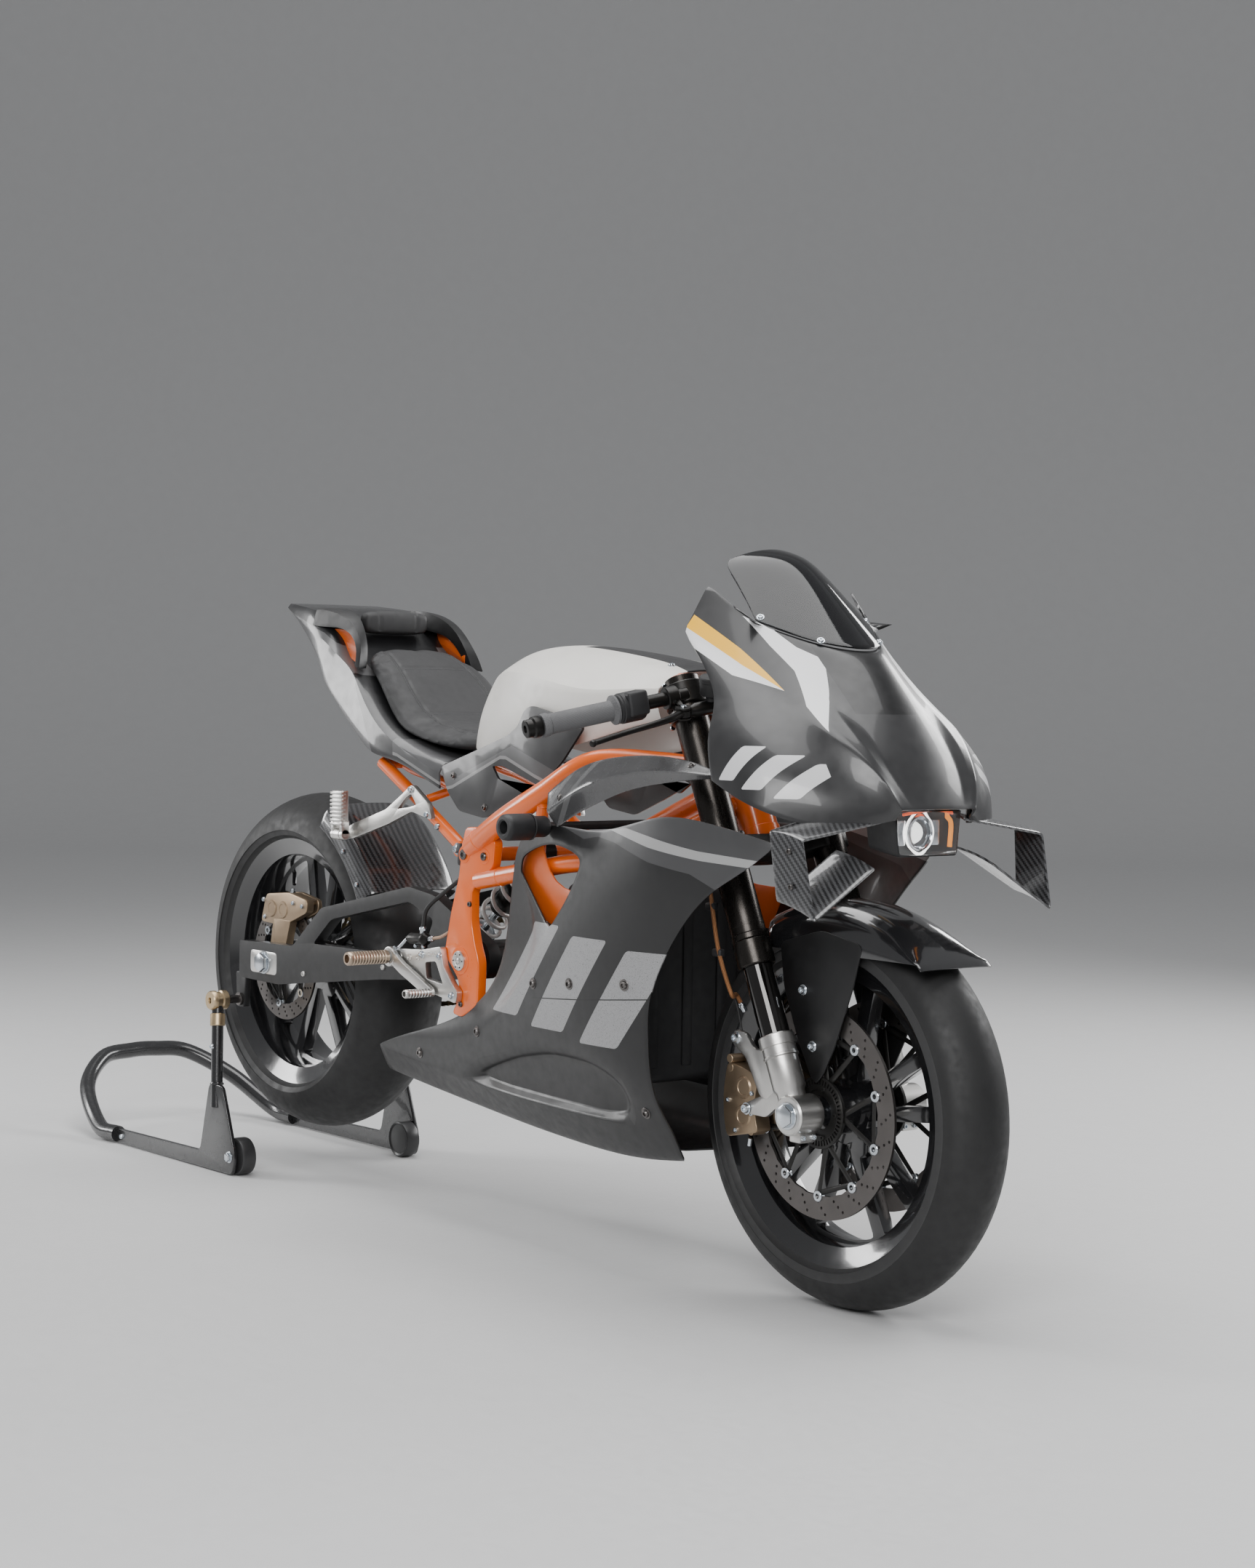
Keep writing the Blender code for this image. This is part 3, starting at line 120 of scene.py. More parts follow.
forward = Vector((cos(CAMERA_YAW) * cos(CAMERA_PITCH), sin(CAMERA_YAW) * cos(CAMERA_PITCH),
                  sin(CAMERA_PITCH)))
level_right = forward.cross(Vector((0, 0, 1))).normalized()
level_up = level_right.cross(forward)
camera_right = level_right * cos(CAMERA_ROLL) + level_up * sin(CAMERA_ROLL)
camera_up = level_up * cos(CAMERA_ROLL) - level_right * sin(CAMERA_ROLL)
camera_data = bpy.data.cameras.new("camera")
camera_data.lens = LENS
camera_data.sensor_width = 36
camera = bpy.data.objects.new("camera", camera_data)
bpy.context.scene.collection.objects.link(camera)
turn = Matrix((camera_right, camera_up, -forward)).transposed()
camera.matrix_world = Matrix.Translation(CAMERA_AT) @ turn.to_4x4()
bpy.context.scene.camera = camera
print(f"camera at {tuple(round(c, 3) for c in CAMERA_AT)}")

# %% [markdown]
# A dark bike needs broad soft lights: its black panels show only what they reflect.  One
# large panel hangs over it, a second stands ahead on the right as the key, and two narrow
# ones behind draw a bright line along the tank, the tail and the nose.

# %% Floor and lights
def area_light(name, place, target, size, power, colour=(1, 1, 1)):
    """A rectangular soft light that looks at a point."""
    data = bpy.data.lights.new(name, 'AREA')
    data.shape = 'RECTANGLE'
    data.size, data.size_y = size
    data.energy = power
    data.color = colour
    obj = bpy.data.objects.new(name, data)
    bpy.context.scene.collection.objects.link(obj)
    obj.location = place
    obj.rotation_euler = (Vector(target) - Vector(place)).to_track_quat('-Z', 'Y').to_euler()
    return obj


area_light("overhead_light", (0.1, 0.0, 3.6), (0.1, 0.0, 0.0), (4.2, 2.0), 120)
area_light("key_light", (3.6, -3.2, 2.6), (0.3, 0.0, 0.5), (2.4, 1.8), 150)
area_light("tail_light_bank", (-3.4, -2.0, 1.9), (-0.3, 0.0, 0.7), (1.0, 2.2), 90)
area_light("far_side_light", (0.6, 3.6, 2.2), (0.3, 0.0, 0.7), (3.4, 1.0), 110)

world = bpy.data.worlds.new("studio")
world.use_nodes = True
world.node_tree.nodes["Background"].inputs["Color"].default_value = (0.80, 0.81, 0.83, 1)
world.node_tree.nodes["Background"].inputs["Strength"].default_value = 0.42
bpy.context.scene.world = world

# %% [markdown]
# Materials come before the meshes.  Each starts from the Principled shader.  `surface` adds
# what real finishes have: a slight drift of colour and of gloss from place to place, and a
# fine grain that only shows close up.  Small helpers wire the nodes.

# %% Node helpers
def join(m, socket, value):
    """Link an output to a socket, or set the socket to a plain value."""
    if isinstance(value, bpy.types.NodeSocket):
        m.node_tree.links.new(value, socket)
    else:
        socket.default_value = value


def maths(m, operation, a, b=0.0, c=0.0):
    """One Math node's output."""
    n = m.node_tree.nodes.new("ShaderNodeMath")
    n.operation = operation
    for socket, value in zip(n.inputs, (a, b, c)):
        join(m, socket, value)
    return n.outputs[0]


def blend_colours(m, factor, first, second):
    """A colour that goes from the first to the second as the factor goes from 0 to 1."""
    n = m.node_tree.nodes.new("ShaderNodeMix")
    n.data_type = 'RGBA'
    join(m, n.inputs["Factor"], factor)
    for socket, value in ((n.inputs[6], first), (n.inputs[7], second)):
        join(m, socket, value if isinstance(value, bpy.types.NodeSocket) else (*value, 1.0))
    return n.outputs[2]


def placed(m, scale=(1, 1, 1), centre=(0, 0, 0)):
    """Object coordinates, centred and stretched."""
    coordinates = m.node_tree.nodes.new("ShaderNodeTexCoord")
    mapping = m.node_tree.nodes.new("ShaderNodeMapping")
    mapping.inputs["Scale"].default_value = scale
    mapping.inputs["Location"].default_value = [-c * s for c, s in zip(centre, scale)]
    m.node_tree.links.new(coordinates.outputs["Object"], mapping.inputs["Vector"])
    return mapping.outputs["Vector"]


def parts_of(m, vector):
    """The x, y and z of a vector."""
    n = m.node_tree.nodes.new("ShaderNodeSeparateXYZ")
    m.node_tree.links.new(vector, n.inputs[0])
    return n.outputs[0], n.outputs[1], n.outputs[2]


def noise(m, scale, detail=2.0, stretch=(1, 1, 1)):
    """Soft noise from 0 to 1, scale in repeats per metre."""
    n = m.node_tree.nodes.new("ShaderNodeTexNoise")
    m.node_tree.links.new(placed(m, stretch), n.inputs["Vector"])
    n.inputs["Scale"].default_value = scale
    n.inputs["Detail"].default_value = detail
    return n.outputs["Fac"]


def spread(m, value, low, high):
    """Stretch a 0 to 1 value to run from low to high."""
    n = m.node_tree.nodes.new("ShaderNodeMapRange")
    join(m, n.inputs["Value"], value)
    n.inputs["From Min"].default_value = 0.3
    n.inputs["From Max"].default_value = 0.7
    n.inputs["To Min"].default_value = low
    n.inputs["To Max"].default_value = high
    return n.outputs["Result"]


def raise_bump(m, height, depth, strength=1.0):
    """Add a height in metres to the shader's normal, on top of any bump before it."""
    shader = m.node_tree.nodes["Principled BSDF"]
    n = m.node_tree.nodes.new("ShaderNodeBump")
    n.inputs["Strength"].default_value = strength
    n.inputs["Distance"].default_value = depth
    m.node_tree.links.new(height, n.inputs["Height"])
    if shader.inputs["Normal"].is_linked:
        m.node_tree.links.new(shader.inputs["Normal"].links[0].from_socket, n.inputs["Normal"])
    m.node_tree.links.new(n.outputs["Normal"], shader.inputs["Normal"])


def surface(name, colour, roughness, metallic=0.0, coat=0.0, drift=0.12, grain=(900, 0.00002),
            stretch=(1, 1, 1)):
    """A painted, moulded or metal finish with a little variation in it."""
    m = bpy.data.materials.new(name)
    m.use_nodes = True
    shader = m.node_tree.nodes["Principled BSDF"]
    shader.inputs["Metallic"].default_value = metallic
    shader.inputs["Coat Weight"].default_value = coat
    shader.inputs["Coat Roughness"].default_value = 0.06
    dark = [c * (1 - drift) for c in colour]
    light = [min(1.0, c * (1 + drift)) for c in colour]
    tone = blend_colours(m, spread(m, noise(m, 14, 3.0), 0, 1), dark, light)
    join(m, shader.inputs["Base Color"], tone)
    gloss = noise(m, 60, 4.0, stretch)
    join(m, shader.inputs["Roughness"], spread(m, gloss, roughness * 0.85, roughness * 1.15))
    raise_bump(m, noise(m, grain[0], 2.0, stretch), grain[1])
    return m


def base_colour(m):
    """What the shader's colour socket is fed by, so that a pattern can be laid over it."""
    return m.node_tree.nodes["Principled BSDF"].inputs["Base Color"].links[0].from_socket


def paint_over(m, mask, colour):
    """Lay a second colour over a material's own where the mask is 1."""
    shader = m.node_tree.nodes["Principled BSDF"]
    join(m, shader.inputs["Base Color"], blend_colours(m, mask, base_colour(m), colour))


def both(m, *masks):
    """1 where all the masks are 1."""
    result = masks[0]
    for mask in masks[1:]:
        result = maths(m, 'MULTIPLY', result, mask)
    return result


def profile_line(m, x, points):
    """Height of a broken line z(x) through a few points, as a value."""
    low, high = points[0][0], points[-1][0]
    ramp = m.node_tree.nodes.new("ShaderNodeValToRGB")
    ramp.color_ramp.interpolation = 'LINEAR'
    stops = ramp.color_ramp.elements
    while len(stops) < len(points):
        stops.new(0.5)
    for stop, (px, pz) in zip(stops, points):
        stop.position = (px - low) / (high - low)
        stop.color = (pz, pz, pz, 1)
    share = maths(m, 'DIVIDE', maths(m, 'SUBTRACT', x, low), high - low)
    m.node_tree.links.new(maths(m, 'MINIMUM', maths(m, 'MAXIMUM', share, 0.0), 1.0),
                          ramp.inputs["Fac"])
    n = m.node_tree.nodes.new("ShaderNodeSeparateColor")
    m.node_tree.links.new(ramp.outputs["Color"], n.inputs[0])
    return n.outputs[0]


# %% [markdown]
# The plain finishes: paints, anodised and machined metals, rubber and plastics.  Machined
# metal has its grain stretched one way, as a cutter leaves it.

# %% Plain finishes
ORANGE = surface("orange_powder_coat", (0.84, 0.135, 0.006), 0.32, coat=0.5, drift=0.05,
                 grain=(700, 0.00004))
MATTE_BLACK = surface("matte_black_panel", (0.009, 0.009, 0.0095), 0.46, drift=0.15)
GLOSS_BLACK = surface("gloss_black_paint", (0.010, 0.010, 0.011), 0.16, coat=1.0, drift=0.1,
                      grain=(40, 0.00006))
SATIN_GREY = surface("satin_grey_panel", (0.030, 0.030, 0.032), 0.36, coat=0.25)
ANODISED = surface("anodised_black", (0.020, 0.019, 0.018), 0.34, metallic=0.7,
                   stretch=(1, 1, 8))
FORK_BLACK = surface("hard_black_fork", (0.040, 0.036, 0.033), 0.28, metallic=0.9,
                     stretch=(8, 8, 1))
MACHINED = surface("machined_aluminium", (0.62, 0.61, 0.59), 0.34, metallic=1.0,
                   stretch=(1, 1, 12), grain=(600, 0.00003))
BRIGHT_STEEL = surface("bright_zinc_steel", (0.60, 0.64, 0.68), 0.22, metallic=1.0)
DARK_STEEL = surface("dark_steel", (0.16, 0.15, 0.145), 0.30, metallic=1.0)
BRONZE = surface("bronze_anodised", (0.33, 0.245, 0.165), 0.40, metallic=0.85)
CAST_GREY = surface("cast_grey", (0.075, 0.075, 0.078), 0.55, metallic=0.6,
                    grain=(420, 0.00012))
MOULDED = surface("moulded_black_plastic", (0.014, 0.014, 0.015), 0.55, grain=(1500, 0.00006))
RUBBER = surface("hose_rubber", (0.013, 0.013, 0.013), 0.62, grain=(800, 0.00004))
STAND_BLACK = surface("stand_powder_coat", (0.013, 0.013, 0.014), 0.26, coat=0.6,
                      grain=(260, 0.00008))
LAMP_WHITE = surface("lamp_reflector", (0.85, 0.87, 0.90), 0.12, metallic=1.0)
print(f"{len(bpy.data.materials)} finishes")

# %% [markdown]
# The mesh tools.  Each adds one closed form to a bmesh, so that a piece is built up as its
# real part is made: turned parts are spun, plates are cut from sheet, castings are blocks
# with rounded edges, and hoses are swept along a route.

# %% Mesh tools
def facing(start, way):
    """A matrix that stands the Z axis at a point, along a direction."""
    return Matrix.Translation(start) @ Vector(way).to_track_quat('Z', 'Y').to_matrix().to_4x4()


def turned(bm, start, way, profile, sides=32, closed=False):
    """Spin a profile of (radius, height) points round an axis; radius 0 closes a pole."""
    verts = [bm.verts.new((r, 0, h)) for r, h in profile]
    edges = [bm.edges.new(pair) for pair in zip(verts, verts[1:])]
    if closed:
        edges.append(bm.edges.new((verts[-1], verts[0])))
    before = set(bm.verts) - set(verts)
    bmesh.ops.spin(bm, geom=verts + edges, cent=(0, 0, 0), axis=(0, 0, 1), angle=tau,
                   steps=sides, use_merge=True, use_duplicate=False)
    spun = [v for v in bm.verts if v not in before]
    bmesh.ops.remove_doubles(bm, verts=spun, dist=1e-6)
    made = [v for v in bm.verts if v not in before]
    faces = list({f for v in made for f in v.link_faces})
    bmesh.ops.recalc_face_normals(bm, faces=faces)
    bmesh.ops.transform(bm, matrix=facing(start, way), verts=made)
    return faces


def rod(bm, start, end, radius, sides=24, end_radius=None, chamfer=None):
    """A round bar with its ends chamfered."""
    start, end = Vector(start), Vector(end)
    length = (end - start).length
    tip = radius if end_radius is None else end_radius
    cut = min(0.12 * min(radius, tip), 0.2 * length, 0.0015) if chamfer is None else chamfer
    return turned(bm, start, end - start,
                  [(0, 0), (radius - cut, 0), (radius, cut), (tip, length - cut),
                   (tip - cut, length), (0, length)], sides)


def tube_ring(bm, start, end, outer, inner, sides=32, chamfer=0.0006):
    """A sleeve: a turned ring with a bore through it."""
    start, end = Vector(start), Vector(end)
    length = (end - start).length
    return turned(bm, start, end - start,
                  [(inner, 0), (outer - chamfer, 0), (outer, chamfer), (outer, length - chamfer),
                   (outer - chamfer, length), (inner, length)], sides, closed=True)


def bevel_sharp(bm, faces, width, segments=2, angle=35):
    """Round the sharp edges of some faces."""
    if width <= 0:
        return
    edges = {e for f in faces for e in f.edges}
    sharp = [e for e in edges if e.is_manifold and e.calc_face_angle(0) > radians(angle)]
    bmesh.ops.bevel(bm, geom=sharp, offset=width, offset_type='OFFSET', segments=segments,
                    profile=0.5, affect='EDGES', clamp_overlap=True, material=-1)


def block(bm, low, high, bevel=0.002, segments=2, matrix=None, taper=1.0):
    """A box with rounded edges; taper narrows its top end."""
    low, high = Vector(low), Vector(high)
    made = bmesh.ops.create_cube(bm, size=1.0)["verts"]
    for v in made:
        if v.co.z > 0:
            v.co.x *= taper
            v.co.y *= taper
        v.co = Vector(a * b for a, b in zip(v.co, high - low)) + (low + high) / 2
    if matrix:
        bmesh.ops.transform(bm, matrix=matrix, verts=made)
    bevel_sharp(bm, {f for v in made for f in v.link_faces}, bevel, segments)


def plate(bm, loops, low, high, bevel=0.0012, segments=2):
    """A plate between two y values, cut to (x, z) outlines: its edge and then its windows."""
    before = set(bm.faces)
    edges = []
    for loop in loops:
        verts = [bm.verts.new((x, low, z)) for x, z in loop]
        edges += [bm.edges.new((a, b)) for a, b in zip(verts, verts[1:] + verts[:1])]
    if len(loops) == 1:
        faces = [bm.faces.new(verts)]
    else:
        filled = bmesh.ops.triangle_fill(bm, edges=edges, use_beauty=True, use_dissolve=False)
        faces = [g for g in filled["geom"] if isinstance(g, bmesh.types.BMFace)]
    extruded = bmesh.ops.extrude_face_region(bm, geom=faces, use_keep_orig=True)["geom"]
    moved = [g for g in extruded if isinstance(g, bmesh.types.BMVert)]
    bmesh.ops.translate(bm, verts=moved, vec=(0, high - low, 0))
    made = [f for f in bm.faces if f not in before]
    bmesh.ops.recalc_face_normals(bm, faces=made)
    bevel_sharp(bm, made, bevel, segments, 30)
    return [f for f in bm.faces if f not in before]


def on_rear(outline):
    """An outline given forward from the rear axle, moved into the frame."""
    return [(x + REAR_AXLE.x, z) for x, z in outline]


def around(centre, radius, degrees_up):
    """A point round a centre in the (x, z) plane; angles in degrees from forward, upwards."""
    a = radians(degrees_up)
    return (centre[0] + radius * cos(a), centre[1] + radius * sin(a))


def arc(centre, radius, start, stop, count):
    """Points along an arc."""
    return [around(centre, radius, start + (stop - start) * i / (count - 1))
            for i in range(count)]


def rounded(outline, radius, count=4):
    """An outline with each corner replaced by a small arc."""
    result = []
    for before, corner, after in zip(outline[-1:] + outline[:-1], outline,
                                     outline[1:] + outline[:1]):
        here = Vector(corner)
        to_before, to_after = Vector(before) - here, Vector(after) - here
        cut = min(radius, 0.4 * to_before.length, 0.4 * to_after.length)
        start = here + to_before.normalized() * cut
        end = here + to_after.normalized() * cut
        for i in range(count):
            t = i / (count - 1)
            result.append(tuple(start * (1 - t) ** 2 + here * 2 * t * (1 - t) + end * t * t))
    return result


def smooth_route(points, steps=6):
    """A smooth line through a few points."""
    points = [Vector(p) for p in points]
    ends = [2 * points[0] - points[1], *points, 2 * points[-1] - points[-2]]
    route = []
    for a, b, c, d in zip(ends, ends[1:], ends[2:], ends[3:]):
        for i in range(steps):
            t = i / steps
            route.append(0.5 * (2 * b + (c - a) * t + (2 * a - 5 * b + 4 * c - d) * t * t
                                + (3 * b - a - 3 * c + d) * t ** 3))
    return [*route, points[-1]]


def skin_rings(bm, rings, capped=True):
    """Bridge rings of vertices into one form, with flat ends."""
    before = set(bm.faces)
    loops = [[bm.edges.new((a, b)) if bm.edges.get((a, b)) is None else bm.edges.get((a, b))
              for a, b in zip(ring, ring[1:] + ring[:1])] for ring in rings]
    for first, second in zip(loops, loops[1:]):
        bmesh.ops.bridge_loops(bm, edges=first + second)
    if capped:
        for loop in (loops[0], loops[-1]):
            bmesh.ops.contextual_create(bm, geom=loop)
    made = [f for f in bm.faces if f not in before]
    bmesh.ops.recalc_face_normals(bm, faces=made)
    return made


def lofted(bm, sections, bevel=0.0):
    """A closed form through closed sections, each a list of points."""
    made = skin_rings(bm, [[bm.verts.new(p) for p in section] for section in sections])
    bevel_sharp(bm, made, bevel, 2, 20)


def swept(bm, route, radius, sides=14, width=None):
    """A bar along a route, with flat ends; width flattens it into an oval."""
    rings = []
    across = Vector((0, 1, 0))
    for i, point in enumerate(route):
        ahead = (route[min(i + 1, len(route) - 1)] - route[max(i - 1, 0)]).normalized()
        side = across - ahead * across.dot(ahead)
        side = side.normalized() if side.length > 0.05 else Vector((0, 0, 1)).cross(ahead)
        up = ahead.cross(side)
        across = side
        r = radius[i] if isinstance(radius, (list, tuple)) else radius
        local = Matrix((side * (width or 1.0), up, ahead)).transposed().to_4x4()
        rings.append(bmesh.ops.create_circle(bm, cap_ends=False, segments=sides, radius=r,
                                             matrix=Matrix.Translation(point) @ local)["verts"])
    return skin_rings(bm, rings)


def skin(bm, rows, creases=(), inside=None):
    """An open skin through rows of points: a grid whose corners are moved into place.

    creases are rows that stay sharp when the skin is subdivided, as (row, weight) pairs;
    faces are turned away from the inside point.
    """
    across, along = len(rows[0]), len(rows)
    before = set(bm.faces)
    made = bmesh.ops.create_grid(bm, x_segments=across - 1, y_segments=along - 1, size=1)["verts"]
    made.sort(key=lambda v: (round(v.co.y, 5), round(v.co.x, 5)))
    for v, place in zip(made, [p for row in rows for p in row]):
        v.co = place
    layer = bm.edges.layers.float.get("crease_edge") or bm.edges.layers.float.new("crease_edge")
    for row, weight in creases:
        line = made[row * across:(row + 1) * across]
        for pair in zip(line, line[1:]):
            bm.edges.get(pair)[layer] = weight
    faces = [f for f in bm.faces if f not in before]
    bm.normal_update()
    if inside is not None:
        outward = sum((f.calc_center_median() - inside).dot(f.normal) * f.calc_area()
                      for f in faces)
        if outward < 0:
            bmesh.ops.reverse_faces(bm, faces=faces)
    return made


def merge(bm, other):
    """Add a small form, built on its own, to a larger one; this keeps big pieces quick."""
    holder = bpy.data.meshes.new("part")
    other.to_mesh(holder)
    other.free()
    bm.from_mesh(holder)
    bpy.data.meshes.remove(holder)


def bolt(bm, place, way, radius=0.0045, height=0.004, sides=14):
    """A button-head screw with a round drive socket."""
    r, h = radius, height
    turned(bm, place, way, [(0, 0), (r, 0), (r, h * 0.45), (r * 0.80, h), (r * 0.50, h),
                            (r * 0.45, h * 0.4), (0, h * 0.4)], sides)


def hexagon(bm, place, way, radius, height):
    """A hexagon nut or bolt head with a chamfered face."""
    before = set(bm.faces)
    place, way = Vector(place), Vector(way).normalized()
    bmesh.ops.create_cone(bm, cap_ends=True, segments=6, radius1=radius, radius2=radius,
                          depth=height, matrix=facing(place + way * height / 2, way))
    bevel_sharp(bm, [f for f in bm.faces if f not in before], radius * 0.07, 2, 20)


# %% [markdown]
# `piece` turns a bmesh into an object that rides on a CAD body, takes the finish it is given
# and, where it stands for CAD nodes, hides them.

# %% Making a piece
def piece(name, bm, like, finish, replaces=True, smooth=38, also=()):
    """Finish a mesh, and give it the body of the CAD node it is like."""
    mesh = bpy.data.meshes.new(name)
    bm.to_mesh(mesh)
    bm.free()
    finishes = finish if isinstance(finish, (list, tuple)) else [finish]
    for one in finishes:
        mesh.materials.append(one)
    mesh.shade_smooth()
    mesh.set_sharp_from_angle(angle=radians(smooth))
    obj = bpy.data.objects.new(name, mesh)
    bpy.context.scene.collection.objects.link(obj)
    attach(obj, NODE_BODY[like])
    if replaces:
        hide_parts(like, *also)
    print(f"{name}: {len(mesh.polygons)} faces on {NODE_BODY[like]}")
    return obj


def softened(obj, levels=2):
    """Subdivide a skin; its marked creases stay crisp."""
    sub = obj.modifiers.new("smooth", 'SUBSURF')
    sub.levels = levels
    sub.render_levels = levels
    sub.boundary_smooth = 'PRESERVE_CORNERS'


def wall(obj, thickness, inward=True, bevel=0.0006):
    """Give a skin its thickness, and round its rim."""
    solid = obj.modifiers.new("wall", 'SOLIDIFY')
    solid.thickness = thickness
    solid.offset = -1 if inward else 1
    solid.use_even_offset = True
    rim = obj.modifiers.new("rim", 'BEVEL')
    rim.width = bevel
    rim.segments = 2
    rim.limit_method = 'ANGLE'
    rim.angle_limit = radians(50)


def for_each_side(make):
    """Run a maker once for the right side (-1) and once for the left (1)."""
    for word, side in SIDES.items():
        make(word, side)


# %% [markdown]
# ## Wheels
# The tyres are nearly slick: a round crown that meets a flat sidewall at a fine step, and a
# bead that sits on the rim.  The profile is spun round the axle.

# %% Tyres
TYRE_RUBBER = surface("tyre_rubber", (0.0095, 0.0095, 0.0098), 0.60, drift=0.2,
                      grain=(600, 0.00005))


def tyre_profile(radius, half_width, bead_half):
    """(radius, height) points of a tyre section, from bead to bead."""
    crown = []
    for degrees in range(-84, 85, 7):
        a = radians(degrees)
        crown.append((radius - half_width * 0.78 * (1 - cos(a)) ** 0.9, half_width * sin(a)))
    shoulder = [(crown[0][0] - 0.004, crown[0][1] - 0.0008),
                (crown[0][0] - 0.0046, crown[0][1] + 0.0004)]
    wall = [(FLANGE_R + 0.016, -half_width * 0.98), (FLANGE_R + 0.006, -bead_half - 0.010),
            (FLANGE_R + 0.0035, -bead_half - 0.004), (FLANGE_R - 0.001, -bead_half + 0.001)]
    left = wall[::-1] + shoulder[::-1]
    return left + crown + [(r, -h) for r, h in left[::-1]]


def sidewall_tone(m, axle, tread_r):
    """Lighten the flat sidewall, which is duller than the tread."""
    x, _, z = parts_of(m, placed(m, centre=axle))
    from_axle = maths(m, 'SQRT', maths(m, 'ADD', maths(m, 'MULTIPLY', x, x),
                                       maths(m, 'MULTIPLY', z, z)))
    paint_over(m, maths(m, 'LESS_THAN', from_axle, tread_r), (0.022, 0.022, 0.0225))


def make_tyre(node, axle, bead_half):
    finish = TYRE_RUBBER.copy()
    finish.name = node + "_rubber"
    radius, half_width = reach(node), reach(node, 1)
    sidewall_tone(finish, axle, radius - half_width * 0.78 * (1 - cos(radians(84))) ** 0.9 - 0.004)
    bm = bmesh.new()
    turned(bm, axle, (0, 1, 0), tyre_profile(radius, half_width, bead_half), 96)
    piece(node + "_slick", bm, node, finish)


make_tyre("front_tyre", FRONT_AXLE, FRONT_RIM_HALF)
make_tyre("rear_tyre", REAR_AXLE, REAR_RIM_HALF)

# %% [markdown]
# Cast wheels: a barrel with a lip and a deep well, and five pairs of spokes.  The spokes are
# one plate with ten windows, rounded on every edge and thicker towards the hub, as a casting
# is.

# %% Rims
WELL_R = FLANGE_R - 0.026


def barrel_profile(half):
    outer = [(FLANGE_R, half), (FLANGE_R + 0.0002, half - 0.0035), (FLANGE_R - 0.003, half - 0.006),
             (FLANGE_R - 0.010, half - 0.0075), (WELL_R + 0.004, half - 0.016),
             (WELL_R, half - 0.024)]
    inner = [(WELL_R - 0.007, 0.024 - half), (WELL_R - 0.004, 0.014 - half),
             (FLANGE_R - 0.014, 0.006 - half), (FLANGE_R - 0.004, 0.0015 - half)]
    return outer + [(r, -h) for r, h in outer[::-1]] + inner[::-1] + [(r, -h) for r, h in inner]


def spoke_windows(rim_r, hub_r):
    """Five narrow windows inside the spoke pairs and five wide ones between the pairs."""
    windows = []
    for number in range(5):
        middle_angle = 72 * number + 90
        for centre, narrow, wide, start in ((middle_angle, 7.5, 9.6, hub_r + 0.040),
                                            (middle_angle + 36, 7.0, 19.4, hub_r + 0.016)):
            outline = arc((0, 0), rim_r, centre - wide, centre + wide, 7)
            outline += arc((0, 0), start, centre + narrow, centre - narrow, 3)
            windows.append(rounded(outline, 0.007, 3))
    return windows


def make_rim(node, axle, half, hub_r, hub_right, hub_left):
    bm = bmesh.new()
    turned(bm, axle, (0, 1, 0), barrel_profile(half), 96, closed=True)
    star = bmesh.new()
    plate(star, [arc((0, 0), WELL_R - 0.003, 0, 356.25, 96), *spoke_windows(WELL_R - 0.012, hub_r)],
          -0.011, 0.011, bevel=0.0045, segments=3)
    for v in star.verts:
        v.co.y *= 1.45 - 0.5 * hypot(v.co.x, v.co.z) / WELL_R
    bmesh.ops.translate(star, verts=star.verts, vec=axle)
    merge(bm, star)
    tube_ring(bm, axle - Vector((0, hub_right, 0)), axle + Vector((0, hub_left, 0)), hub_r,
              0.0135, 48, 0.002)
    for end, way in ((-hub_right, -1), (hub_left, 1)):
        seal = axle + Vector((0, end + way * 0.0002, 0))
        tube_ring(bm, seal, seal + Vector((0, way * 0.002, 0)), hub_r * 0.74, 0.0135, 40)
    valve = axle + Vector((WELL_R * 0.97 * cos(radians(126)), 0, WELL_R * 0.97 * sin(radians(126))))
    rod(bm, valve, valve - (valve - axle).normalized() * 0.032 + Vector((0, -0.012, 0)), 0.0040, 12)
    piece(node + "_cast", bm, node, GLOSS_BLACK, smooth=32)


make_rim("front_rim", FRONT_AXLE, FRONT_RIM_HALF, 0.036, 0.060, 0.060)
make_rim("rear_rim", REAR_AXLE, REAR_RIM_HALF, 0.040, 0.088, 0.099)

# %% [markdown]
# Floating brake discs have three parts: a drilled steel ring, a black carrier with a web of
# struts, and the bobbins that hold one to the other and let the ring grow when it is hot.

# %% Brake discs
DISC_STEEL = surface("ground_disc_steel", (0.13, 0.12, 0.115), 0.33, metallic=0.9,
                     grain=(1200, 0.00004))
CARRIER_BLACK = surface("disc_carrier_black", (0.022, 0.021, 0.020), 0.42, metallic=0.5)


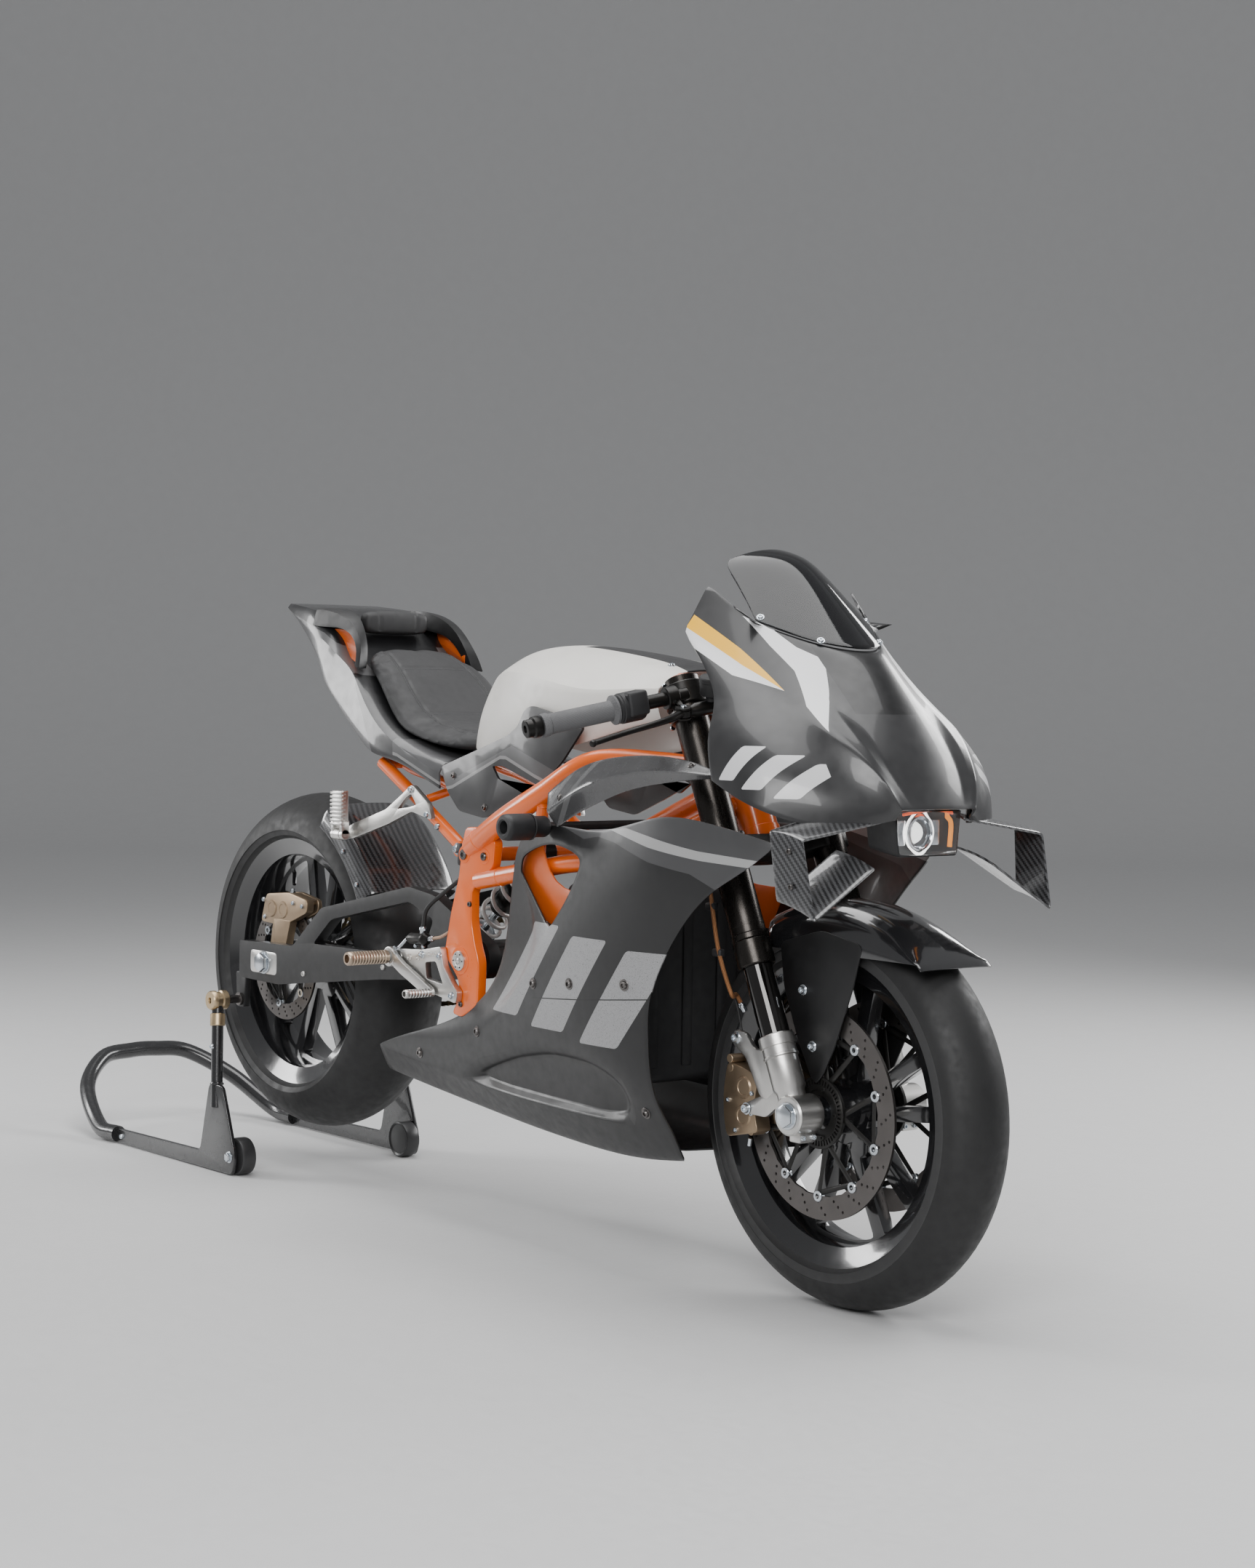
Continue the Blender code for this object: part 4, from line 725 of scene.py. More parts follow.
def make_disc(node, outer, track, hub_r, bobbins):
    low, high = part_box(node)
    axle = middle(node)
    centre = (axle.x, axle.z)
    inner = outer - track
    half_y = (low.y + high.y) / 2
    rows = ((0.24, 0), (0.50, 3.0), (0.76, 6.0))
    holes = [arc(around(centre, inner + track * share, 15 * k + lead), 0.0024, 0, 315, 8)
             for share, lead in rows for k in range(24)]
    ring = bmesh.new()
    wave = [around(centre, inner + 0.0015 * (k % 2), 6 * k) for k in range(60)]
    plate(ring, [arc(centre, outer, 0, 356.25, 96), wave, *holes], low.y + 0.0004, high.y - 0.0004,
          bevel=0)
    piece(node + "_ring", ring, node, DISC_STEEL, smooth=30)
    carrier = bmesh.new()
    seat_r = inner - 0.004
    tube_ring(carrier, (axle.x, low.y, axle.z), (axle.x, high.y, axle.z), hub_r, 0.025, 48)
    step = 360 / bobbins
    for k in range(bobbins):
        angle = step * k + 18
        foot = around(centre, hub_r - 0.004, angle + step * (0.42 if k % 2 else -0.42))
        tip = around(centre, seat_r, angle)
        swept(carrier, [Vector((x, half_y, z)) for x, z in (foot, tip)], [0.0050, 0.0042], 8,
              width=0.42)
        if k % 2 == 0:
            across = around(centre, seat_r, angle - step * 0.98)
            swept(carrier, [Vector((x, half_y, z)) for x, z in (tip, across)], 0.0040, 8,
                  width=0.42)
    piece(node + "_carrier", carrier, node, CARRIER_BLACK, replaces=False)
    buttons = bmesh.new()
    for k in range(bobbins):
        x, z = around(centre, inner + 0.001, step * k + 18)
        for end, out in ((low.y, -1), (high.y, 1)):
            tube_ring(buttons, (x, end - out * 0.001, z), (x, end + out * 0.0018, z), 0.0085, 0.0040,
                      20, 0.0008)
    piece(node + "_bobbins", buttons, node, BRIGHT_STEEL, replaces=False)


make_disc("front_disc_right", 0.160, 0.036, 0.052, 10)
make_disc("front_disc_left", 0.160, 0.036, 0.052, 10)
make_disc("rear_disc", 0.110, 0.030, 0.040, 6)

# %% [markdown]
# A slotted ring by the right-hand disc gives the wheel's speed to a sensor.  Its teeth are
# one small block, repeated round the axle.

# %% Speed sensor ring
ring = bmesh.new()
ring_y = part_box("front_disc_right")[0].y
for outer, inner in ((0.054, 0.050), (0.042, 0.034)):
    tube_ring(ring, FRONT_AXLE + Vector((0, ring_y - 0.0005, 0)),
              FRONT_AXLE + Vector((0, ring_y - 0.003, 0)), outer, inner, 64, 0.0003)
TEETH = 48
for k in range(TEETH):
    spin = Matrix.Translation(FRONT_AXLE) @ Matrix.Rotation(tau * k / TEETH, 4, 'Y')
    block(ring, (0.0415, ring_y - 0.0028, -0.0016), (0.0505, ring_y - 0.0008, 0.0016), 0, 1, spin)
for k in range(5):
    spot = FRONT_AXLE + Vector((0.038 * cos(tau * k / 5), ring_y - 0.003, 0.038 * sin(tau * k / 5)))
    bolt(ring, spot, (0, -1, 0), 0.0042, 0.003)
piece("speed_sensor_ring", ring, "front_disc_right", CARRIER_BLACK, replaces=False)

# %% [markdown]
# ## Front end
# An upside-down fork: the thick outer tubes hang from the clamps and the thin stanchions
# slide in them.  Each leg ends in a machined foot that clamps the axle.

# %% Fork tubes
def make_fork_tube(word, side):
    bm = bmesh.new()
    low, high = 0.230, 0.7005
    for start, end, radius, chamfer in ((low + 0.050, high, 0.0270, 0.001),
                                        (low, low + 0.040, 0.0294, 0.0016),
                                        (low + 0.0405, low + 0.0500, 0.0282, 0.001),
                                        (low + 0.062, low + 0.066, 0.0274, 0.0003)):
        tube_ring(bm, fork_at(side, start), fork_at(side, end), radius, 0.0231, 48, chamfer)
    piece(f"fork_tube_{word}_turned", bm, f"fork_tube_{word}", FORK_BLACK)
    cap = bmesh.new()
    top = fork_at(side, high - 0.004)
    tube_ring(cap, top, top + STEER_UP * 0.006, 0.0225, 0.010, 40, 0.001)
    hexagon(cap, top, STEER_UP, 0.0105, 0.0100)
    rod(cap, top + STEER_UP * 0.008, top + STEER_UP * 0.013, 0.0045, 16)
    piece(f"fork_cap_{word}", cap, f"fork_tube_{word}", ORANGE, False)


for_each_side(make_fork_tube)

# %% [markdown]
# The foot is spun in four steps, as it would be on a lathe; the axle clamp, its split lug and
# the caliper's arm are then added to it.

# %% Fork legs
AXLE_WAY = Vector((0, 1, 0))
GLOSS_STANCHION = surface("black_stanchion", (0.012, 0.010, 0.009), 0.06, metallic=0.85,
                          coat=1.0, drift=0.05, grain=(30, 0.00002))


def make_fork_leg(word, side):
    stanchion = bmesh.new()
    rod(stanchion, fork_at(side, 0.09), fork_at(side, 0.42), 0.0225, 48)
    piece(f"stanchion_{word}", stanchion, f"fork_leg_{word}", GLOSS_STANCHION, False)
    bm = bmesh.new()
    turned(bm, fork_at(side, 0.004), STEER_UP,
           [(0, 0), (0.018, 0), (0.0215, 0.004), (0.0215, 0.030), (0.0250, 0.036),
            (0.0250, 0.082), (0.0272, 0.0835), (0.0272, 0.0860), (0.0258, 0.0868),
            (0.0258, 0.0990), (0.0275, 0.1000), (0.0275, 0.1160), (0.0262, 0.1175),
            (0.0228, 0.1180), (0, 0.1180)], 48)
    inner, outer = side * 0.0805, side * 0.1295
    hub = FRONT_AXLE + AXLE_WAY * inner
    tube_ring(bm, hub, FRONT_AXLE + AXLE_WAY * outer, 0.030, 0.0135, 48, 0.0025)
    lug = FRONT_AXLE + Vector((0.004, 0, -0.030))
    block(bm, lug + Vector((-0.011, min(inner, outer) + 0.010, -0.010)),
          lug + Vector((0.013, max(inner, outer) - 0.006, 0.006)), 0.003)
    arm = on_rear([(1.432, 0.338), (1.402, 0.312), (1.386, 0.316), (1.352, 0.372), (1.322, 0.388),
                   (1.318, 0.402), (1.330, 0.412), (1.352, 0.408), (1.374, 0.384),
                   (1.418, 0.396)])
    plate(bm, [rounded(arm, 0.010)], *sorted((side * 0.0988, side * 0.1080)), bevel=0.0022)
    low_arm = on_rear([(1.440, 0.316), (1.400, 0.286), (1.352, 0.287), (1.347, 0.300),
                       (1.400, 0.322), (1.430, 0.345)])
    plate(bm, [rounded(low_arm, 0.007)], *sorted((side * 0.0988, side * 0.1070)), bevel=0.002)
    piece(f"fork_foot_{word}", bm, f"fork_leg_{word}", MACHINED)
    screws = bmesh.new()
    for x, z in ((1.331, 0.399), (1.357, 0.2945)):
        bolt(screws, at(x, side * 0.1078, z), AXLE_WAY * side, 0.0075, 0.006, 20)
        tube_ring(screws, at(x, side * 0.1075, z), at(x, side * 0.1090, z), 0.0095, 0.005, 20)
    for offset in (-0.010, 0.010):
        pinch = lug + Vector((0.013, side * (0.1035 + offset), -0.002))
        bolt(screws, pinch, (1, 0, 0), 0.0045, 0.004)
    piece(f"fork_foot_screws_{word}", screws, f"fork_leg_{word}", BRIGHT_STEEL, False)


for_each_side(make_fork_leg)

# %% [markdown]
# The axle shows only as a big hexagon on the right and a plain hexagon socket on the left.

# %% Front axle
bm = bmesh.new()
rod(bm, FRONT_AXLE - AXLE_WAY * 0.131, FRONT_AXLE + AXLE_WAY * 0.1365, 0.0125, 40)
tube_ring(bm, FRONT_AXLE - AXLE_WAY * 0.1298, FRONT_AXLE - AXLE_WAY * 0.1315, 0.0205, 0.0126, 40)
hexagon(bm, FRONT_AXLE - AXLE_WAY * 0.1300, -AXLE_WAY, 0.0178, 0.0088)
for side in (-1, 1):
    tube_ring(bm, FRONT_AXLE + AXLE_WAY * side * 0.0670, FRONT_AXLE + AXLE_WAY * side * 0.0797,
              0.0175, 0.0126, 40)
piece("front_axle_bolt", bm, "front_axle", BRIGHT_STEEL)

# %% [markdown]
# A radial caliper: two bronze halves over the disc, with the piston bores as round bosses,
# a rib along the back, the pad pins and a bleed nipple.  The slot for the disc is left
# open between the halves.

# %% Front calipers
def make_caliper(word, side):
    node = f"front_caliper_{word}"
    centre = (FRONT_AXLE.x, FRONT_AXLE.z)
    outline = arc(centre, 0.184, 161, 198, 7) + arc(centre, 0.112, 202, 157, 6)
    web = arc(centre, 0.186, 163, 196, 7) + arc(centre, 0.170, 196, 163, 6)
    disc_low, disc_high = (abs(v.y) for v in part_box(f"front_disc_{word}"))
    near, far = sorted((disc_low, disc_high))
    bm = bmesh.new()
    plate(bm, [rounded(outline, 0.008)], *sorted((side * (far + 0.002), side * 0.0965)), bevel=0.004,
          segments=3)
    plate(bm, [rounded(outline, 0.008)], *sorted((side * 0.0470, side * (near - 0.002))),
          bevel=0.003, segments=3)
    plate(bm, [rounded(web, 0.004)], *sorted((side * 0.0480, side * 0.0950)), bevel=0.003, segments=3)
    for angle in (170.5, 188.5):
        x, z = around(centre, 0.139, angle)
        turned(bm, (x, side * 0.090, z), AXLE_WAY * side,
               [(0, 0), (0.0175, 0), (0.0175, 0.0065), (0.0155, 0.0088), (0.0120, 0.0088),
                (0.0110, 0.0078), (0, 0.0078)], 36)
    for angle, length in ((158.5, 0.030), (163.5, 0.020), (199.0, 0.018)):
        x, z = around(centre, 0.176 if angle < 190 else 0.128, angle)
        rod(bm, (x, side * 0.070, z), (x, side * (0.085 + length * 0.6), z), 0.0068, 24)
    rod(bm, at(1.2935, side * 0.062, 0.318), at(1.2935, side * 0.094, 0.318), 0.0050, 16)
    piece(node + "_body", bm, node, BRONZE, smooth=40)
    pins = bmesh.new()
    for radius, angle in ((0.172, 180), (0.118, 172), (0.118, 187), (0.160, 196)):
        x, z = around(centre, radius, angle)
        bolt(pins, (x, side * 0.0962, z), AXLE_WAY * side, 0.0042, 0.0032, 16)
    x, z = around(centre, 0.150, 202)
    rod(pins, (x, side * 0.080, z), (x - 0.002, side * 0.080, z - 0.012), 0.0035, 12)
    piece(node + "_pins", pins, node, BRIGHT_STEEL, False)


for_each_side(make_caliper)

# %% [markdown]
# The front mudguard is a thin moulded shell.  A strip of its section is swept round the
# axle; it is pointed in front, folds down at the sides, and carries a flat cheek that the
# fork bolts to.

# %% Front mudguard
GUARD_EDGE_Z = 0.538             # the painted shell ends at this height on both sides
GUARD_R = 0.3165


def guard_section(angle):
    """One section of the shell, from its right edge over the crown to the left."""
    edge = min(GUARD_R - 0.003, (GUARD_EDGE_Z - FRONT_AXLE.z) / sin(angle))
    row = []
    for k in range(-8, 9):
        turn_by = radians(90) * k / 8
        y = 0.0722 * (1 if k > 0 else -1) * abs(sin(turn_by)) ** 0.75
        r = edge + (GUARD_R - edge) * cos(turn_by) ** 0.62 if abs(k) < 8 else edge
        row.append(FRONT_AXLE + Vector((r * cos(angle), y, r * sin(angle))))
    return row


def make_front_guard():
    bm = bmesh.new()
    rows = [guard_section(radians(47 + 67 * k / 30)) for k in range(31)]
    skin(bm, rows, inside=FRONT_AXLE)
    obj = piece("front_fender_shell", bm, "front_fender", GLOSS_BLACK)
    wall(obj, 0.0028)
    cheeks = bmesh.new()
    outline = on_rear([(1.388, 0.548), (1.398, 0.480), (1.432, 0.402), (1.462, 0.350), (1.474, 0.343),
                       (1.488, 0.358), (1.512, 0.402), (1.548, 0.490), (1.568, 0.556), (1.480, 0.572)])
    for side in (-1, 1):
        plate(cheeks, [rounded(outline, 0.012)], *sorted((side * 0.0700, side * 0.0730)), bevel=0.001)
    piece("front_fender_cheeks", cheeks, "front_fender", MATTE_BLACK, False)
    screws = bmesh.new()
    for x, z in ((1.441, 0.480), (1.464, 0.398)):
        for side in (-1, 1):
            tube_ring(screws, at(x, side * 0.0728, z), at(x, side * 0.0742, z), 0.0085, 0.004, 24)
            bolt(screws, at(x, side * 0.0738, z), AXLE_WAY * side, 0.0060, 0.0050, 18)
    piece("front_fender_screws", screws, "front_fender", BRIGHT_STEEL, False)


make_front_guard()

# %% [markdown]
# The clamps are machined plates.  Their outline narrows between the legs and each ear is
# split and pinched with two screws.

# %% Fork clamps
def clamp_plate(bm, low, high, outline, bevel=0.003):
    """A plate square to the steering axis; outline points are (ahead, y)."""
    before = set(bm.verts)
    plate(bm, [outline], -high, -low, bevel)
    made = [v for v in bm.verts if v not in before]
    for v in made:
        ahead, along, y = v.co.x, -v.co.y, v.co.z
        v.co = STEER_FOOT + STEER_AHEAD * ahead + STEER_UP * along + Vector((0, y, 0))
    bmesh.ops.reverse_faces(bm, faces=list({f for v in made for f in v.link_faces}))


def clamp_outline(front):
    half = [(front, 0.0), (front, 0.062), (0.052, 0.080)]
    half += [(FORK_OFFSET + 0.0325 * cos(radians(a)), FORK_Y + 0.0325 * sin(radians(a)))
             for a in range(50, 181, 20)]
    half += [(-0.022, 0.070), (-0.034, 0.030)]
    return half + [(x, -y) for x, y in half[:0:-1]]


for node, low, high, front in (("lower_clamp", 0.412, 0.442, 0.034), ("top_clamp", 0.630, 0.648, 0.040)):
    bm = bmesh.new()
    clamp_plate(bm, low, high, rounded(clamp_outline(front), 0.004, 3))
    if node == "lower_clamp":
        rod(bm, STEER_FOOT + STEER_UP * low, STEER_FOOT + STEER_UP * 0.664, 0.0158, 32)
    piece(node + "_plate", bm, node, ANODISED)
    screws = bmesh.new()
    for side in (-1, 1):
        for along in ((low + high) / 2 - 0.006, (low + high) / 2 + 0.006):
            bolt(screws, fork_at(side, along, -0.0035, FORK_Y + 0.012), -STEER_AHEAD, 0.0042, 0.004)
    if node == "top_clamp":
        hexagon(screws, STEER_FOOT + STEER_UP * high, STEER_UP, 0.0190, 0.0120)
    piece(node + "_screws", screws, node, BRIGHT_STEEL, False)

# %% [markdown]
# Clip-on handlebars clamp straight to the fork tubes.  The throttle grip has a fine diamond
# knurl, made in its material by two families of lines that wind round it both ways.

# %% Handlebars
GRIP_IN, GRIP_OUT = at(1.1900, -0.240, 0.8920), at(1.1627, -0.360, 0.8665)
BAR_WAY = (GRIP_OUT - GRIP_IN).normalized()


def mirrored(point, side):
    """A right-hand point, or the same on the left."""
    return Vector((point.x, point.y if side < 0 else -point.y, point.z))


def knurled(name, colour, start, way):
    """A grip rubber: diamonds from two sets of lines wound round the bar."""
    m = surface(name, colour, 0.62, drift=0.06)
    axis = m.node_tree.nodes.new("ShaderNodeTexCoord")
    turn_to_axis = m.node_tree.nodes.new("ShaderNodeMapping")
    turn_to_axis.vector_type = 'TEXTURE'
    turn_to_axis.inputs["Location"].default_value = start
    turn_to_axis.inputs["Rotation"].default_value = way.to_track_quat('Z', 'Y').to_euler()
    m.node_tree.links.new(axis.outputs["Object"], turn_to_axis.inputs["Vector"])
    x, y, z = parts_of(m, turn_to_axis.outputs["Vector"])
    round_bar = maths(m, 'MULTIPLY', maths(m, 'ARCTAN2', y, x), 22.0)
    along_bar = maths(m, 'MULTIPLY', z, 1300.0)
    first = maths(m, 'SINE', maths(m, 'ADD', round_bar, along_bar))
    second = maths(m, 'SINE', maths(m, 'SUBTRACT', round_bar, along_bar))
    height = maths(m, 'MAXIMUM', first, second)
    raise_bump(m, spread(m, height, 0.0, 1.0), 0.0006, 0.6)
    return m


KNURL_RIGHT = knurled("grip_knurl_right", (0.105, 0.105, 0.108), GRIP_IN, BAR_WAY)
KNURL_LEFT = knurled("grip_knurl_left", (0.105, 0.105, 0.108), mirrored(GRIP_IN, 1),
                     mirrored(BAR_WAY, 1))


def grip_form(bm, side):
    """The rubber sleeve with its end collars."""
    way = mirrored(BAR_WAY, side)
    start, length = mirrored(GRIP_IN, side), (GRIP_OUT - GRIP_IN).length
    gap = 0.0005                 # between the sleeve's ends and what is beside them
    turned(bm, start + way * gap, way,
           [(0.0114, 0), (0.0230, 0), (0.0230, 0.0035), (0.0185, 0.0060), (0.0158, 0.0080),
            (0.0158, length - 0.014), (0.0180, length - 0.012), (0.0180, length - 0.0045),
            (0.0170, length - 2 * gap), (0.0114, length - 2 * gap)], 48, closed=True)


bm = bmesh.new()
grip_form(bm, -1)
piece("throttle_grip_rubber", bm, "throttle_grip", KNURL_RIGHT)
bm = bmesh.new()
grip_form(bm, 1)
piece("left_grip_rubber", bm, "handlebar_left", KNURL_LEFT, False)


def make_bar(word, side):
    way = mirrored(BAR_WAY, side)
    inner, outer = mirrored(GRIP_IN, side), mirrored(GRIP_OUT, side)
    bm = bmesh.new()
    tube_ring(bm, fork_at(side, 0.6525), fork_at(side, 0.6880), 0.0345, 0.0272, 48, 0.0015)
    rod(bm, inner - way * 0.124, outer + way * 0.004, 0.0110, 32)
    turned(bm, outer + way * 0.0012, way,
           [(0, 0), (0.0150, 0), (0.0165, 0.002), (0.0165, 0.012), (0.0140, 0.0145),
            (0.0140, 0.0235), (0.0125, 0.0247), (0.0060, 0.0247), (0.0055, 0.021), (0, 0.021)], 40)
    piece(f"handlebar_{word}_bar", bm, f"handlebar_{word}", ANODISED)
    pod = bmesh.new()
    start = inner - way * 0.046
    tube_ring(pod, start, inner - way * 0.0012, 0.0225, 0.0111, 40, 0.0025)
    tube_ring(pod, start + way * 0.004, inner - way * 0.006, 0.0238, 0.0111, 40, 0.002)
    block(pod, (-0.015, -0.019, -0.020), (0.015, 0.019, 0.014), 0.005, 3,
          Matrix.Translation(start + way * 0.022 + STEER_AHEAD * 0.012) @ facing((0, 0, 0), way))
    for lift in (-0.012, 0.010):
        bolt(pod, start + way * 0.022 - STEER_AHEAD * 0.0225 + STEER_UP * lift, -STEER_AHEAD,
             0.0035, 0.003)
    piece(f"control_pod_{word}", pod, f"handlebar_{word}", MOULDED, False)
    buttons = bmesh.new()
    for lift, ahead in ((0.018, -0.004), (0.016, 0.010)):
        place = start + way * 0.018 + STEER_UP * lift - STEER_AHEAD * ahead
        block(buttons, place - Vector((0.004, 0.006, 0.002)), place + Vector((0.004, 0.006, 0.004)),
              0.0015)
    piece(f"control_buttons_{word}", buttons, f"handlebar_{word}",
          ORANGE if side < 0 else SATIN_GREY, False)


for_each_side(make_bar)

# %% [markdown]
# The front brake's master cylinder sits inboard of the throttle, with its small reservoir on
# top; on the left a clutch-side perch and lever mirror it.  The lever blade is swept along a
# bowed line and flattened, and it ends in a ball.

# %% Levers and master cylinder
LEVER_PIVOT, LEVER_TIP = at(1.243, -0.150, 0.889), at(1.268, -0.345, 0.842)
LEVER_WAY = (LEVER_TIP - LEVER_PIVOT).normalized()
LEVER_PIN = LEVER_WAY.cross(Vector((1, 0, -0.25))).normalized()


def lever_blade(bm, side, tip=LEVER_TIP):
    bow = Vector((0.012, 0, 0))
    points = [LEVER_PIVOT - LEVER_WAY * 0.004, LEVER_PIVOT + LEVER_WAY * 0.05 + bow,
              LEVER_PIVOT + LEVER_WAY * 0.13 + bow * 0.3, tip - LEVER_WAY * 0.006]
    route = smooth_route([mirrored(p, side) for p in points], 8)
    count = len(route)
    sizes = [0.0062 - 0.0022 * min(1, i / count * 1.6) for i in range(count)]
    swept(bm, route, sizes, 16, width=1.1)
    end = mirrored(tip - LEVER_WAY * 0.006, side)
    turned(bm, end - mirrored(LEVER_WAY, side) * 0.002, mirrored(LEVER_WAY, side),
           [(0, -0.002), (0.0045, 0), (0.0058, 0.004), (0.0045, 0.0075), (0, 0.0085)], 20)
    pin = mirrored(LEVER_PIN, side)
    rod(bm, mirrored(LEVER_PIVOT, side) - pin * 0.0060, mirrored(LEVER_PIVOT, side) + pin * 0.0060,
        0.0120, 28)


bm = bmesh.new()
lever_blade(bm, -1)
piece("brake_lever_blade", bm, "brake_lever", ANODISED)
bm = bmesh.new()
lever_blade(bm, 1)
piece("left_lever_blade", bm, "handlebar_left", ANODISED, False)


def make_perch(word, side):
    pivot, pin = mirrored(LEVER_PIVOT, side), mirrored(LEVER_PIN, side)
    way = mirrored(BAR_WAY, side)
    on_bar = mirrored(GRIP_IN - BAR_WAY * 0.095, side)
    bm = bmesh.new()
    tube_ring(bm, on_bar - way * 0.010, on_bar + way * 0.010, 0.0180, 0.0112, 32, 0.0015)
    ahead = (pivot - on_bar).normalized()
    swept(bm, [on_bar + ahead * 0.014, pivot - ahead * 0.010], [0.0095, 0.0085], 16)
    for lift in (-1, 1):
        rod(bm, pivot + pin * lift * 0.0064, pivot + pin * lift * 0.0095, 0.0125, 28)
    turned(bm, pivot - way * 0.070, way,
           [(0, 0), (0.0090, 0), (0.0100, 0.002), (0.0100, 0.010), (0.0112, 0.012), (0.0112, 0.050),
            (0.0085, 0.056), (0.0085, 0.060), (0, 0.060)], 28)
    piece(f"lever_perch_{word}", bm, f"handlebar_{word}", ANODISED, False)
    trim = bmesh.new()
    for lift in (-1, 1):
        bolt(trim, pivot + pin * lift * 0.0092, pin * lift, 0.0050, 0.0025)
    hexagon(trim, pivot - way * 0.071, -way, 0.0070, 0.0060)
    for lift in (-0.008, 0.008):
        bolt(trim, on_bar - ahead * 0.018 + pin * lift, -ahead, 0.0036, 0.0035)
    piece(f"perch_screws_{word}", trim, f"handlebar_{word}", BRIGHT_STEEL, False)
    if side < 0:
        pot = bmesh.new()
        foot = pivot - way * 0.048 + pin * 0.010
        turned(pot, foot, pin, [(0, 0), (0.0080, 0), (0.0080, 0.006), (0.0165, 0.010), (0.0175, 0.012),
                                (0.0175, 0.030), (0.0185, 0.031), (0.0185, 0.037), (0.0170, 0.0385),
                                (0, 0.0385)], 36)
        piece("brake_fluid_pot", pot, "handlebar_right", MOULDED, False)


for_each_side(make_perch)

# %% [markdown]
# ## Bodywork
# Each panel is a thin moulded skin.  A coarse cage gives its shape, the crease lines of the
# cage stay crisp when it is subdivided, and a wall gives it the thickness of the moulding.
# Cage points are (forward of the rear axle, half width, height).

# %% Panel helpers
def on_side(rows, side):
    """Cage rows moved into the frame, on one side of the bike."""
    return [[at(x, side * y, z) for x, y, z in row] for row in rows]


def across_middle(rows):
    """Rows from one side's edge to the middle, carried over to the other side's edge."""
    return [[at(x, -y, z) for x, y, z in row] + [at(x, y, z) for x, y, z in row[-2::-1]]
            for row in rows]


def both_halves(rows):
    """Lengthwise rows from one side's edge to the middle, then their mirror images."""
    return on_side(rows, -1) + on_side(rows[-2::-1], 1)


def touch(obj, start, way):
    """Where a ray meets a finished piece, and the surface's direction there."""
    bpy.context.view_layer.update()
    tree = BVHTree.FromObject(obj, bpy.context.evaluated_depsgraph_get())
    place, normal, _, _ = tree.ray_cast(Vector(start), Vector(way))
    return place, normal


def panel_screws(name, obj, node, places, way, radius=0.0065, height=0.0035, finish=None):
    """Screws with their washers, sat on a panel wherever a ray towards it lands."""
    bm = bmesh.new()
    for start in places:
        place, normal = touch(obj, start, way)
        if place is None:
            print(f"{name}: no panel at {tuple(round(c, 3) for c in start)}")
            continue
        if normal.dot(Vector(way)) > 0:
            normal = -normal
        tube_ring(bm, place - normal * 0.001, place + normal * 0.0009, radius * 1.45,
                  radius * 0.6, 28, 0.0003)
        bolt(bm, place + normal * 0.0006, normal, radius, height, 22)
    piece(name, bm, node, finish or DARK_STEEL, False)


def band(m, z, low, high):
    """1 between two heights."""
    return both(m, maths(m, 'GREATER_THAN', z, low), maths(m, 'LESS_THAN', z, high))


def slanted_bar(m, x, z, centre, half_long, half_tall, lean, radius=0.006):
    """1 inside a leaning bar with rounded corners."""
    v = maths(m, 'SUBTRACT', z, centre[1])
    u = maths(m, 'SUBTRACT', maths(m, 'SUBTRACT', x, centre[0]), maths(m, 'MULTIPLY', v, lean))
    squares = []
    for along, half in ((u, half_long), (v, half_tall)):
        past = maths(m, 'SUBTRACT', maths(m, 'ABSOLUTE', along), half - radius)
        past = maths(m, 'MAXIMUM', past, 0.0)
        squares.append(maths(m, 'MULTIPLY', past, past))
    return maths(m, 'LESS_THAN', maths(m, 'ADD', *squares), radius * radius)


def from_rear_axle(m):
    """Object coordinates measured forward from the rear axle."""
    return parts_of(m, placed(m, centre=(REAR_AXLE.x, 0, 0)))


# %% [markdown]
# The side fairing.  Its upper part carries two tones of grey, its flank a worn light
# graphic (three plain bars here), and its belly folds in under the motor.  There is a
# window over the frame and a scoop low down.

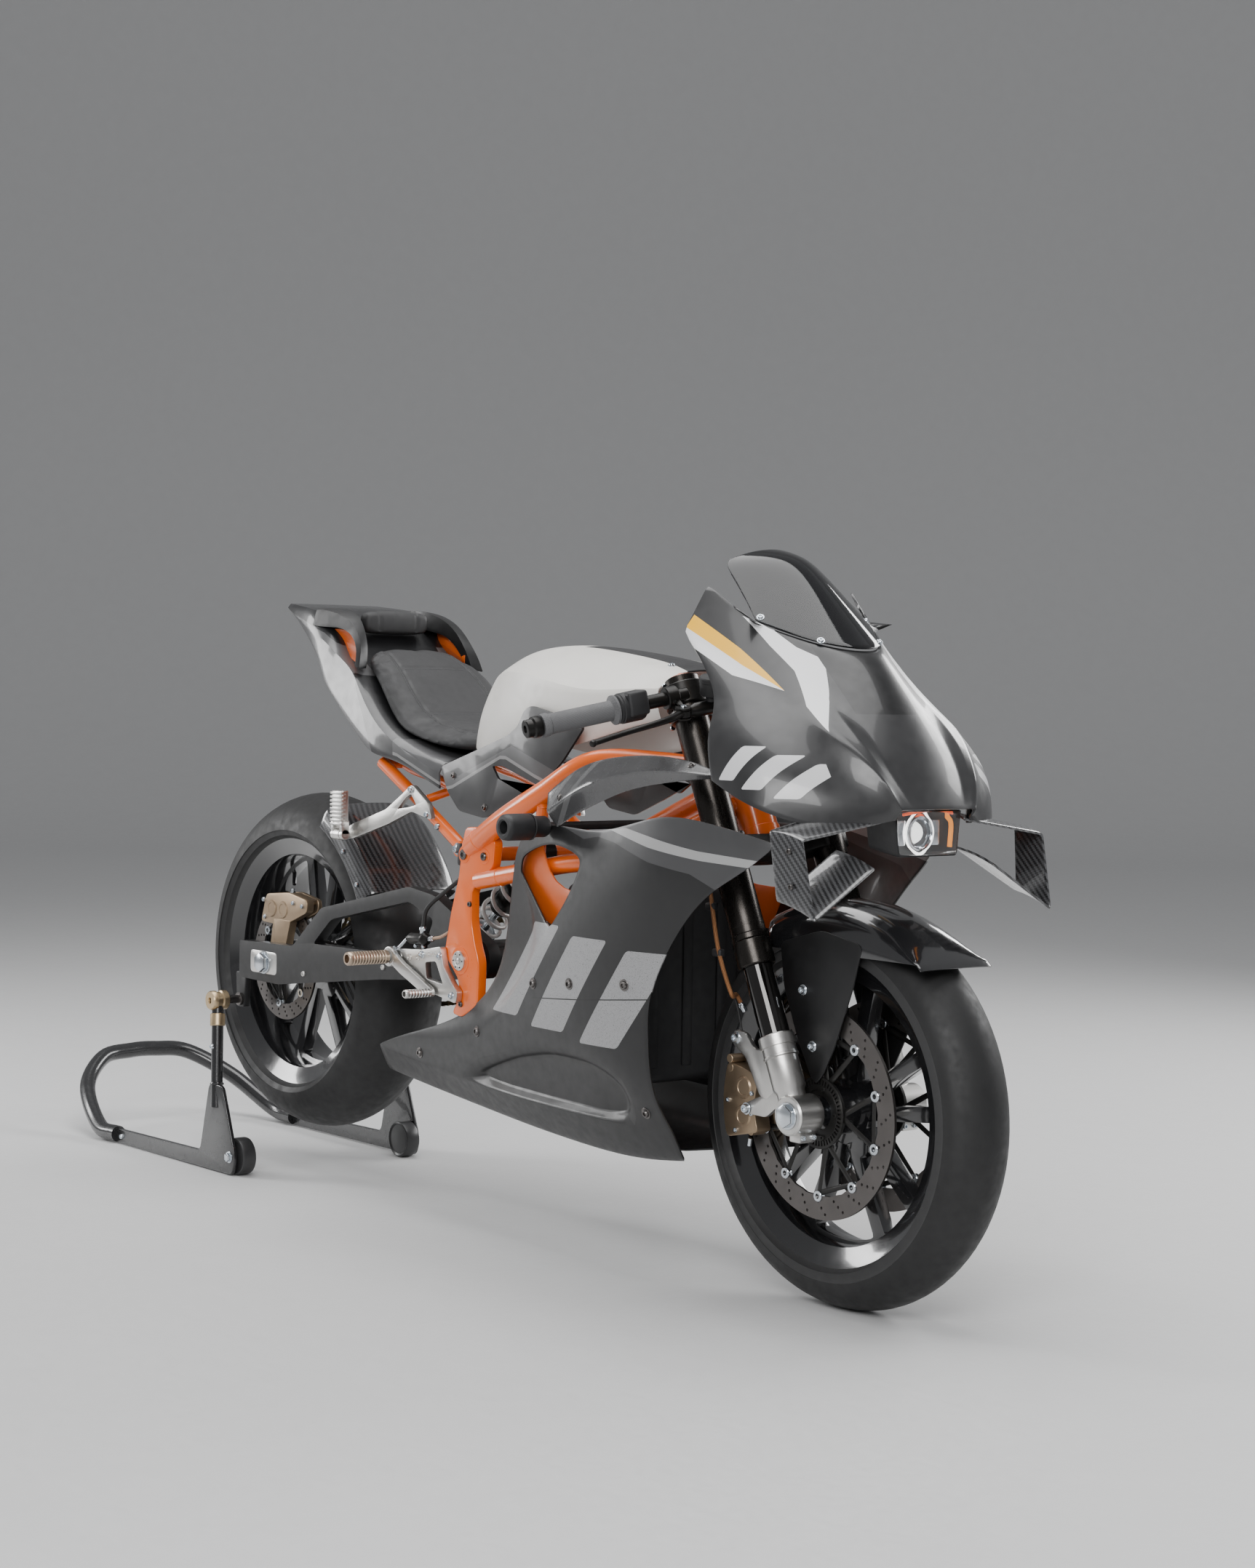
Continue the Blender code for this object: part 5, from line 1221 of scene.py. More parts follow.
# %% Side fairing cage
FAIRING_CAGE = [
    [(0.900, 0.196, 0.690), (0.935, 0.202, 0.703), (1.000, 0.211, 0.709), (1.100, 0.223, 0.703),
     (1.165, 0.229, 0.707), (1.240, 0.233, 0.724), (1.334, 0.236, 0.744), (1.474, 0.168, 0.703)],
    [(0.875, 0.193, 0.655), (0.900, 0.198, 0.652), (0.994, 0.212, 0.686), (1.095, 0.226, 0.660),
     (1.165, 0.232, 0.672), (1.240, 0.236, 0.690), (1.330, 0.238, 0.706), (1.473, 0.170, 0.692)],
    [(0.862, 0.190, 0.612), (0.892, 0.196, 0.626), (0.996, 0.215, 0.542), (1.066, 0.226, 0.604),
     (1.130, 0.234, 0.600), (1.220, 0.238, 0.612), (1.310, 0.234, 0.640), (1.425, 0.190, 0.652)],
    [(0.840, 0.181, 0.530), (0.948, 0.196, 0.524), (0.972, 0.216, 0.518), (1.060, 0.230, 0.530),
     (1.150, 0.236, 0.545), (1.230, 0.233, 0.566), (1.290, 0.226, 0.590), (1.352, 0.214, 0.612)],
    [(0.815, 0.181, 0.436), (0.878, 0.193, 0.430), (0.894, 0.208, 0.430), (0.980, 0.221, 0.442),
     (1.070, 0.229, 0.452), (1.130, 0.228, 0.458), (1.190, 0.222, 0.465), (1.242, 0.212, 0.470)],
    [(0.690, 0.168, 0.362), (0.760, 0.184, 0.372), (0.830, 0.197, 0.378), (0.910, 0.207, 0.382),
     (0.990, 0.214, 0.386), (1.075, 0.219, 0.388), (1.155, 0.217, 0.392), (1.236, 0.204, 0.400)],
    [(0.500, 0.158, 0.318), (0.640, 0.172, 0.310), (0.770, 0.187, 0.300), (0.880, 0.199, 0.332),
     (0.980, 0.207, 0.350), (1.085, 0.211, 0.348), (1.180, 0.208, 0.322), (1.237, 0.200, 0.310)],
    [(0.412, 0.148, 0.290), (0.560, 0.160, 0.278), (0.700, 0.171, 0.266), (0.840, 0.180, 0.257),
     (0.960, 0.184, 0.253), (1.080, 0.187, 0.251), (1.185, 0.182, 0.250), (1.262, 0.174, 0.250)],
    [(0.402, 0.118, 0.238), (0.560, 0.123, 0.222), (0.700, 0.128, 0.210), (0.840, 0.134, 0.198),
     (0.960, 0.139, 0.191), (1.080, 0.145, 0.186), (1.185, 0.150, 0.191), (1.268, 0.152, 0.202)],
    [(0.430, 0.005, 0.226), (0.560, 0.005, 0.209), (0.680, 0.005, 0.196), (0.780, 0.005, 0.187),
     (0.870, 0.005, 0.180), (0.950, 0.005, 0.174), (1.020, 0.005, 0.173), (1.080, 0.005, 0.180)]]
BANDS_TOP = [(0.935, 0.700), (1.029, 0.721), (1.097, 0.704), (1.167, 0.715), (1.297, 0.739),
             (1.326, 0.738), (1.432, 0.717), (1.547, 0.701)]
BANDS_FOOT = [(0.935, 0.700), (1.022, 0.708), (1.094, 0.690), (1.135, 0.696), (1.180, 0.690),
              (1.268, 0.665), (1.347, 0.651), (1.400, 0.622), (1.547, 0.600)]
STRIPE_TOP = [(1.135, 0.706), (1.211, 0.713), (1.267, 0.704), (1.362, 0.686), (1.467, 0.674)]
STRIPE_FOOT = [(1.135, 0.706), (1.170, 0.708), (1.268, 0.687), (1.363, 0.672), (1.467, 0.662)]
SEAM = [(0.954, 0.429), (1.076, 0.438), (1.261, 0.455)]


def fairing_finish():
    m = surface("fairing_paint", (0.0085, 0.0085, 0.009), 0.42, drift=0.12, grain=(1400, 0.00003),
                coat=0.12)
    x, _, z = from_rear_axle(m)
    high = profile_line(m, x, BANDS_TOP)
    low = profile_line(m, x, BANDS_FOOT)
    paint_over(m, band(m, z, low, high), (0.052, 0.052, 0.054))
    paint_over(m, maths(m, 'GREATER_THAN', z, high), (0.028, 0.028, 0.029))
    stripe = both(m, band(m, z, profile_line(m, x, STRIPE_FOOT), profile_line(m, x, STRIPE_TOP)),
                  maths(m, 'GREATER_THAN', x, STRIPE_TOP[0][0]),
                  maths(m, 'LESS_THAN', x, STRIPE_TOP[-1][0]))
    paint_over(m, stripe, (0.33, 0.33, 0.33))
    worn = maths(m, 'GREATER_THAN', noise(m, 1100, 2.0), 0.36)
    for number in range(3):
        bar = slanted_bar(m, x, z, (0.922 + 0.134 * number, 0.472 - 0.012 * number), 0.046, 0.078, 0.85)
        paint_over(m, both(m, bar, worn), (0.30, 0.30, 0.305))
    gap = maths(m, 'ABSOLUTE', maths(m, 'SUBTRACT', z, profile_line(m, x, SEAM)))
    groove = both(m, maths(m, 'LESS_THAN', gap, 0.0009), maths(m, 'GREATER_THAN', x, SEAM[0][0]))
    paint_over(m, groove, (0.002, 0.002, 0.002))
    return m


FAIRING_PAINT = fairing_finish()
LINER_ORANGE = surface("orange_liner", (0.62, 0.105, 0.008), 0.42, drift=0.1, grain=(500, 0.0001))


def make_side_fairing(word, side):
    node = f"side_fairing_{word}"
    bm = bmesh.new()
    grid = skin(bm, on_side(FAIRING_CAGE, side), creases=((1, 0.35), (7, 0.85), (8, 0.4)),
                inside=at(0.95, 0, 0.45))
    wide = len(FAIRING_CAGE[0])

    def cell(row, column):
        first = row * wide + column
        return bm.faces.get([grid[first], grid[first + 1], grid[first + wide + 1], grid[first + wide]])

    layer = bm.edges.layers.float["crease_edge"]
    for row in (2, 3, 4):
        for column in (1, 2):
            edge = bm.edges.get([grid[row * wide + column], grid[(row + 1) * wide + column]])
            edge[layer] = 0.8
    scoop = [cell(6, column) for column in range(2, 6)]
    bmesh.ops.inset_region(bm, faces=scoop, thickness=0.012, use_even_offset=True)
    bmesh.ops.translate(bm, verts=list({v for f in scoop for v in f.verts}),
                        vec=(0, -side * 0.014, 0.002))
    for edge in {e for f in scoop for e in f.edges}:
        edge[layer] = 0.7
    bmesh.ops.delete(bm, geom=[cell(1, 1), cell(1, 2)], context='FACES')
    obj = piece(f"{node}_skin", bm, node, FAIRING_PAINT, smooth=50)
    softened(obj, 3)
    wall(obj, 0.0032)
    liner = bmesh.new()
    back = [[(0.862, 0.182, 0.640), (0.930, 0.187, 0.696), (1.110, 0.198, 0.690)],
            [(0.868, 0.182, 0.600), (0.960, 0.187, 0.600), (1.095, 0.198, 0.600)],
            [(0.905, 0.184, 0.565), (0.975, 0.187, 0.540), (1.060, 0.196, 0.530)]]
    skin(liner, on_side(back, side), inside=at(0.95, 0, 0.6))
    bmesh.ops.delete(liner, geom=[f for f in liner.faces if f.calc_center_median().x >
                                  REAR_AXLE.x + 0.96 and f.calc_center_median().z > 0.6],
                     context='FACES')
    lining = piece(f"{node}_liner", liner, node, LINER_ORANGE, False)
    softened(lining, 2)
    wall(lining, 0.003)
    places = [at(x, side * 0.5, z) for x, z in ((0.958, 0.452), (1.067, 0.462), (1.198, 0.472),
                                                (0.763, 0.352), (1.215, 0.275), (0.560, 0.292))]
    panel_screws(f"{node}_screws", obj, node, places, (0, -side, 0))


for_each_side(make_side_fairing)

# %% [markdown]
# The nose wraps from one cheek over the hood to the other.  White and yellow flashes run
# along it, a light band under the yellow one is a painted highlight of the crease, and the
# hood between the two inner creases is as dark and glossy as glass.

# %% Nose
NOSE_CAGE = [
    [(1.431, 0.250, 0.794), (1.470, 0.249, 0.776), (1.507, 0.245, 0.761), (1.545, 0.215, 0.742),
     (1.590, 0.165, 0.728), (1.618, 0.115, 0.734), (1.634, 0.075, 0.742)],
    [(1.413, 0.250, 0.863), (1.462, 0.243, 0.845), (1.510, 0.230, 0.822), (1.556, 0.200, 0.795),
     (1.597, 0.155, 0.768), (1.624, 0.110, 0.755), (1.639, 0.075, 0.747)],
    [(1.396, 0.202, 0.917), (1.447, 0.198, 0.894), (1.496, 0.189, 0.867), (1.544, 0.164, 0.837),
     (1.589, 0.132, 0.804), (1.624, 0.101, 0.780), (1.643, 0.076, 0.752)],
    [(1.301, 0.198, 1.012), (1.392, 0.167, 0.954), (1.479, 0.143, 0.906), (1.546, 0.137, 0.874),
     (1.593, 0.113, 0.839), (1.631, 0.093, 0.801), (1.647, 0.075, 0.757)],
    [(1.293, 0.147, 1.083), (1.369, 0.124, 1.019), (1.436, 0.107, 0.973), (1.501, 0.097, 0.919),
     (1.570, 0.100, 0.868), (1.620, 0.088, 0.815), (1.647, 0.066, 0.758)],
    [(1.370, 0.116, 1.025), (1.418, 0.091, 1.004), (1.466, 0.073, 0.972), (1.532, 0.070, 0.912),
     (1.586, 0.073, 0.850), (1.618, 0.070, 0.808), (1.648, 0.052, 0.758)],
    [(1.459, 0.060, 0.990), (1.478, 0.050, 0.984), (1.505, 0.040, 0.964), (1.552, 0.040, 0.912),
     (1.597, 0.040, 0.852), (1.626, 0.040, 0.807), (1.649, 0.028, 0.758)],
    [(1.492, 0.0, 0.984), (1.500, 0.0, 0.982), (1.520, 0.0, 0.962), (1.562, 0.0, 0.910),
     (1.604, 0.0, 0.850), (1.630, 0.0, 0.805), (1.650, 0.0, 0.758)]]
YELLOW_TOP = [(1.300, 1.037), (1.376, 0.987), (1.462, 0.925)]
YELLOW_FOOT = [(1.300, 1.018), (1.392, 0.962), (1.462, 0.925)]
# Foot of the painted highlight: a light band under the yellow flash that stands for the crease's
# highlight
HIGHLIGHT_STREAK_FOOT = [(1.300, 1.002), (1.392, 0.947), (1.462, 0.925)]
WHITE_TOP = [(1.352, 1.036), (1.390, 1.018), (1.432, 0.990), (1.470, 0.972), (1.510, 0.915),
             (1.552, 0.867)]
WHITE_FOOT = [(1.352, 1.036), (1.404, 0.992), (1.452, 0.955), (1.502, 0.903), (1.552, 0.867)]


def nose_finish():
    m = surface("nose_paint", (0.022, 0.022, 0.023), 0.34, coat=0.3, drift=0.08)
    x, y, z = from_rear_axle(m)
    wide = maths(m, 'ABSOLUTE', y)
    for tone, foot, top, from_middle in (((0.86, 0.86, 0.87), WHITE_FOOT, WHITE_TOP, 0.074),
                                         ((0.95, 0.50, 0.01), YELLOW_FOOT, YELLOW_TOP, 0.120),
                                         # painted highlight: the light band under the yellow flash
                                         # stands for the highlight along the crease
                                         ((0.80, 0.80, 0.81), HIGHLIGHT_STREAK_FOOT, YELLOW_FOOT, 0.120)):
        flash = both(m, band(m, z, profile_line(m, x, foot), profile_line(m, x, top)),
                     maths(m, 'GREATER_THAN', wide, from_middle),
                     maths(m, 'GREATER_THAN', x, top[0][0]), maths(m, 'LESS_THAN', x, top[-1][0]))
        paint_over(m, flash, tone)
    for number in range(3):
        bar = slanted_bar(m, x, z, (1.474 + 0.043 * number, 0.820 - 0.012 * number), 0.014,
                          0.025, 0.55, 0.003)
        paint_over(m, both(m, bar, maths(m, 'GREATER_THAN', wide, 0.15)), (0.62, 0.62, 0.63))
    hood = both(m, maths(m, 'LESS_THAN', wide, 0.074), maths(m, 'GREATER_THAN', z, 0.893))
    paint_over(m, hood, (0.006, 0.006, 0.0065))
    return m


bm = bmesh.new()
skin(bm, both_halves(NOSE_CAGE), creases=[(row, weight) for row, weight in
                                          ((3, 0.75), (4, 0.6), (5, 0.5), (9, 0.5), (10, 0.6),
                                           (11, 0.75))], inside=at(1.40, 0, 0.86))
NOSE_PAINT = nose_finish()
nose = piece("nose_fairing_skin", bm, "nose_fairing", NOSE_PAINT, smooth=50)
softened(nose, 3)
wall(nose, 0.0034)

# %% [markdown]
# The screen is blown from smoked sheet.  Its foot laps over the nose and is held by small
# silver screws.

# %% Screen
SCREEN_CAGE = [
    [(1.369, 0.116, 1.029), (1.416, 0.092, 1.011), (1.462, 0.058, 0.995), (1.496, 0.0, 0.988)],
    [(1.338, 0.108, 1.058), (1.374, 0.085, 1.052), (1.412, 0.050, 1.042), (1.440, 0.0, 1.038)],
    [(1.299, 0.099, 1.091), (1.330, 0.075, 1.092), (1.362, 0.042, 1.090), (1.386, 0.0, 1.090)],
    [(1.270, 0.093, 1.115), (1.292, 0.067, 1.124), (1.316, 0.036, 1.130), (1.336, 0.0, 1.131)],
    [(1.264, 0.080, 1.125), (1.270, 0.058, 1.134), (1.276, 0.030, 1.141), (1.281, 0.0, 1.1435)]]


def clear_plastic(name, colour, transmission, roughness):
    m = surface(name, colour, roughness)
    shader = m.node_tree.nodes["Principled BSDF"]
    shader.inputs["Transmission Weight"].default_value = transmission
    shader.inputs["IOR"].default_value = 1.45
    return m


SMOKED = clear_plastic("smoked_screen_sheet", (0.030, 0.031, 0.034), 0.85, 0.04)
bm = bmesh.new()
skin(bm, across_middle(SCREEN_CAGE), inside=at(1.30, 0, 1.03))
screen = piece("windscreen_sheet", bm, "windscreen", SMOKED)
softened(screen, 3)
wall(screen, 0.0028)
places = [at(x, y, 1.3) for x, y in ((1.370, 0.108), (1.452, 0.060), (1.482, 0.022),
                                     (1.482, -0.022), (1.452, -0.060), (1.370, -0.108))]
panel_screws("windscreen_screws", screen, "windscreen", places, (0, 0, -1), 0.0042, 0.003,
             BRIGHT_STEEL)

# %% [markdown]
# A projector lamp fills the mouth of the nose: a black housing, a lens in a bright ring,
# an amber strip on the left and a red-orange line above, behind one clear cover.

# %% Headlight
def glowing(name, colour, strength):
    m = surface(name, colour, 0.25)
    shader = m.node_tree.nodes["Principled BSDF"]
    shader.inputs["Emission Color"].default_value = (*colour, 1)
    shader.inputs["Emission Strength"].default_value = strength
    return m


LAMP_LOW, LAMP_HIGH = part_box("headlight")
LAMP_FACE = LAMP_HIGH.x - 0.008
LAMP_Z = (LAMP_LOW.z + LAMP_HIGH.z) / 2


def lamp_outline(inset, height):
    """Outline of the lamp's face as (y, z) points, narrower at its foot."""
    half = LAMP_HIGH.y - inset
    tall = height / 2
    return rounded([(-half, LAMP_Z + tall), (half, LAMP_Z + tall), (half * 0.88, LAMP_Z - tall),
                    (-half * 0.88, LAMP_Z - tall)], 0.008)


def lamp_ring(inset, height, x):
    return [Vector((x - 0.010 * (abs(y) / LAMP_HIGH.y) ** 2, y, z))
            for y, z in lamp_outline(inset, height)]


TALL = LAMP_HIGH.z - LAMP_LOW.z
bm = bmesh.new()
rings = [lamp_ring(0.010, TALL - 0.016, LAMP_LOW.x), lamp_ring(0.0, TALL, LAMP_FACE - 0.010),
         lamp_ring(0.0, TALL, LAMP_FACE), lamp_ring(0.003, TALL - 0.006, LAMP_FACE),
         lamp_ring(0.006, TALL - 0.012, LAMP_FACE - 0.016)]
skin_rings(bm, [[bm.verts.new(p) for p in ring] for ring in rings])
piece("headlight_housing", bm, "headlight", MOULDED)
eye = Vector((LAMP_FACE - 0.020, -0.016, LAMP_Z))
bm = bmesh.new()
turned(bm, eye, (1, 0, 0), [(0.0205, 0), (0.0245, 0.002), (0.0260, 0.012), (0.0240, 0.0135),
                            (0.0225, 0.012), (0.0195, 0.004)], 48, closed=True)
for way in (-1, 1):
    block(bm, (LAMP_FACE - 0.024, eye.y + way * 0.034 - 0.009, LAMP_Z - 0.019),
          (LAMP_FACE - 0.011, eye.y + way * 0.034 + 0.009, LAMP_Z + 0.019), 0.003)
piece("headlight_reflector", bm, "headlight", LAMP_WHITE, False)
bm = bmesh.new()
dome = [(0.0200 * sin(radians(a)), 0.004 + 0.011 * cos(radians(a))) for a in range(90, -1, -10)]
turned(bm, eye, (1, 0, 0), [(0, 0.0), (0.0200, 0.0), *dome[:-1], (0, 0.015)], 48)
LENS_CLEAR = clear_plastic("lamp_lens", (0.9, 0.92, 0.95), 0.9, 0.03)
piece("headlight_lens", bm, "headlight", LENS_CLEAR, False)
bm = bmesh.new()
tube_ring(bm, eye + Vector((0.009, 0, 0)), eye + Vector((0.0112, 0, 0)), 0.0292, 0.0268, 48, 0.0004)
turned(bm, eye - Vector((0.003, 0, 0)), (1, 0, 0), [(0, 0), (0.012, 0), (0.012, 0.001), (0, 0.001)], 24)
WHITE_GLOW = glowing("lamp_white_glow", (1.0, 0.98, 0.94), 3.0)
piece("headlight_light_ring", bm, "headlight", WHITE_GLOW, False)
bm = bmesh.new()
swept(bm, smooth_route([(LAMP_FACE - 0.010, 0.040, LAMP_Z + 0.023),
                        (LAMP_FACE - 0.012, 0.050, LAMP_Z + 0.012),
                        (LAMP_FACE - 0.012, 0.048, LAMP_Z - 0.022)]), 0.0036, 10)
AMBER_GLOW = glowing("lamp_amber", (0.95, 0.30, 0.02), 1.2)
piece("headlight_amber", bm, "headlight", AMBER_GLOW, False)
bm = bmesh.new()
swept(bm, smooth_route([(LAMP_FACE - 0.009, -0.050, LAMP_Z + 0.026),
                        (LAMP_FACE - 0.004, 0.0, LAMP_Z + 0.0295),
                        (LAMP_FACE - 0.009, 0.050, LAMP_Z + 0.026)]), 0.0016, 8)
MARKER_GLOW = glowing("lamp_marker", (0.85, 0.10, 0.02), 1.0)
piece("headlight_marker_line", bm, "headlight", MARKER_GLOW, False)
bm = bmesh.new()
face_rows = [[Vector((LAMP_FACE + 0.006 - 0.012 * (k / 4) ** 2, (LAMP_HIGH.y - 0.003) * k / 4
                      * (1 - 0.12 * (1 - share)), LAMP_Z + (share - 0.5) * (TALL - 0.006)))
              for k in range(-4, 5)] for share in (1.0, 0.5, 0.0)]
skin(bm, face_rows, inside=eye - Vector((0.2, 0, 0)))
COVER_CLEAR = clear_plastic("lamp_cover", (0.92, 0.94, 0.96), 0.97, 0.02)
cover = piece("headlight_cover", bm, "headlight", COVER_CLEAR, False)
softened(cover, 2)
wall(cover, 0.0012, bevel=0.0003)

# %% [markdown]
# The winglets are folded carbon planes.  The twill is drawn as a 2 by 2 weave: each tow
# goes over two and under two, one step along from row to row.  The weave is real; its light
# cells are painted sheen, where the tows that lie one way catch the light.

# %% Carbon twill
def carbon(name, tow=0.0030):
    """Clear-coated 2 by 2 twill on Object coordinates, with the tows that lie one way painted lighter as
    sheen.
    """
    m = surface(name, (0.020, 0.020, 0.021), 0.28, metallic=0.15, coat=1.0, drift=0.1)
    x, y, z = parts_of(m, placed(m))
    u = maths(m, 'FLOOR', maths(m, 'DIVIDE', x, tow))
    v = maths(m, 'FLOOR', maths(m, 'DIVIDE', maths(m, 'ADD', y, z), tow))
    step = maths(m, 'FLOORED_MODULO', maths(m, 'ADD', u, v), 4.0)
    # painted sheen: the cells where one way's tows lie on top are painted lighter
    paint_over(m, maths(m, 'LESS_THAN', step, 1.5), (0.085, 0.086, 0.090))
    return m


CARBON = carbon("carbon_twill")
WING_FRONT = [(1.620, 0.080, 0.742), (1.622, 0.244, 0.717), (1.646, 0.240, 0.601), (1.640, 0.120, 0.672)]
WING_REAR = [(1.540, 0.110, 0.752), (1.560, 0.250, 0.728), (1.572, 0.244, 0.624), (1.560, 0.120, 0.694)]


def wing_line(share, lift):
    """One spanwise line of the folded strip, at a share of the chord from the rear."""
    return [(b[0] + (a[0] - b[0]) * share, b[1] + (a[1] - b[1]) * share,
             b[2] + (a[2] - b[2]) * share + lift) for a, b in zip(WING_FRONT, WING_REAR)]


def wing_rows():
    """Spanwise lines with extra points beside each fold, so that the folds stay tight."""
    rows = []
    for share, lift in ((0.0, 0.0), (0.33, 0.003), (0.70, 0.003), (1.0, 0.0)):
        root, top, low, inner = (Vector(p) for p in wing_line(share, lift))
        rows.append([tuple(p) for p in (root, root.lerp(top, 0.5), root.lerp(top, 0.93), top,
                                        top.lerp(low, 0.10), top.lerp(low, 0.90), low,
                                        low.lerp(inner, 0.10), low.lerp(inner, 0.6), inner)])
    return rows


bm = bmesh.new()
for side in (-1, 1):
    skin(bm, on_side(wing_rows(), side), inside=at(1.59, side * 0.16, 0.69))
wings = piece("winglet_planes", bm, "winglets", CARBON, smooth=50)
softened(wings, 2)
wall(wings, 0.0036, bevel=0.001)
bm = bmesh.new()
for side in (-1, 1):
    rod(bm, at(1.588, side * 0.120, 0.733), at(1.588, side * 0.120, 0.764), 0.0048, 20)
    place = at(1.600, side * 0.247, 0.700)
    bolt(bm, place, (0, side, 0), 0.0045, 0.003)
    bolt(bm, at(1.604, side * 0.246, 0.650), (0, side, 0), 0.0045, 0.003)
piece("winglet_mounts", bm, "winglets", DARK_STEEL, False)

# %% [markdown]
# An intake duct lies over each fairing: a slim translucent moulding with a crease along it.

# %% Intake ducts
DUCT_CAGE = [
    [(0.985, 0.212, 0.757), (1.021, 0.210, 0.780), (1.087, 0.206, 0.814), (1.232, 0.205, 0.827),
     (1.330, 0.206, 0.820), (1.399, 0.216, 0.806)],
    [(0.990, 0.218, 0.728), (1.040, 0.228, 0.748), (1.110, 0.235, 0.778), (1.232, 0.237, 0.802),
     (1.330, 0.236, 0.804), (1.403, 0.228, 0.800)],
    [(1.012, 0.214, 0.704), (1.069, 0.222, 0.727), (1.169, 0.226, 0.760), (1.228, 0.226, 0.776),
     (1.330, 0.226, 0.789), (1.394, 0.220, 0.794)]]


def duct_finish():
    m = surface("duct_smoked_grey", (0.060, 0.060, 0.062), 0.26, coat=0.4, drift=0.08)
    m.node_tree.nodes["Principled BSDF"].inputs["Transmission Weight"].default_value = 0.20
    x, _, z = from_rear_axle(m)
    along = maths(m, 'ADD', x, maths(m, 'MULTIPLY', maths(m, 'SUBTRACT', z, 0.730), -0.84))
    for start in (0.985, 1.032):
        paint_over(m, band(m, along, start, start + 0.014), (0.13, 0.13, 0.132))
    return m


DUCT_PAINT = duct_finish()


def make_duct(word, side):
    node = f"intake_duct_{word}"
    bm = bmesh.new()
    skin(bm, on_side(DUCT_CAGE, side), creases=((1, 0.8),), inside=at(1.2, 0, 0.76))
    obj = piece(f"{node}_skin", bm, node, DUCT_PAINT, smooth=50)
    softened(obj, 3)
    wall(obj, 0.0026)
    places = [at(x, side * 0.4, z) for x, z in ((1.030, 0.752), (1.345, 0.812))]
    panel_screws(f"{node}_screws", obj, node, places, (0, -side, 0), 0.0042, 0.003)


for_each_side(make_duct)

# %% [markdown]
# Below the tank a flat side panel covers the rail.  It is cut from sheet, with a slim
# opening over the frame tube, and carries the zig-zag band that runs on into the tail.

# %% Side panels
ZIGZAG_TOP = [(0.440, 0.835), (0.474, 0.829), (0.664, 0.772), (0.816, 0.827), (0.955, 0.783),
              (1.020, 0.770)]
ZIGZAG_FOOT = [(0.440, 0.808), (0.475, 0.802), (0.622, 0.749), (0.647, 0.753), (0.784, 0.807),
               (0.800, 0.807), (0.879, 0.780), (1.020, 0.740)]


def zigzag(m, x, z):
    """The band, and the light line along its lower edge."""
    foot = profile_line(m, x, ZIGZAG_FOOT)
    paint_over(m, band(m, z, foot, profile_line(m, x, ZIGZAG_TOP)), (0.062, 0.062, 0.064))
    edge = maths(m, 'ABSOLUTE', maths(m, 'SUBTRACT', z, foot))
    paint_over(m, maths(m, 'LESS_THAN', edge, 0.0028), (0.20, 0.20, 0.20))


def side_panel_finish():
    m = surface("side_panel_paint", (0.014, 0.014, 0.015), 0.38, coat=0.2, drift=0.1)
    x, _, z = from_rear_axle(m)
    zigzag(m, x, z)
    return m


SIDE_PANEL_PAINT = side_panel_finish()
PANEL_OUTLINE = [(0.612, 0.786), (0.700, 0.812), (0.800, 0.842), (0.831, 0.858), (0.850, 0.887),
                 (0.870, 0.894), (0.938, 0.881), (1.010, 0.862), (0.955, 0.806), (0.910, 0.772),
                 (0.820, 0.734), (0.742, 0.704), (0.668, 0.713), (0.632, 0.746)]
PANEL_OPENING = [(0.762, 0.792), (0.790, 0.793), (0.892, 0.764), (0.862, 0.746), (0.778, 0.772)]


def make_side_panel(word, side):
    node = f"side_panel_{word}"
    bm = bmesh.new()
    low, high = sorted((side * 0.1575, side * 0.1622))
    plate(bm, [rounded(on_rear(PANEL_OUTLINE), 0.010, 5), rounded(on_rear(PANEL_OPENING), 0.004, 3)],
          low, high, bevel=0.0014, segments=3)
    obj = piece(f"{node}_sheet", bm, node, SIDE_PANEL_PAINT)
    places = [at(x, side * 0.4, z) for x, z in ((0.650, 0.772), (0.905, 0.862), (0.742, 0.722))]
    panel_screws(f"{node}_screws", obj, node, places, (0, -side, 0), 0.0045, 0.003)


for_each_side(make_side_panel)

# %% [markdown]
# The tank cover is white, with a crease along each shoulder and a dark stripe on top.

# %% Tank cover
TANK_SECTIONS = [
    (0.628, [(0, 0.900), (0.040, 0.895), (0.075, 0.880), (0.098, 0.850), (0.100, 0.818)]),
    (0.650, [(0, 0.955), (0.045, 0.948), (0.085, 0.925), (0.112, 0.880), (0.112, 0.812)]),
    (0.690, [(0, 0.986), (0.050, 0.978), (0.098, 0.947), (0.124, 0.890), (0.126, 0.806)]),
    (0.760, [(0, 0.998), (0.056, 0.992), (0.130, 0.952), (0.146, 0.888), (0.140, 0.806)]),
    (0.860, [(0, 0.996), (0.058, 0.990), (0.150, 0.942), (0.1545, 0.885), (0.145, 0.812)]),
    (0.980, [(0, 0.984), (0.062, 0.978), (0.150, 0.918), (0.1545, 0.880), (0.135, 0.836)]),
    (1.075, [(0, 0.970), (0.070, 0.965), (0.128, 0.924), (0.130, 0.896), (0.110, 0.866)]),
    (1.120, [(0, 0.958), (0.060, 0.952), (0.100, 0.925), (0.104, 0.900), (0.095, 0.875)])]


def tank_finish():
    m = surface("tank_white_satin", (0.72, 0.70, 0.66), 0.42, drift=0.03, grain=(1600, 0.00002))
    x, y, z = from_rear_axle(m)
    wide = maths(m, 'ABSOLUTE', y)
    half = maths(m, 'ADD', 0.030, maths(m, 'MULTIPLY', maths(m, 'SUBTRACT', x, 0.84), 0.04))
    stripe = both(m, maths(m, 'LESS_THAN', wide, half), maths(m, 'GREATER_THAN', x, 0.838),
                  maths(m, 'GREATER_THAN', z, 0.90))
    paint_over(m, stripe, (0.020, 0.020, 0.021))
    return m


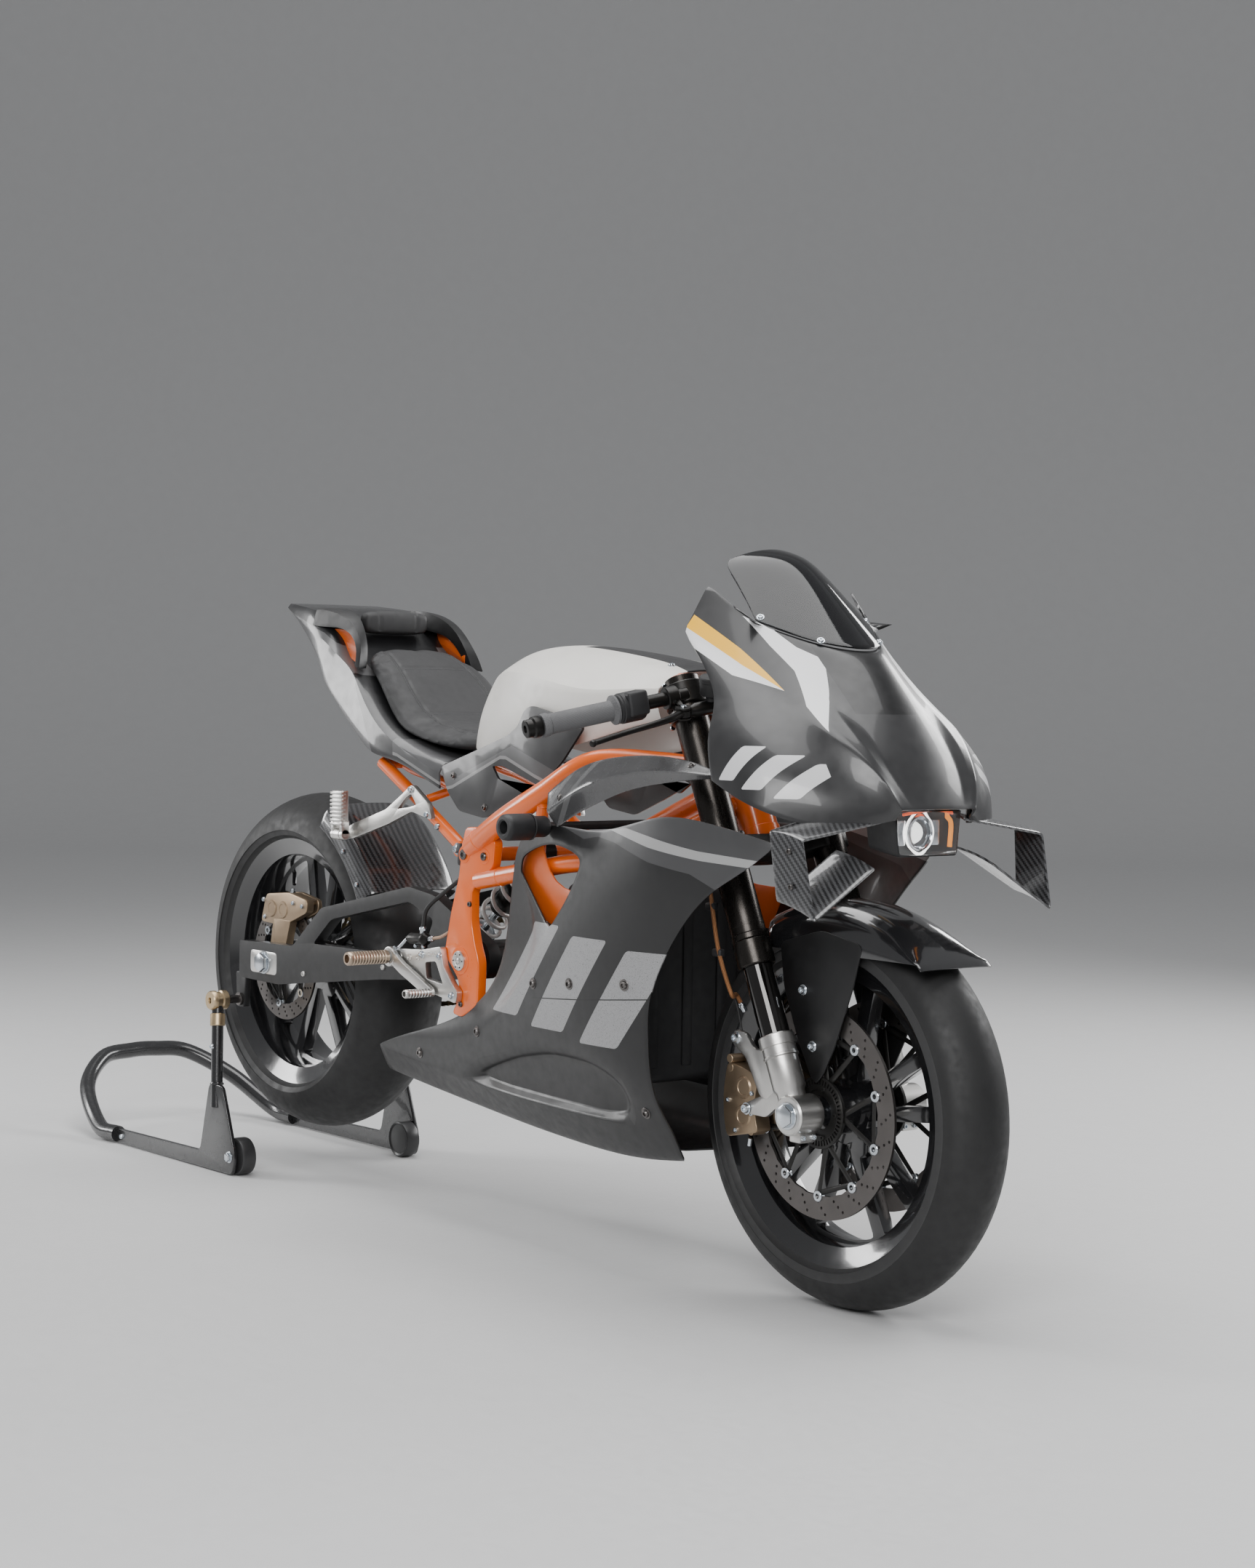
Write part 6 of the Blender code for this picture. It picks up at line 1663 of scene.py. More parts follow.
bm = bmesh.new()
tank_lines = [[(x, *half[k]) for x, half in TANK_SECTIONS] for k in range(4, -1, -1)]
skin(bm, both_halves(tank_lines), creases=((2, 0.75), (6, 0.75), (3, 0.2), (5, 0.2)),
     inside=at(0.88, 0, 0.85))
tank = piece("tank_cover_skin", bm, "tank_cover", tank_finish())
softened(tank, 3)
wall(tank, 0.0030)
places = [at(x, y, 1.3) for y in (-0.045, 0.045) for x in (1.085, 0.668)]
panel_screws("tank_cover_screws", tank, "tank_cover", places, (0, 0, -1), 0.0045, 0.003,
             BRIGHT_STEEL)

# %% [markdown]
# The tail.  Its deck ends in a point, its lower flank is painted a lighter grey as a highlight,
# and on each side an arch frames an air outlet that is lined in orange.

# %% Tail cowl
TAIL_LINES = [
    [(0.600, 0.156, 0.748), (0.470, 0.160, 0.796), (0.395, 0.162, 0.798), (0.340, 0.158, 0.836),
     (0.250, 0.150, 0.902), (0.212, 0.146, 0.928), (0.186, 0.140, 0.968), (0.110, 0.126, 1.024),
     (0.020, 0.100, 1.058)],
    [(0.600, 0.158, 0.775), (0.470, 0.163, 0.818), (0.395, 0.160, 0.862), (0.335, 0.150, 0.914),
     (0.300, 0.140, 0.950), (0.238, 0.136, 0.978), (0.184, 0.136, 1.008), (0.110, 0.132, 1.036),
     (0.020, 0.106, 1.064)],
    [(0.600, 0.146, 0.792), (0.470, 0.148, 0.826), (0.395, 0.144, 0.868), (0.335, 0.130, 0.920),
     (0.290, 0.118, 0.950), (0.236, 0.108, 0.976), (0.176, 0.118, 1.052), (0.105, 0.120, 1.064),
     (0.016, 0.098, 1.072)],
    [(0.600, 0.0, 0.792), (0.470, 0.0, 0.822), (0.395, 0.0, 0.864), (0.335, 0.0, 0.916),
     (0.290, 0.0, 0.946), (0.236, 0.0, 0.970), (0.176, 0.0, 1.056), (0.105, 0.0, 1.069),
     (-0.018, 0.0, 1.074)]]
# Upper edge of the painted highlight: below this line the tail's lower flank is painted a lighter grey
FLANK_HIGHLIGHT_LINE = [(0.000, 1.066), (0.110, 1.040), (0.185, 1.016), (0.240, 0.985), (0.293, 0.955),
              (0.358, 0.866), (0.394, 0.807), (0.420, 0.780)]


def tail_finish():
    m = surface("tail_paint", (0.012, 0.012, 0.013), 0.34, coat=0.35, drift=0.1)
    x, y, z = from_rear_axle(m)
    wide = maths(m, 'ABSOLUTE', y)
    zigzag(m, maths(m, 'MAXIMUM', x, ZIGZAG_TOP[0][0]), z)
    paint_over(m, maths(m, 'LESS_THAN', x, 0.462), (0.012, 0.012, 0.013))
    # painted highlight: the lower flank is painted lighter grey where it catches the light
    flank_highlight = both(m, maths(m, 'LESS_THAN', z, profile_line(m, x, FLANK_HIGHLIGHT_LINE)),
                 maths(m, 'GREATER_THAN', wide, 0.09), maths(m, 'LESS_THAN', x, 0.405))
    paint_over(m, flank_highlight, (0.10, 0.10, 0.102))
    return m


TAIL_PAINT = tail_finish()
bm = bmesh.new()
skin(bm, both_halves(TAIL_LINES), creases=((1, 0.85), (2, 0.7), (4, 0.7), (5, 0.85)),
     inside=at(0.30, 0, 0.86))
tail = piece("tail_cowl_skin", bm, "tail_cowl", TAIL_PAINT, smooth=50)
softened(tail, 2)
wall(tail, 0.0032)
ARCH = [
    [(0.150, 0.132, 1.030), (0.190, 0.129, 1.026), (0.236, 0.120, 1.026), (0.276, 0.122, 1.006),
     (0.297, 0.131, 0.980), (0.302, 0.138, 0.956)],
    [(0.150, 0.124, 1.060), (0.200, 0.119, 1.056), (0.262, 0.116, 1.036), (0.296, 0.120, 1.000),
     (0.308, 0.130, 0.972), (0.312, 0.136, 0.950)],
    [(0.150, 0.080, 1.063), (0.202, 0.080, 1.062), (0.262, 0.096, 1.040), (0.292, 0.104, 1.000),
     (0.302, 0.110, 0.974), (0.306, 0.116, 0.952)],
    [(0.150, 0.076, 1.030), (0.202, 0.076, 1.026), (0.250, 0.092, 1.018), (0.274, 0.100, 0.996),
     (0.288, 0.106, 0.974), (0.292, 0.110, 0.956)]]


def make_arch(word, side):
    bm = bmesh.new()
    skin(bm, on_side(ARCH, side), creases=((1, 0.7), (2, 0.7)), inside=at(0.22, side * 0.10, 1.0))
    obj = piece(f"tail_arch_{word}", bm, "tail_cowl", MATTE_BLACK, False)
    softened(obj, 2)
    wall(obj, 0.003)
    liner = bmesh.new()
    back = [[(0.172, 0.118, 1.022), (0.240, 0.104, 1.026), (0.296, 0.112, 0.985)],
            [(0.176, 0.112, 1.006), (0.240, 0.098, 1.000), (0.292, 0.106, 0.968)],
            [(0.186, 0.120, 1.000), (0.240, 0.112, 0.974), (0.292, 0.120, 0.956)]]
    skin(liner, on_side(back, side), inside=at(0.24, 0, 0.98))
    lining = piece(f"tail_outlet_liner_{word}", liner, "tail_cowl", LINER_ORANGE, False)
    softened(lining, 2)
    wall(lining, 0.0025)


for_each_side(make_arch)

# %% [markdown]
# ## Frame
# The orange frame: two bent rails a side run from the head tube to a plate at the swingarm
# pivot.  Round bosses and a turned disc mark the bolts, and small weld beads join the tubes.

# %% Main frame
def bead(bm, place, way, radius, thickness=0.0022):
    """A weld bead round a tube."""
    way = Vector(way).normalized()
    profile = [(radius - 0.001 + thickness * cos(radians(a)), thickness * sin(radians(a)))
               for a in range(0, 360, 45)]
    turned(bm, place, way, profile, 36, closed=True)


RAIL = [(1.188, 0.018, 0.792), (1.118, 0.082, 0.806), (1.034, 0.158, 0.806),
        (0.935, 0.182, 0.755), (0.820, 0.180, 0.705), (0.713, 0.165, 0.655)]
LOWER_RAIL = [(1.222, 0.020, 0.745), (1.110, 0.140, 0.665), (0.960, 0.165, 0.640),
              (0.735, 0.165, 0.600)]
PLATE_OUTLINE = [(0.696, 0.660), (0.687, 0.604), (0.666, 0.544), (0.647, 0.470), (0.668, 0.452),
                 (0.690, 0.430), (0.693, 0.403), (0.672, 0.372), (0.700, 0.368), (0.746, 0.393),
                 (0.748, 0.466), (0.735, 0.494), (0.725, 0.531), (0.724, 0.582), (0.756, 0.605),
                 (0.784, 0.625), (0.790, 0.670), (0.740, 0.690), (0.705, 0.688)]
PIVOT = (0.695, 0.463)
SHOCK_TOP = (0.690, 0.640)
PLATE_IN, PLATE_OUT = 0.1560, 0.1748


def points_on(side, points):
    return [at(x, side * y, z) for x, y, z in points]


def make_main_frame():
    bm = bmesh.new()
    tube_ring(bm, fork_at(0, 0.4425, 0, 0), fork_at(0, 0.6295, 0, 0), 0.0300, 0.0268, 48, 0.0015)
    for along in (0.4425, 0.6115):
        tube_ring(bm, fork_at(0, along, 0, 0), fork_at(0, along + 0.018, 0, 0), 0.0318, 0.0285, 48)
    bolts = bmesh.new()
    for side in (-1, 1):
        swept(bm, smooth_route(points_on(side, RAIL), 8), 0.019, 32)
        swept(bm, smooth_route(points_on(side, LOWER_RAIL), 8), 0.015, 28)
        outline = rounded(on_rear(PLATE_OUTLINE), 0.010, 5)
        plate(bm, [outline], *sorted((side * PLATE_IN, side * PLATE_OUT)), bevel=0.0035, segments=4)
        brace = points_on(side, [(0.935, 0.183, 0.752), (0.900, 0.166, 0.632)])
        rod(bm, *brace, 0.010, 24)
        bead(bm, brace[0].lerp(brace[1], 0.15), brace[1] - brace[0], 0.010)
        bead(bm, brace[0].lerp(brace[1], 0.88), brace[1] - brace[0], 0.010)
        for route, radius in ((RAIL, 0.019), (LOWER_RAIL, 0.015)):
            end = points_on(side, route)
            bead(bm, end[-2].lerp(end[-1], 0.72), end[-1] - end[-2], radius)
        way = Vector((0, side, 0))
        for x, z, radius in ((0.7035, 0.642, 0.015), (0.762, 0.642, 0.013), (*PIVOT, 0.024)):
            place = at(x, side * (PLATE_OUT - 0.001), z)
            rod(bm, place, place + way * 0.0022, radius, 40, chamfer=0.0008)
        for x, z, radius in ((0.7035, 0.642, 0.0088), (0.762, 0.642, 0.0070)):
            place = at(x, side * (PLATE_OUT + 0.0008), z)
            turned(bolts, place, way,
                   [(0, 0), (radius, 0), (radius, 0.0028), (radius * 0.86, 0.0040),
                    (radius * 0.42, 0.0040), (radius * 0.42, 0.0012), (0, 0.0012)], 32)
            for number in range(6):
                a = tau * number / 6
                spot = Vector((cos(a) * radius * 0.66, side * 0.0036, sin(a) * radius * 0.66))
                bolt(bolts, place + spot, way, radius * 0.10, 0.0008, 8)
        for x, z in ((0.722, 0.560), (0.700, 0.390)):
            bolt(bolts, at(x, side * PLATE_OUT, z), way, 0.0048, 0.0035, 20)
    rod(bm, at(SHOCK_TOP[0], -0.160, SHOCK_TOP[1]), at(SHOCK_TOP[0], 0.160, SHOCK_TOP[1]), 0.012, 28)
    rod(bm, at(0.700, -0.160, 0.380), at(0.700, 0.160, 0.380), 0.009, 24)
    piece("main_frame_welded", bm, "main_frame", ORANGE, smooth=40)
    piece("main_frame_bolts", bolts, "main_frame", DARK_STEEL, False)


make_main_frame()

# %% [markdown]
# The subframe is lighter tube, bolted to the frame at its front ends.

# %% Subframe
LOW_TUBE = [(0.652, 0.140, 0.648), (0.520, 0.140, 0.722), (0.400, 0.140, 0.786)]
HIGH_TUBE = [(0.650, 0.095, 0.722), (0.500, 0.095, 0.762), (0.400, 0.095, 0.786),
             (0.280, 0.092, 0.862), (0.110, 0.080, 0.975)]
bm = bmesh.new()
screws = bmesh.new()
rod(bm, at(0.400, -0.140, 0.786), at(0.400, 0.140, 0.786), 0.0105, 24)
for side in (-1, 1):
    low, high = points_on(side, LOW_TUBE), points_on(side, HIGH_TUBE)
    swept(bm, smooth_route(low, 6), 0.011, 24)
    swept(bm, smooth_route(high, 6), 0.0095, 24)
    rod(bm, low[1], at(0.560, side * 0.097, 0.744), 0.0075, 20)
    bead(bm, low[1].lerp(at(0.560, side * 0.097, 0.744), 0.24), at(0.560, side * 0.097, 0.744) - low[1],
         0.0075, 0.0016)
    foot = low[0]
    tube_ring(bm, foot - Vector((0, side * 0.010, 0)), foot + Vector((0, side * 0.013, 0)), 0.0135,
              0.0045, 28)
    tube_ring(screws, foot + Vector((0, side * 0.0125, 0)), foot + Vector((0, side * 0.0142, 0)), 0.0105,
              0.004, 28)
    bolt(screws, foot + Vector((0, side * 0.0138, 0)), (0, side, 0), 0.0075, 0.0055, 22)
    bolt(screws, at(0.590, side * 0.1505, 0.6825), (0, side, 0), 0.0058, 0.0042, 20)
piece("subframe_tubes", bm, "subframe", ORANGE)
piece("subframe_screws", screws, "subframe", BRIGHT_STEEL, False)

# %% [markdown]
# The drive: a finned battery case, and a round motor with a ribbed shell and a bolted end
# cover.

# %% Battery and motor
LOW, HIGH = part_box("battery_case")
bm = bmesh.new()
block(bm, LOW + Vector((0.003, 0.003, 0.003)), HIGH - Vector((0.003, 0.003, 0.003)), 0.016, 4)
for k in range(9):
    z = LOW.z + 0.045 + k * (HIGH.z - LOW.z - 0.09) / 8
    block(bm, (LOW.x + 0.018, LOW.y, z - 0.004), (HIGH.x - 0.018, HIGH.y, z + 0.004), 0.0018)
for y in (-0.07, 0.0, 0.07):
    block(bm, (LOW.x, y - 0.010, LOW.z + 0.03), (HIGH.x, y + 0.010, HIGH.z - 0.03), 0.002)
piece("battery_case_cast", bm, "battery_case", MOULDED)
MOTOR = at(0.820, 0, 0.455)
FRONT_GEAR = at(0.765, 0, 0.455)
bm = bmesh.new()
turned(bm, MOTOR - Vector((0, 0.095, 0)), (0, 1, 0),
       [(0, 0), (0.026, 0), (0.030, 0.004), (0.060, 0.005), (0.066, 0.010), (0.066, 0.020),
        (0.062, 0.022), (0.062, 0.168), (0.066, 0.170), (0.066, 0.180), (0.060, 0.185),
        (0.030, 0.186), (0.026, 0.190), (0, 0.190)], 72)
for k in range(15):
    y = -0.066 + k * 0.0094
    tube_ring(bm, MOTOR + Vector((0, y, 0)), MOTOR + Vector((0, y + 0.0034, 0)), 0.0698, 0.058, 72)
turned(bm, FRONT_GEAR + Vector((0, 0.060, 0)), (0, 1, 0),
       [(0, 0), (0.036, 0), (0.036, 0.028), (0.031, 0.034), (0.014, 0.035), (0.010, 0.0355),
        (0.010, 0.0500), (0, 0.0500)], 48)
piece("motor_cast", bm, "motor", CAST_GREY)
bm = bmesh.new()
for number in range(8):
    a = tau * (number + 0.5) / 8
    for way in (-1, 1):
        bolt(bm, MOTOR + Vector((cos(a) * 0.052, way * 0.0885, sin(a) * 0.052)), (0, way, 0), 0.0042,
             0.0035)
for number in range(5):
    a = tau * number / 5
    bolt(bm, FRONT_GEAR + Vector((cos(a) * 0.025, 0.0935, sin(a) * 0.025)), (0, 1, 0), 0.0034, 0.003)
piece("motor_screws", bm, "motor", BRIGHT_STEEL, False)

# %% [markdown]
# Turned pieces on the chassis: the pivot axle with its drilled discs, and the hollow crash
# bobbins that stand out through the fairings.

# %% Pivot axle and crash bobbins
bm = bmesh.new()
discs = bmesh.new()
rod(bm, at(PIVOT[0], -0.1770, PIVOT[1]), at(PIVOT[0], 0.1770, PIVOT[1]), 0.0100, 32)
for side in (-1, 1):
    face = at(PIVOT[0], side * 0.1756, PIVOT[1])
    turned(bm, face, (0, side, 0), [(0, 0), (0.0165, 0), (0.0165, 0.0030), (0.0150, 0.0042),
                                   (0.0095, 0.0042), (0.0085, 0.0020), (0, 0.0020)], 48)
    hexagon(bm, face + Vector((0, side * 0.0018, 0)), (0, side, 0), 0.0050, 0.0018)
    for number in range(6):
        a = tau * number / 6
        bolt(discs, face + Vector((cos(a) * 0.0124, side * 0.0038, sin(a) * 0.0124)), (0, side, 0),
             0.0014, 0.0012, 10)
piece("swingarm_pivot_discs", bm, "swingarm_pivot_axle", MACHINED)
piece("swingarm_pivot_holes", discs, "swingarm_pivot_axle", MOULDED, False)
BOBBIN = at(0.985, 0, 0.704)
bm = bmesh.new()
caps = bmesh.new()
rod(bm, BOBBIN - Vector((0, 0.220, 0)), BOBBIN + Vector((0, 0.220, 0)), 0.0070, 20)
for side in (-1, 1):
    turned(bm, BOBBIN + Vector((0, side * 0.216, 0)), (0, side, 0),
           [(0, 0), (0.0150, 0), (0.0170, 0.004), (0.0170, 0.030), (0.0200, 0.034), (0.0213, 0.037),
            (0.0213, 0.074), (0.0205, 0.080), (0.0180, 0.0835), (0.0130, 0.0840), (0.0105, 0.082),
            (0.0100, 0.060), (0, 0.060)], 56)
    tube_ring(bm, BOBBIN + Vector((0, side * 0.2465, 0)), BOBBIN + Vector((0, side * 0.2490, 0)), 0.0215,
              0.016, 48, 0.0005)
    hexagon(caps, BOBBIN + Vector((0, side * 0.2765, 0)), (0, side, 0), 0.0082, 0.0060)
piece("crash_bobbin_turned", bm, "crash_bobbins", MOULDED)
piece("crash_bobbin_bolts", caps, "crash_bobbins", DARK_STEEL, False)

# %% [markdown]
# ## Rear end
# The swingarm is a fabricated pair of arms with a window, a bridge box, a slotted end with
# its chain adjuster, and the spools that the stand lifts by.

# %% Swingarm
SHOCK_EYE = (0.470, 0.455)
ARM_Y = (0.1132, 0.1368)
ARM_OUTLINE = [(-0.092, 0.362), (0.050, 0.360), (0.399, 0.402), (0.532, 0.413),
               *arc(PIVOT, 0.034, -70, 75, 9),
               (0.560, 0.562), (0.482, 0.572), (0.197, 0.514), (0.099, 0.436), (-0.092, 0.432)]
ARM_WINDOW = [(0.170, 0.446), (0.232, 0.496), (0.483, 0.546), (0.560, 0.520), (0.523, 0.452)]
AXLE = (0.0, 0.397)


def make_swingarm():
    bm = bmesh.new()
    bolts = bmesh.new()
    adjusters = bmesh.new()
    for side in (-1, 1):
        low, high = sorted(side * y for y in ARM_Y)
        plate(bm, [rounded(on_rear(ARM_OUTLINE), 0.007, 4), rounded(on_rear(ARM_WINDOW), 0.012, 5)],
              low, high, bevel=0.0035, segments=4)
        lug = [(-0.105, 0.372), (-0.100, 0.305), (-0.074, 0.305), (-0.066, 0.372)]
        plate(bm, [rounded(on_rear(lug), 0.006)], *sorted((side * 0.1235, side * 0.1365)), bevel=0.002)
        way = Vector((0, side, 0))
        tip = at(-0.087, side * 0.130, 0.320)
        turned(bolts, tip, way, [(0, 0), (0.0080, 0), (0.0080, 0.048), (0.0078, 0.062), (0.0070, 0.070),
                                 (0.0040, 0.070), (0.0040, 0.066), (0, 0.066)], 32)
        tube_ring(bolts, tip + way * 0.006, tip + way * 0.012, 0.0125, 0.007, 32)
        corners = [(-0.050, 0.376), (0.044, 0.376), (0.044, 0.418), (-0.050, 0.418)]
        face = rounded(on_rear(corners), 0.010, 5)
        plate(adjusters, [face], *sorted((side * 0.1358, side * 0.1372)), bevel=0.0006)
        for k in range(7):
            x = -0.028 + k * 0.008
            block(adjusters, at(x - 0.0006, side * 0.1368 - 0.0008, 0.3795),
                  at(x + 0.0006, side * 0.1368 + 0.0008, 0.3835), 0.0002, 1)
        rod(adjusters, at(-0.104, side * 0.125, 0.397), at(-0.088, side * 0.125, 0.397), 0.0042, 16)
        hexagon(adjusters, at(-0.0925, side * 0.125, 0.397), (-1, 0, 0), 0.0078, 0.0055)
        for x, z in ((0.140, 0.388), (0.405, 0.424)):
            bolt(adjusters, at(x, side * 0.1366, z), way, 0.0052, 0.0034, 20)
    rod(bm, at(PIVOT[0], -0.119, PIVOT[1]), at(PIVOT[0], 0.119, PIVOT[1]), 0.018, 36)
    block(bm, at(0.561, -0.1145, 0.425), at(0.624, 0.1145, 0.481), 0.008, 4)
    for side in (-1, 1):
        ear = [(0.570, 0.430), (0.470, 0.441), (0.457, 0.455), (0.470, 0.467), (0.570, 0.452)]
        plate(bm, [rounded(on_rear(ear), 0.005)], *sorted((side * 0.0162, side * 0.0238)), bevel=0.0015)
        rod(bm, at(0.470, side * 0.0135, 0.455), at(0.470, side * 0.0230, 0.455), 0.0058, 20)
        rod(bm, at(0.630, side * 0.060, 0.452), at(0.610, side * 0.060, 0.452), 0.010, 20)
    rod(bm, at(0.470, -0.0200, 0.455), at(0.470, 0.0200, 0.455), 0.0058, 20)
    piece("swingarm_fabricated", bm, "swingarm", MATTE_BLACK)
    piece("swingarm_spools", bolts, "swingarm", DARK_STEEL, False)
    piece("swingarm_adjusters", adjusters, "swingarm", MACHINED, False)


make_swingarm()
bm = bmesh.new()
rod(bm, at(AXLE[0], -0.1465, AXLE[1]), at(AXLE[0], 0.1465, AXLE[1]), 0.0123, 36)
for side in (-1, 1):
    face = at(AXLE[0], side * 0.1374, AXLE[1])
    tube_ring(bm, face, face + Vector((0, side * 0.0026, 0)), 0.0215, 0.0118, 40, 0.0006)
    hexagon(bm, face + Vector((0, side * 0.0024, 0)), (0, side, 0), 0.0185, 0.0102)
piece("rear_axle_nuts", bm, "rear_axle", BRIGHT_STEEL)

# %% [markdown]
# The carbon hugger shields the shock from the wheel.  It hangs on the arms by its sides.

# %% Rear hugger
def hugger_row(angle):
    half = [(0.292, 0.1002), (0.325, 0.0992), (0.337, 0.085), (0.341, 0.045), (0.342, 0.0)]
    points = [(r, -y) for r, y in half] + [(r, y) for r, y in half[-2::-1]]
    return [REAR_AXLE + Vector((r * cos(angle), y, r * sin(angle))) for r, y in points]


bm = bmesh.new()
skin(bm, [hugger_row(radians(26.5 + 37 * k / 8)) for k in range(9)], inside=REAR_AXLE)
hugger = piece("rear_hugger_shell", bm, "rear_hugger", CARBON, smooth=50)
softened(hugger, 2)
wall(hugger, 0.0028)
bm = bmesh.new()
for side in (-1, 1):
    for angle in (32, 46):
        place = REAR_AXLE + Vector((0.306 * cos(radians(angle)), side * 0.1004,
                                    0.306 * sin(radians(angle))))
        bolt(bm, place, (0, side, 0), 0.0048, 0.0032, 18)
piece("rear_hugger_screws", bm, "rear_hugger", BRIGHT_STEEL, False)

# %% [markdown]
# The rear caliper: two bronze halves with piston bosses, a hanger that turns on the axle,
# and bright pins.

# %% Rear caliper
bm = bmesh.new()
outline = rounded(on_rear([(-0.057, 0.470), (0.024, 0.466), (0.107, 0.497), (0.107, 0.520),
                           (0.043, 0.531), (-0.038, 0.524)]), 0.010, 4)
bridge = rounded(on_rear([(-0.040, 0.512), (0.100, 0.510), (0.104, 0.520), (0.043, 0.530),
                          (-0.036, 0.523)]), 0.004, 4)
plate(bm, [outline], -0.1115, -0.0952, bevel=0.003, segments=3)
plate(bm, [outline], -0.0866, -0.0772, bevel=0.003, segments=3)
plate(bm, [bridge], -0.1100, -0.0790, bevel=0.002, segments=2)
for x in (-0.018, 0.022):
    turned(bm, at(x, -0.1100, 0.497), (0, -1, 0), [(0, 0), (0.0165, 0), (0.0165, 0.0018),
                                                  (0.0150, 0.0034), (0.0105, 0.0034), (0.0095, 0.0024),
                                                  (0, 0.0024)], 40)
hanger = [*arc(AXLE, 0.026, 168, 372, 14), (0.050, 0.478), (-0.010, 0.478)]
plate(bm, [rounded(on_rear(hanger), 0.003), on_rear(arc(AXLE, 0.0130, 0, 345, 24))], -0.1118, -0.0962,
      bevel=0.0022, segments=3)
piece("rear_caliper_body", bm, "rear_caliper", BRONZE, smooth=40)
bm = bmesh.new()
for x, z in ((-0.045, 0.512), (0.060, 0.512), (0.092, 0.508), (-0.040, 0.480)):
    bolt(bm, at(x, -0.1112, z), (0, -1, 0), 0.0046, 0.0036, 18)
rod(bm, at(0.046, -0.104, 0.526), at(0.046, -0.104, 0.538), 0.0038, 14)
hexagon(bm, at(0.046, -0.104, 0.530), (0, 0, 1), 0.0056, 0.0035)
piece("rear_caliper_pins", bm, "rear_caliper", BRIGHT_STEEL, False)

# %% [markdown]
# The chain has real links: rollers on pins, inner and outer side plates in turn, laid along
# the path round both sprockets.  Each link is built in its own place along the path.

# %% Chain and sprockets
PITCH = 0.015875
CHAIN_Y = 0.1035
FRONT_PATH_R, REAR_PATH_R = 0.0425, 0.1058
span = FRONT_GEAR - REAR_AXLE
tilt = asin((FRONT_GEAR.z - REAR_AXLE.z) / hypot(span.x, span.z))
lean = asin((REAR_PATH_R - FRONT_PATH_R) / hypot(span.x, span.z))


def path_arc(centre, radius, start, stop, count):
    return [Vector((centre.x + radius * cos(start + (stop - start) * k / count), CHAIN_Y,
                    centre.z + radius * sin(start + (stop - start) * k / count)))
            for k in range(count + 1)]


chain_path = path_arc(FRONT_GEAR, FRONT_PATH_R, tilt - pi / 2 + lean, tilt + pi / 2 - lean, 24)
chain_path += path_arc(REAR_AXLE, REAR_PATH_R, tilt + pi / 2 - lean, tilt + 1.5 * pi + lean, 48)
chain_path.append(chain_path[0])
lengths = [0.0]
for a, b in zip(chain_path, chain_path[1:]):
    lengths.append(lengths[-1] + (b - a).length)
LINKS = 2 * round(lengths[-1] / PITCH / 2)


def along_chain(distance):
    distance %= lengths[-1]
    k = max(i for i, length in enumerate(lengths[:-1]) if length <= distance)
    share = (distance - lengths[k]) / (lengths[k + 1] - lengths[k])
    return chain_path[k].lerp(chain_path[k + 1], share)


def link_outline(start, end, radius):
    """A waisted side plate round two pins."""
    ahead = (end - start).normalized()
    base = degrees(atan2(ahead.z, ahead.x))
    waist = (start + end) / 2
    up = Vector((-ahead.z, 0, ahead.x)) * radius * 0.72
    return [*arc((end.x, end.z), radius, base - 70, base + 70, 6),
            (waist.x + up.x, waist.z + up.z),
            *arc((start.x, start.z), radius, base + 110, base + 250, 6),
            (waist.x - up.x, waist.z - up.z)]


bm = bmesh.new()
step = lengths[-1] / LINKS
for number in range(LINKS):
    start, end = along_chain(number * step), along_chain((number + 1) * step)
    reach_out = 0.0064 if number % 2 else 0.0048
    link = bmesh.new()
    for way in (-1, 1):
        low, high = sorted((CHAIN_Y + way * reach_out, CHAIN_Y + way * (reach_out + 0.0013)))
        plate(link, [link_outline(start, end, 0.0050)], low, high, bevel=0)
    rod(link, start - Vector((0, 0.0078, 0)), start + Vector((0, 0.0078, 0)), 0.0020, 8, chamfer=0)
    rod(link, start - Vector((0, 0.0046, 0)), start + Vector((0, 0.0046, 0)), 0.0040, 10, chamfer=0)
    merge(bm, link)
CHAIN_STEEL = surface("oiled_chain_steel", (0.20, 0.155, 0.09), 0.36, metallic=0.95, drift=0.25)
piece("chain_links", bm, "chain", CHAIN_STEEL)


def toothed(centre, root, tip, teeth):
    outline = []
    for number in range(teeth):
        base = tau * number / teeth
        for share, r in ((-0.30, root), (-0.12, tip), (0.12, tip), (0.30, root)):
            a = base + share * tau / teeth
            outline.append((centre.x + r * cos(a), centre.z + r * sin(a)))
    return outline


bm = bmesh.new()
gear_centre = (REAR_AXLE.x, REAR_AXLE.z)
holes = [arc(around(gear_centre, 0.066, a), 0.0125, 0, 345, 20) for a in range(0, 360, 45)]
plate(bm, [toothed(REAR_AXLE, 0.0925, 0.0985, 40), arc(gear_centre, 0.0405, 0, 352.5, 44), *holes],
      0.1003, 0.1057, bevel=0.0006, segments=1)
for number in range(6):
    a = radians(60 * number + 22.5)
    place = REAR_AXLE + Vector((0.049 * cos(a), 0.1055, 0.049 * sin(a)))
    hexagon(bm, place, (0, 1, 0), 0.0068, 0.0042)
piece("rear_sprocket_cut", bm, "rear_sprocket", DARK_STEEL)
bm = bmesh.new()
bore = arc((FRONT_GEAR.x, FRONT_GEAR.z), 0.0104, 0, 345, 24)
plate(bm, [toothed(FRONT_GEAR, 0.0215, 0.0272, 12), bore], 0.1003, 0.1067, bevel=0.0006,
      segments=1)
tube_ring(bm, FRONT_GEAR + Vector((0, 0.1062, 0)), FRONT_GEAR + Vector((0, 0.1069, 0)),
          0.0165, 0.0104, 36)
piece("drive_sprocket_cut", bm, "drive_sprocket", DARK_STEEL)
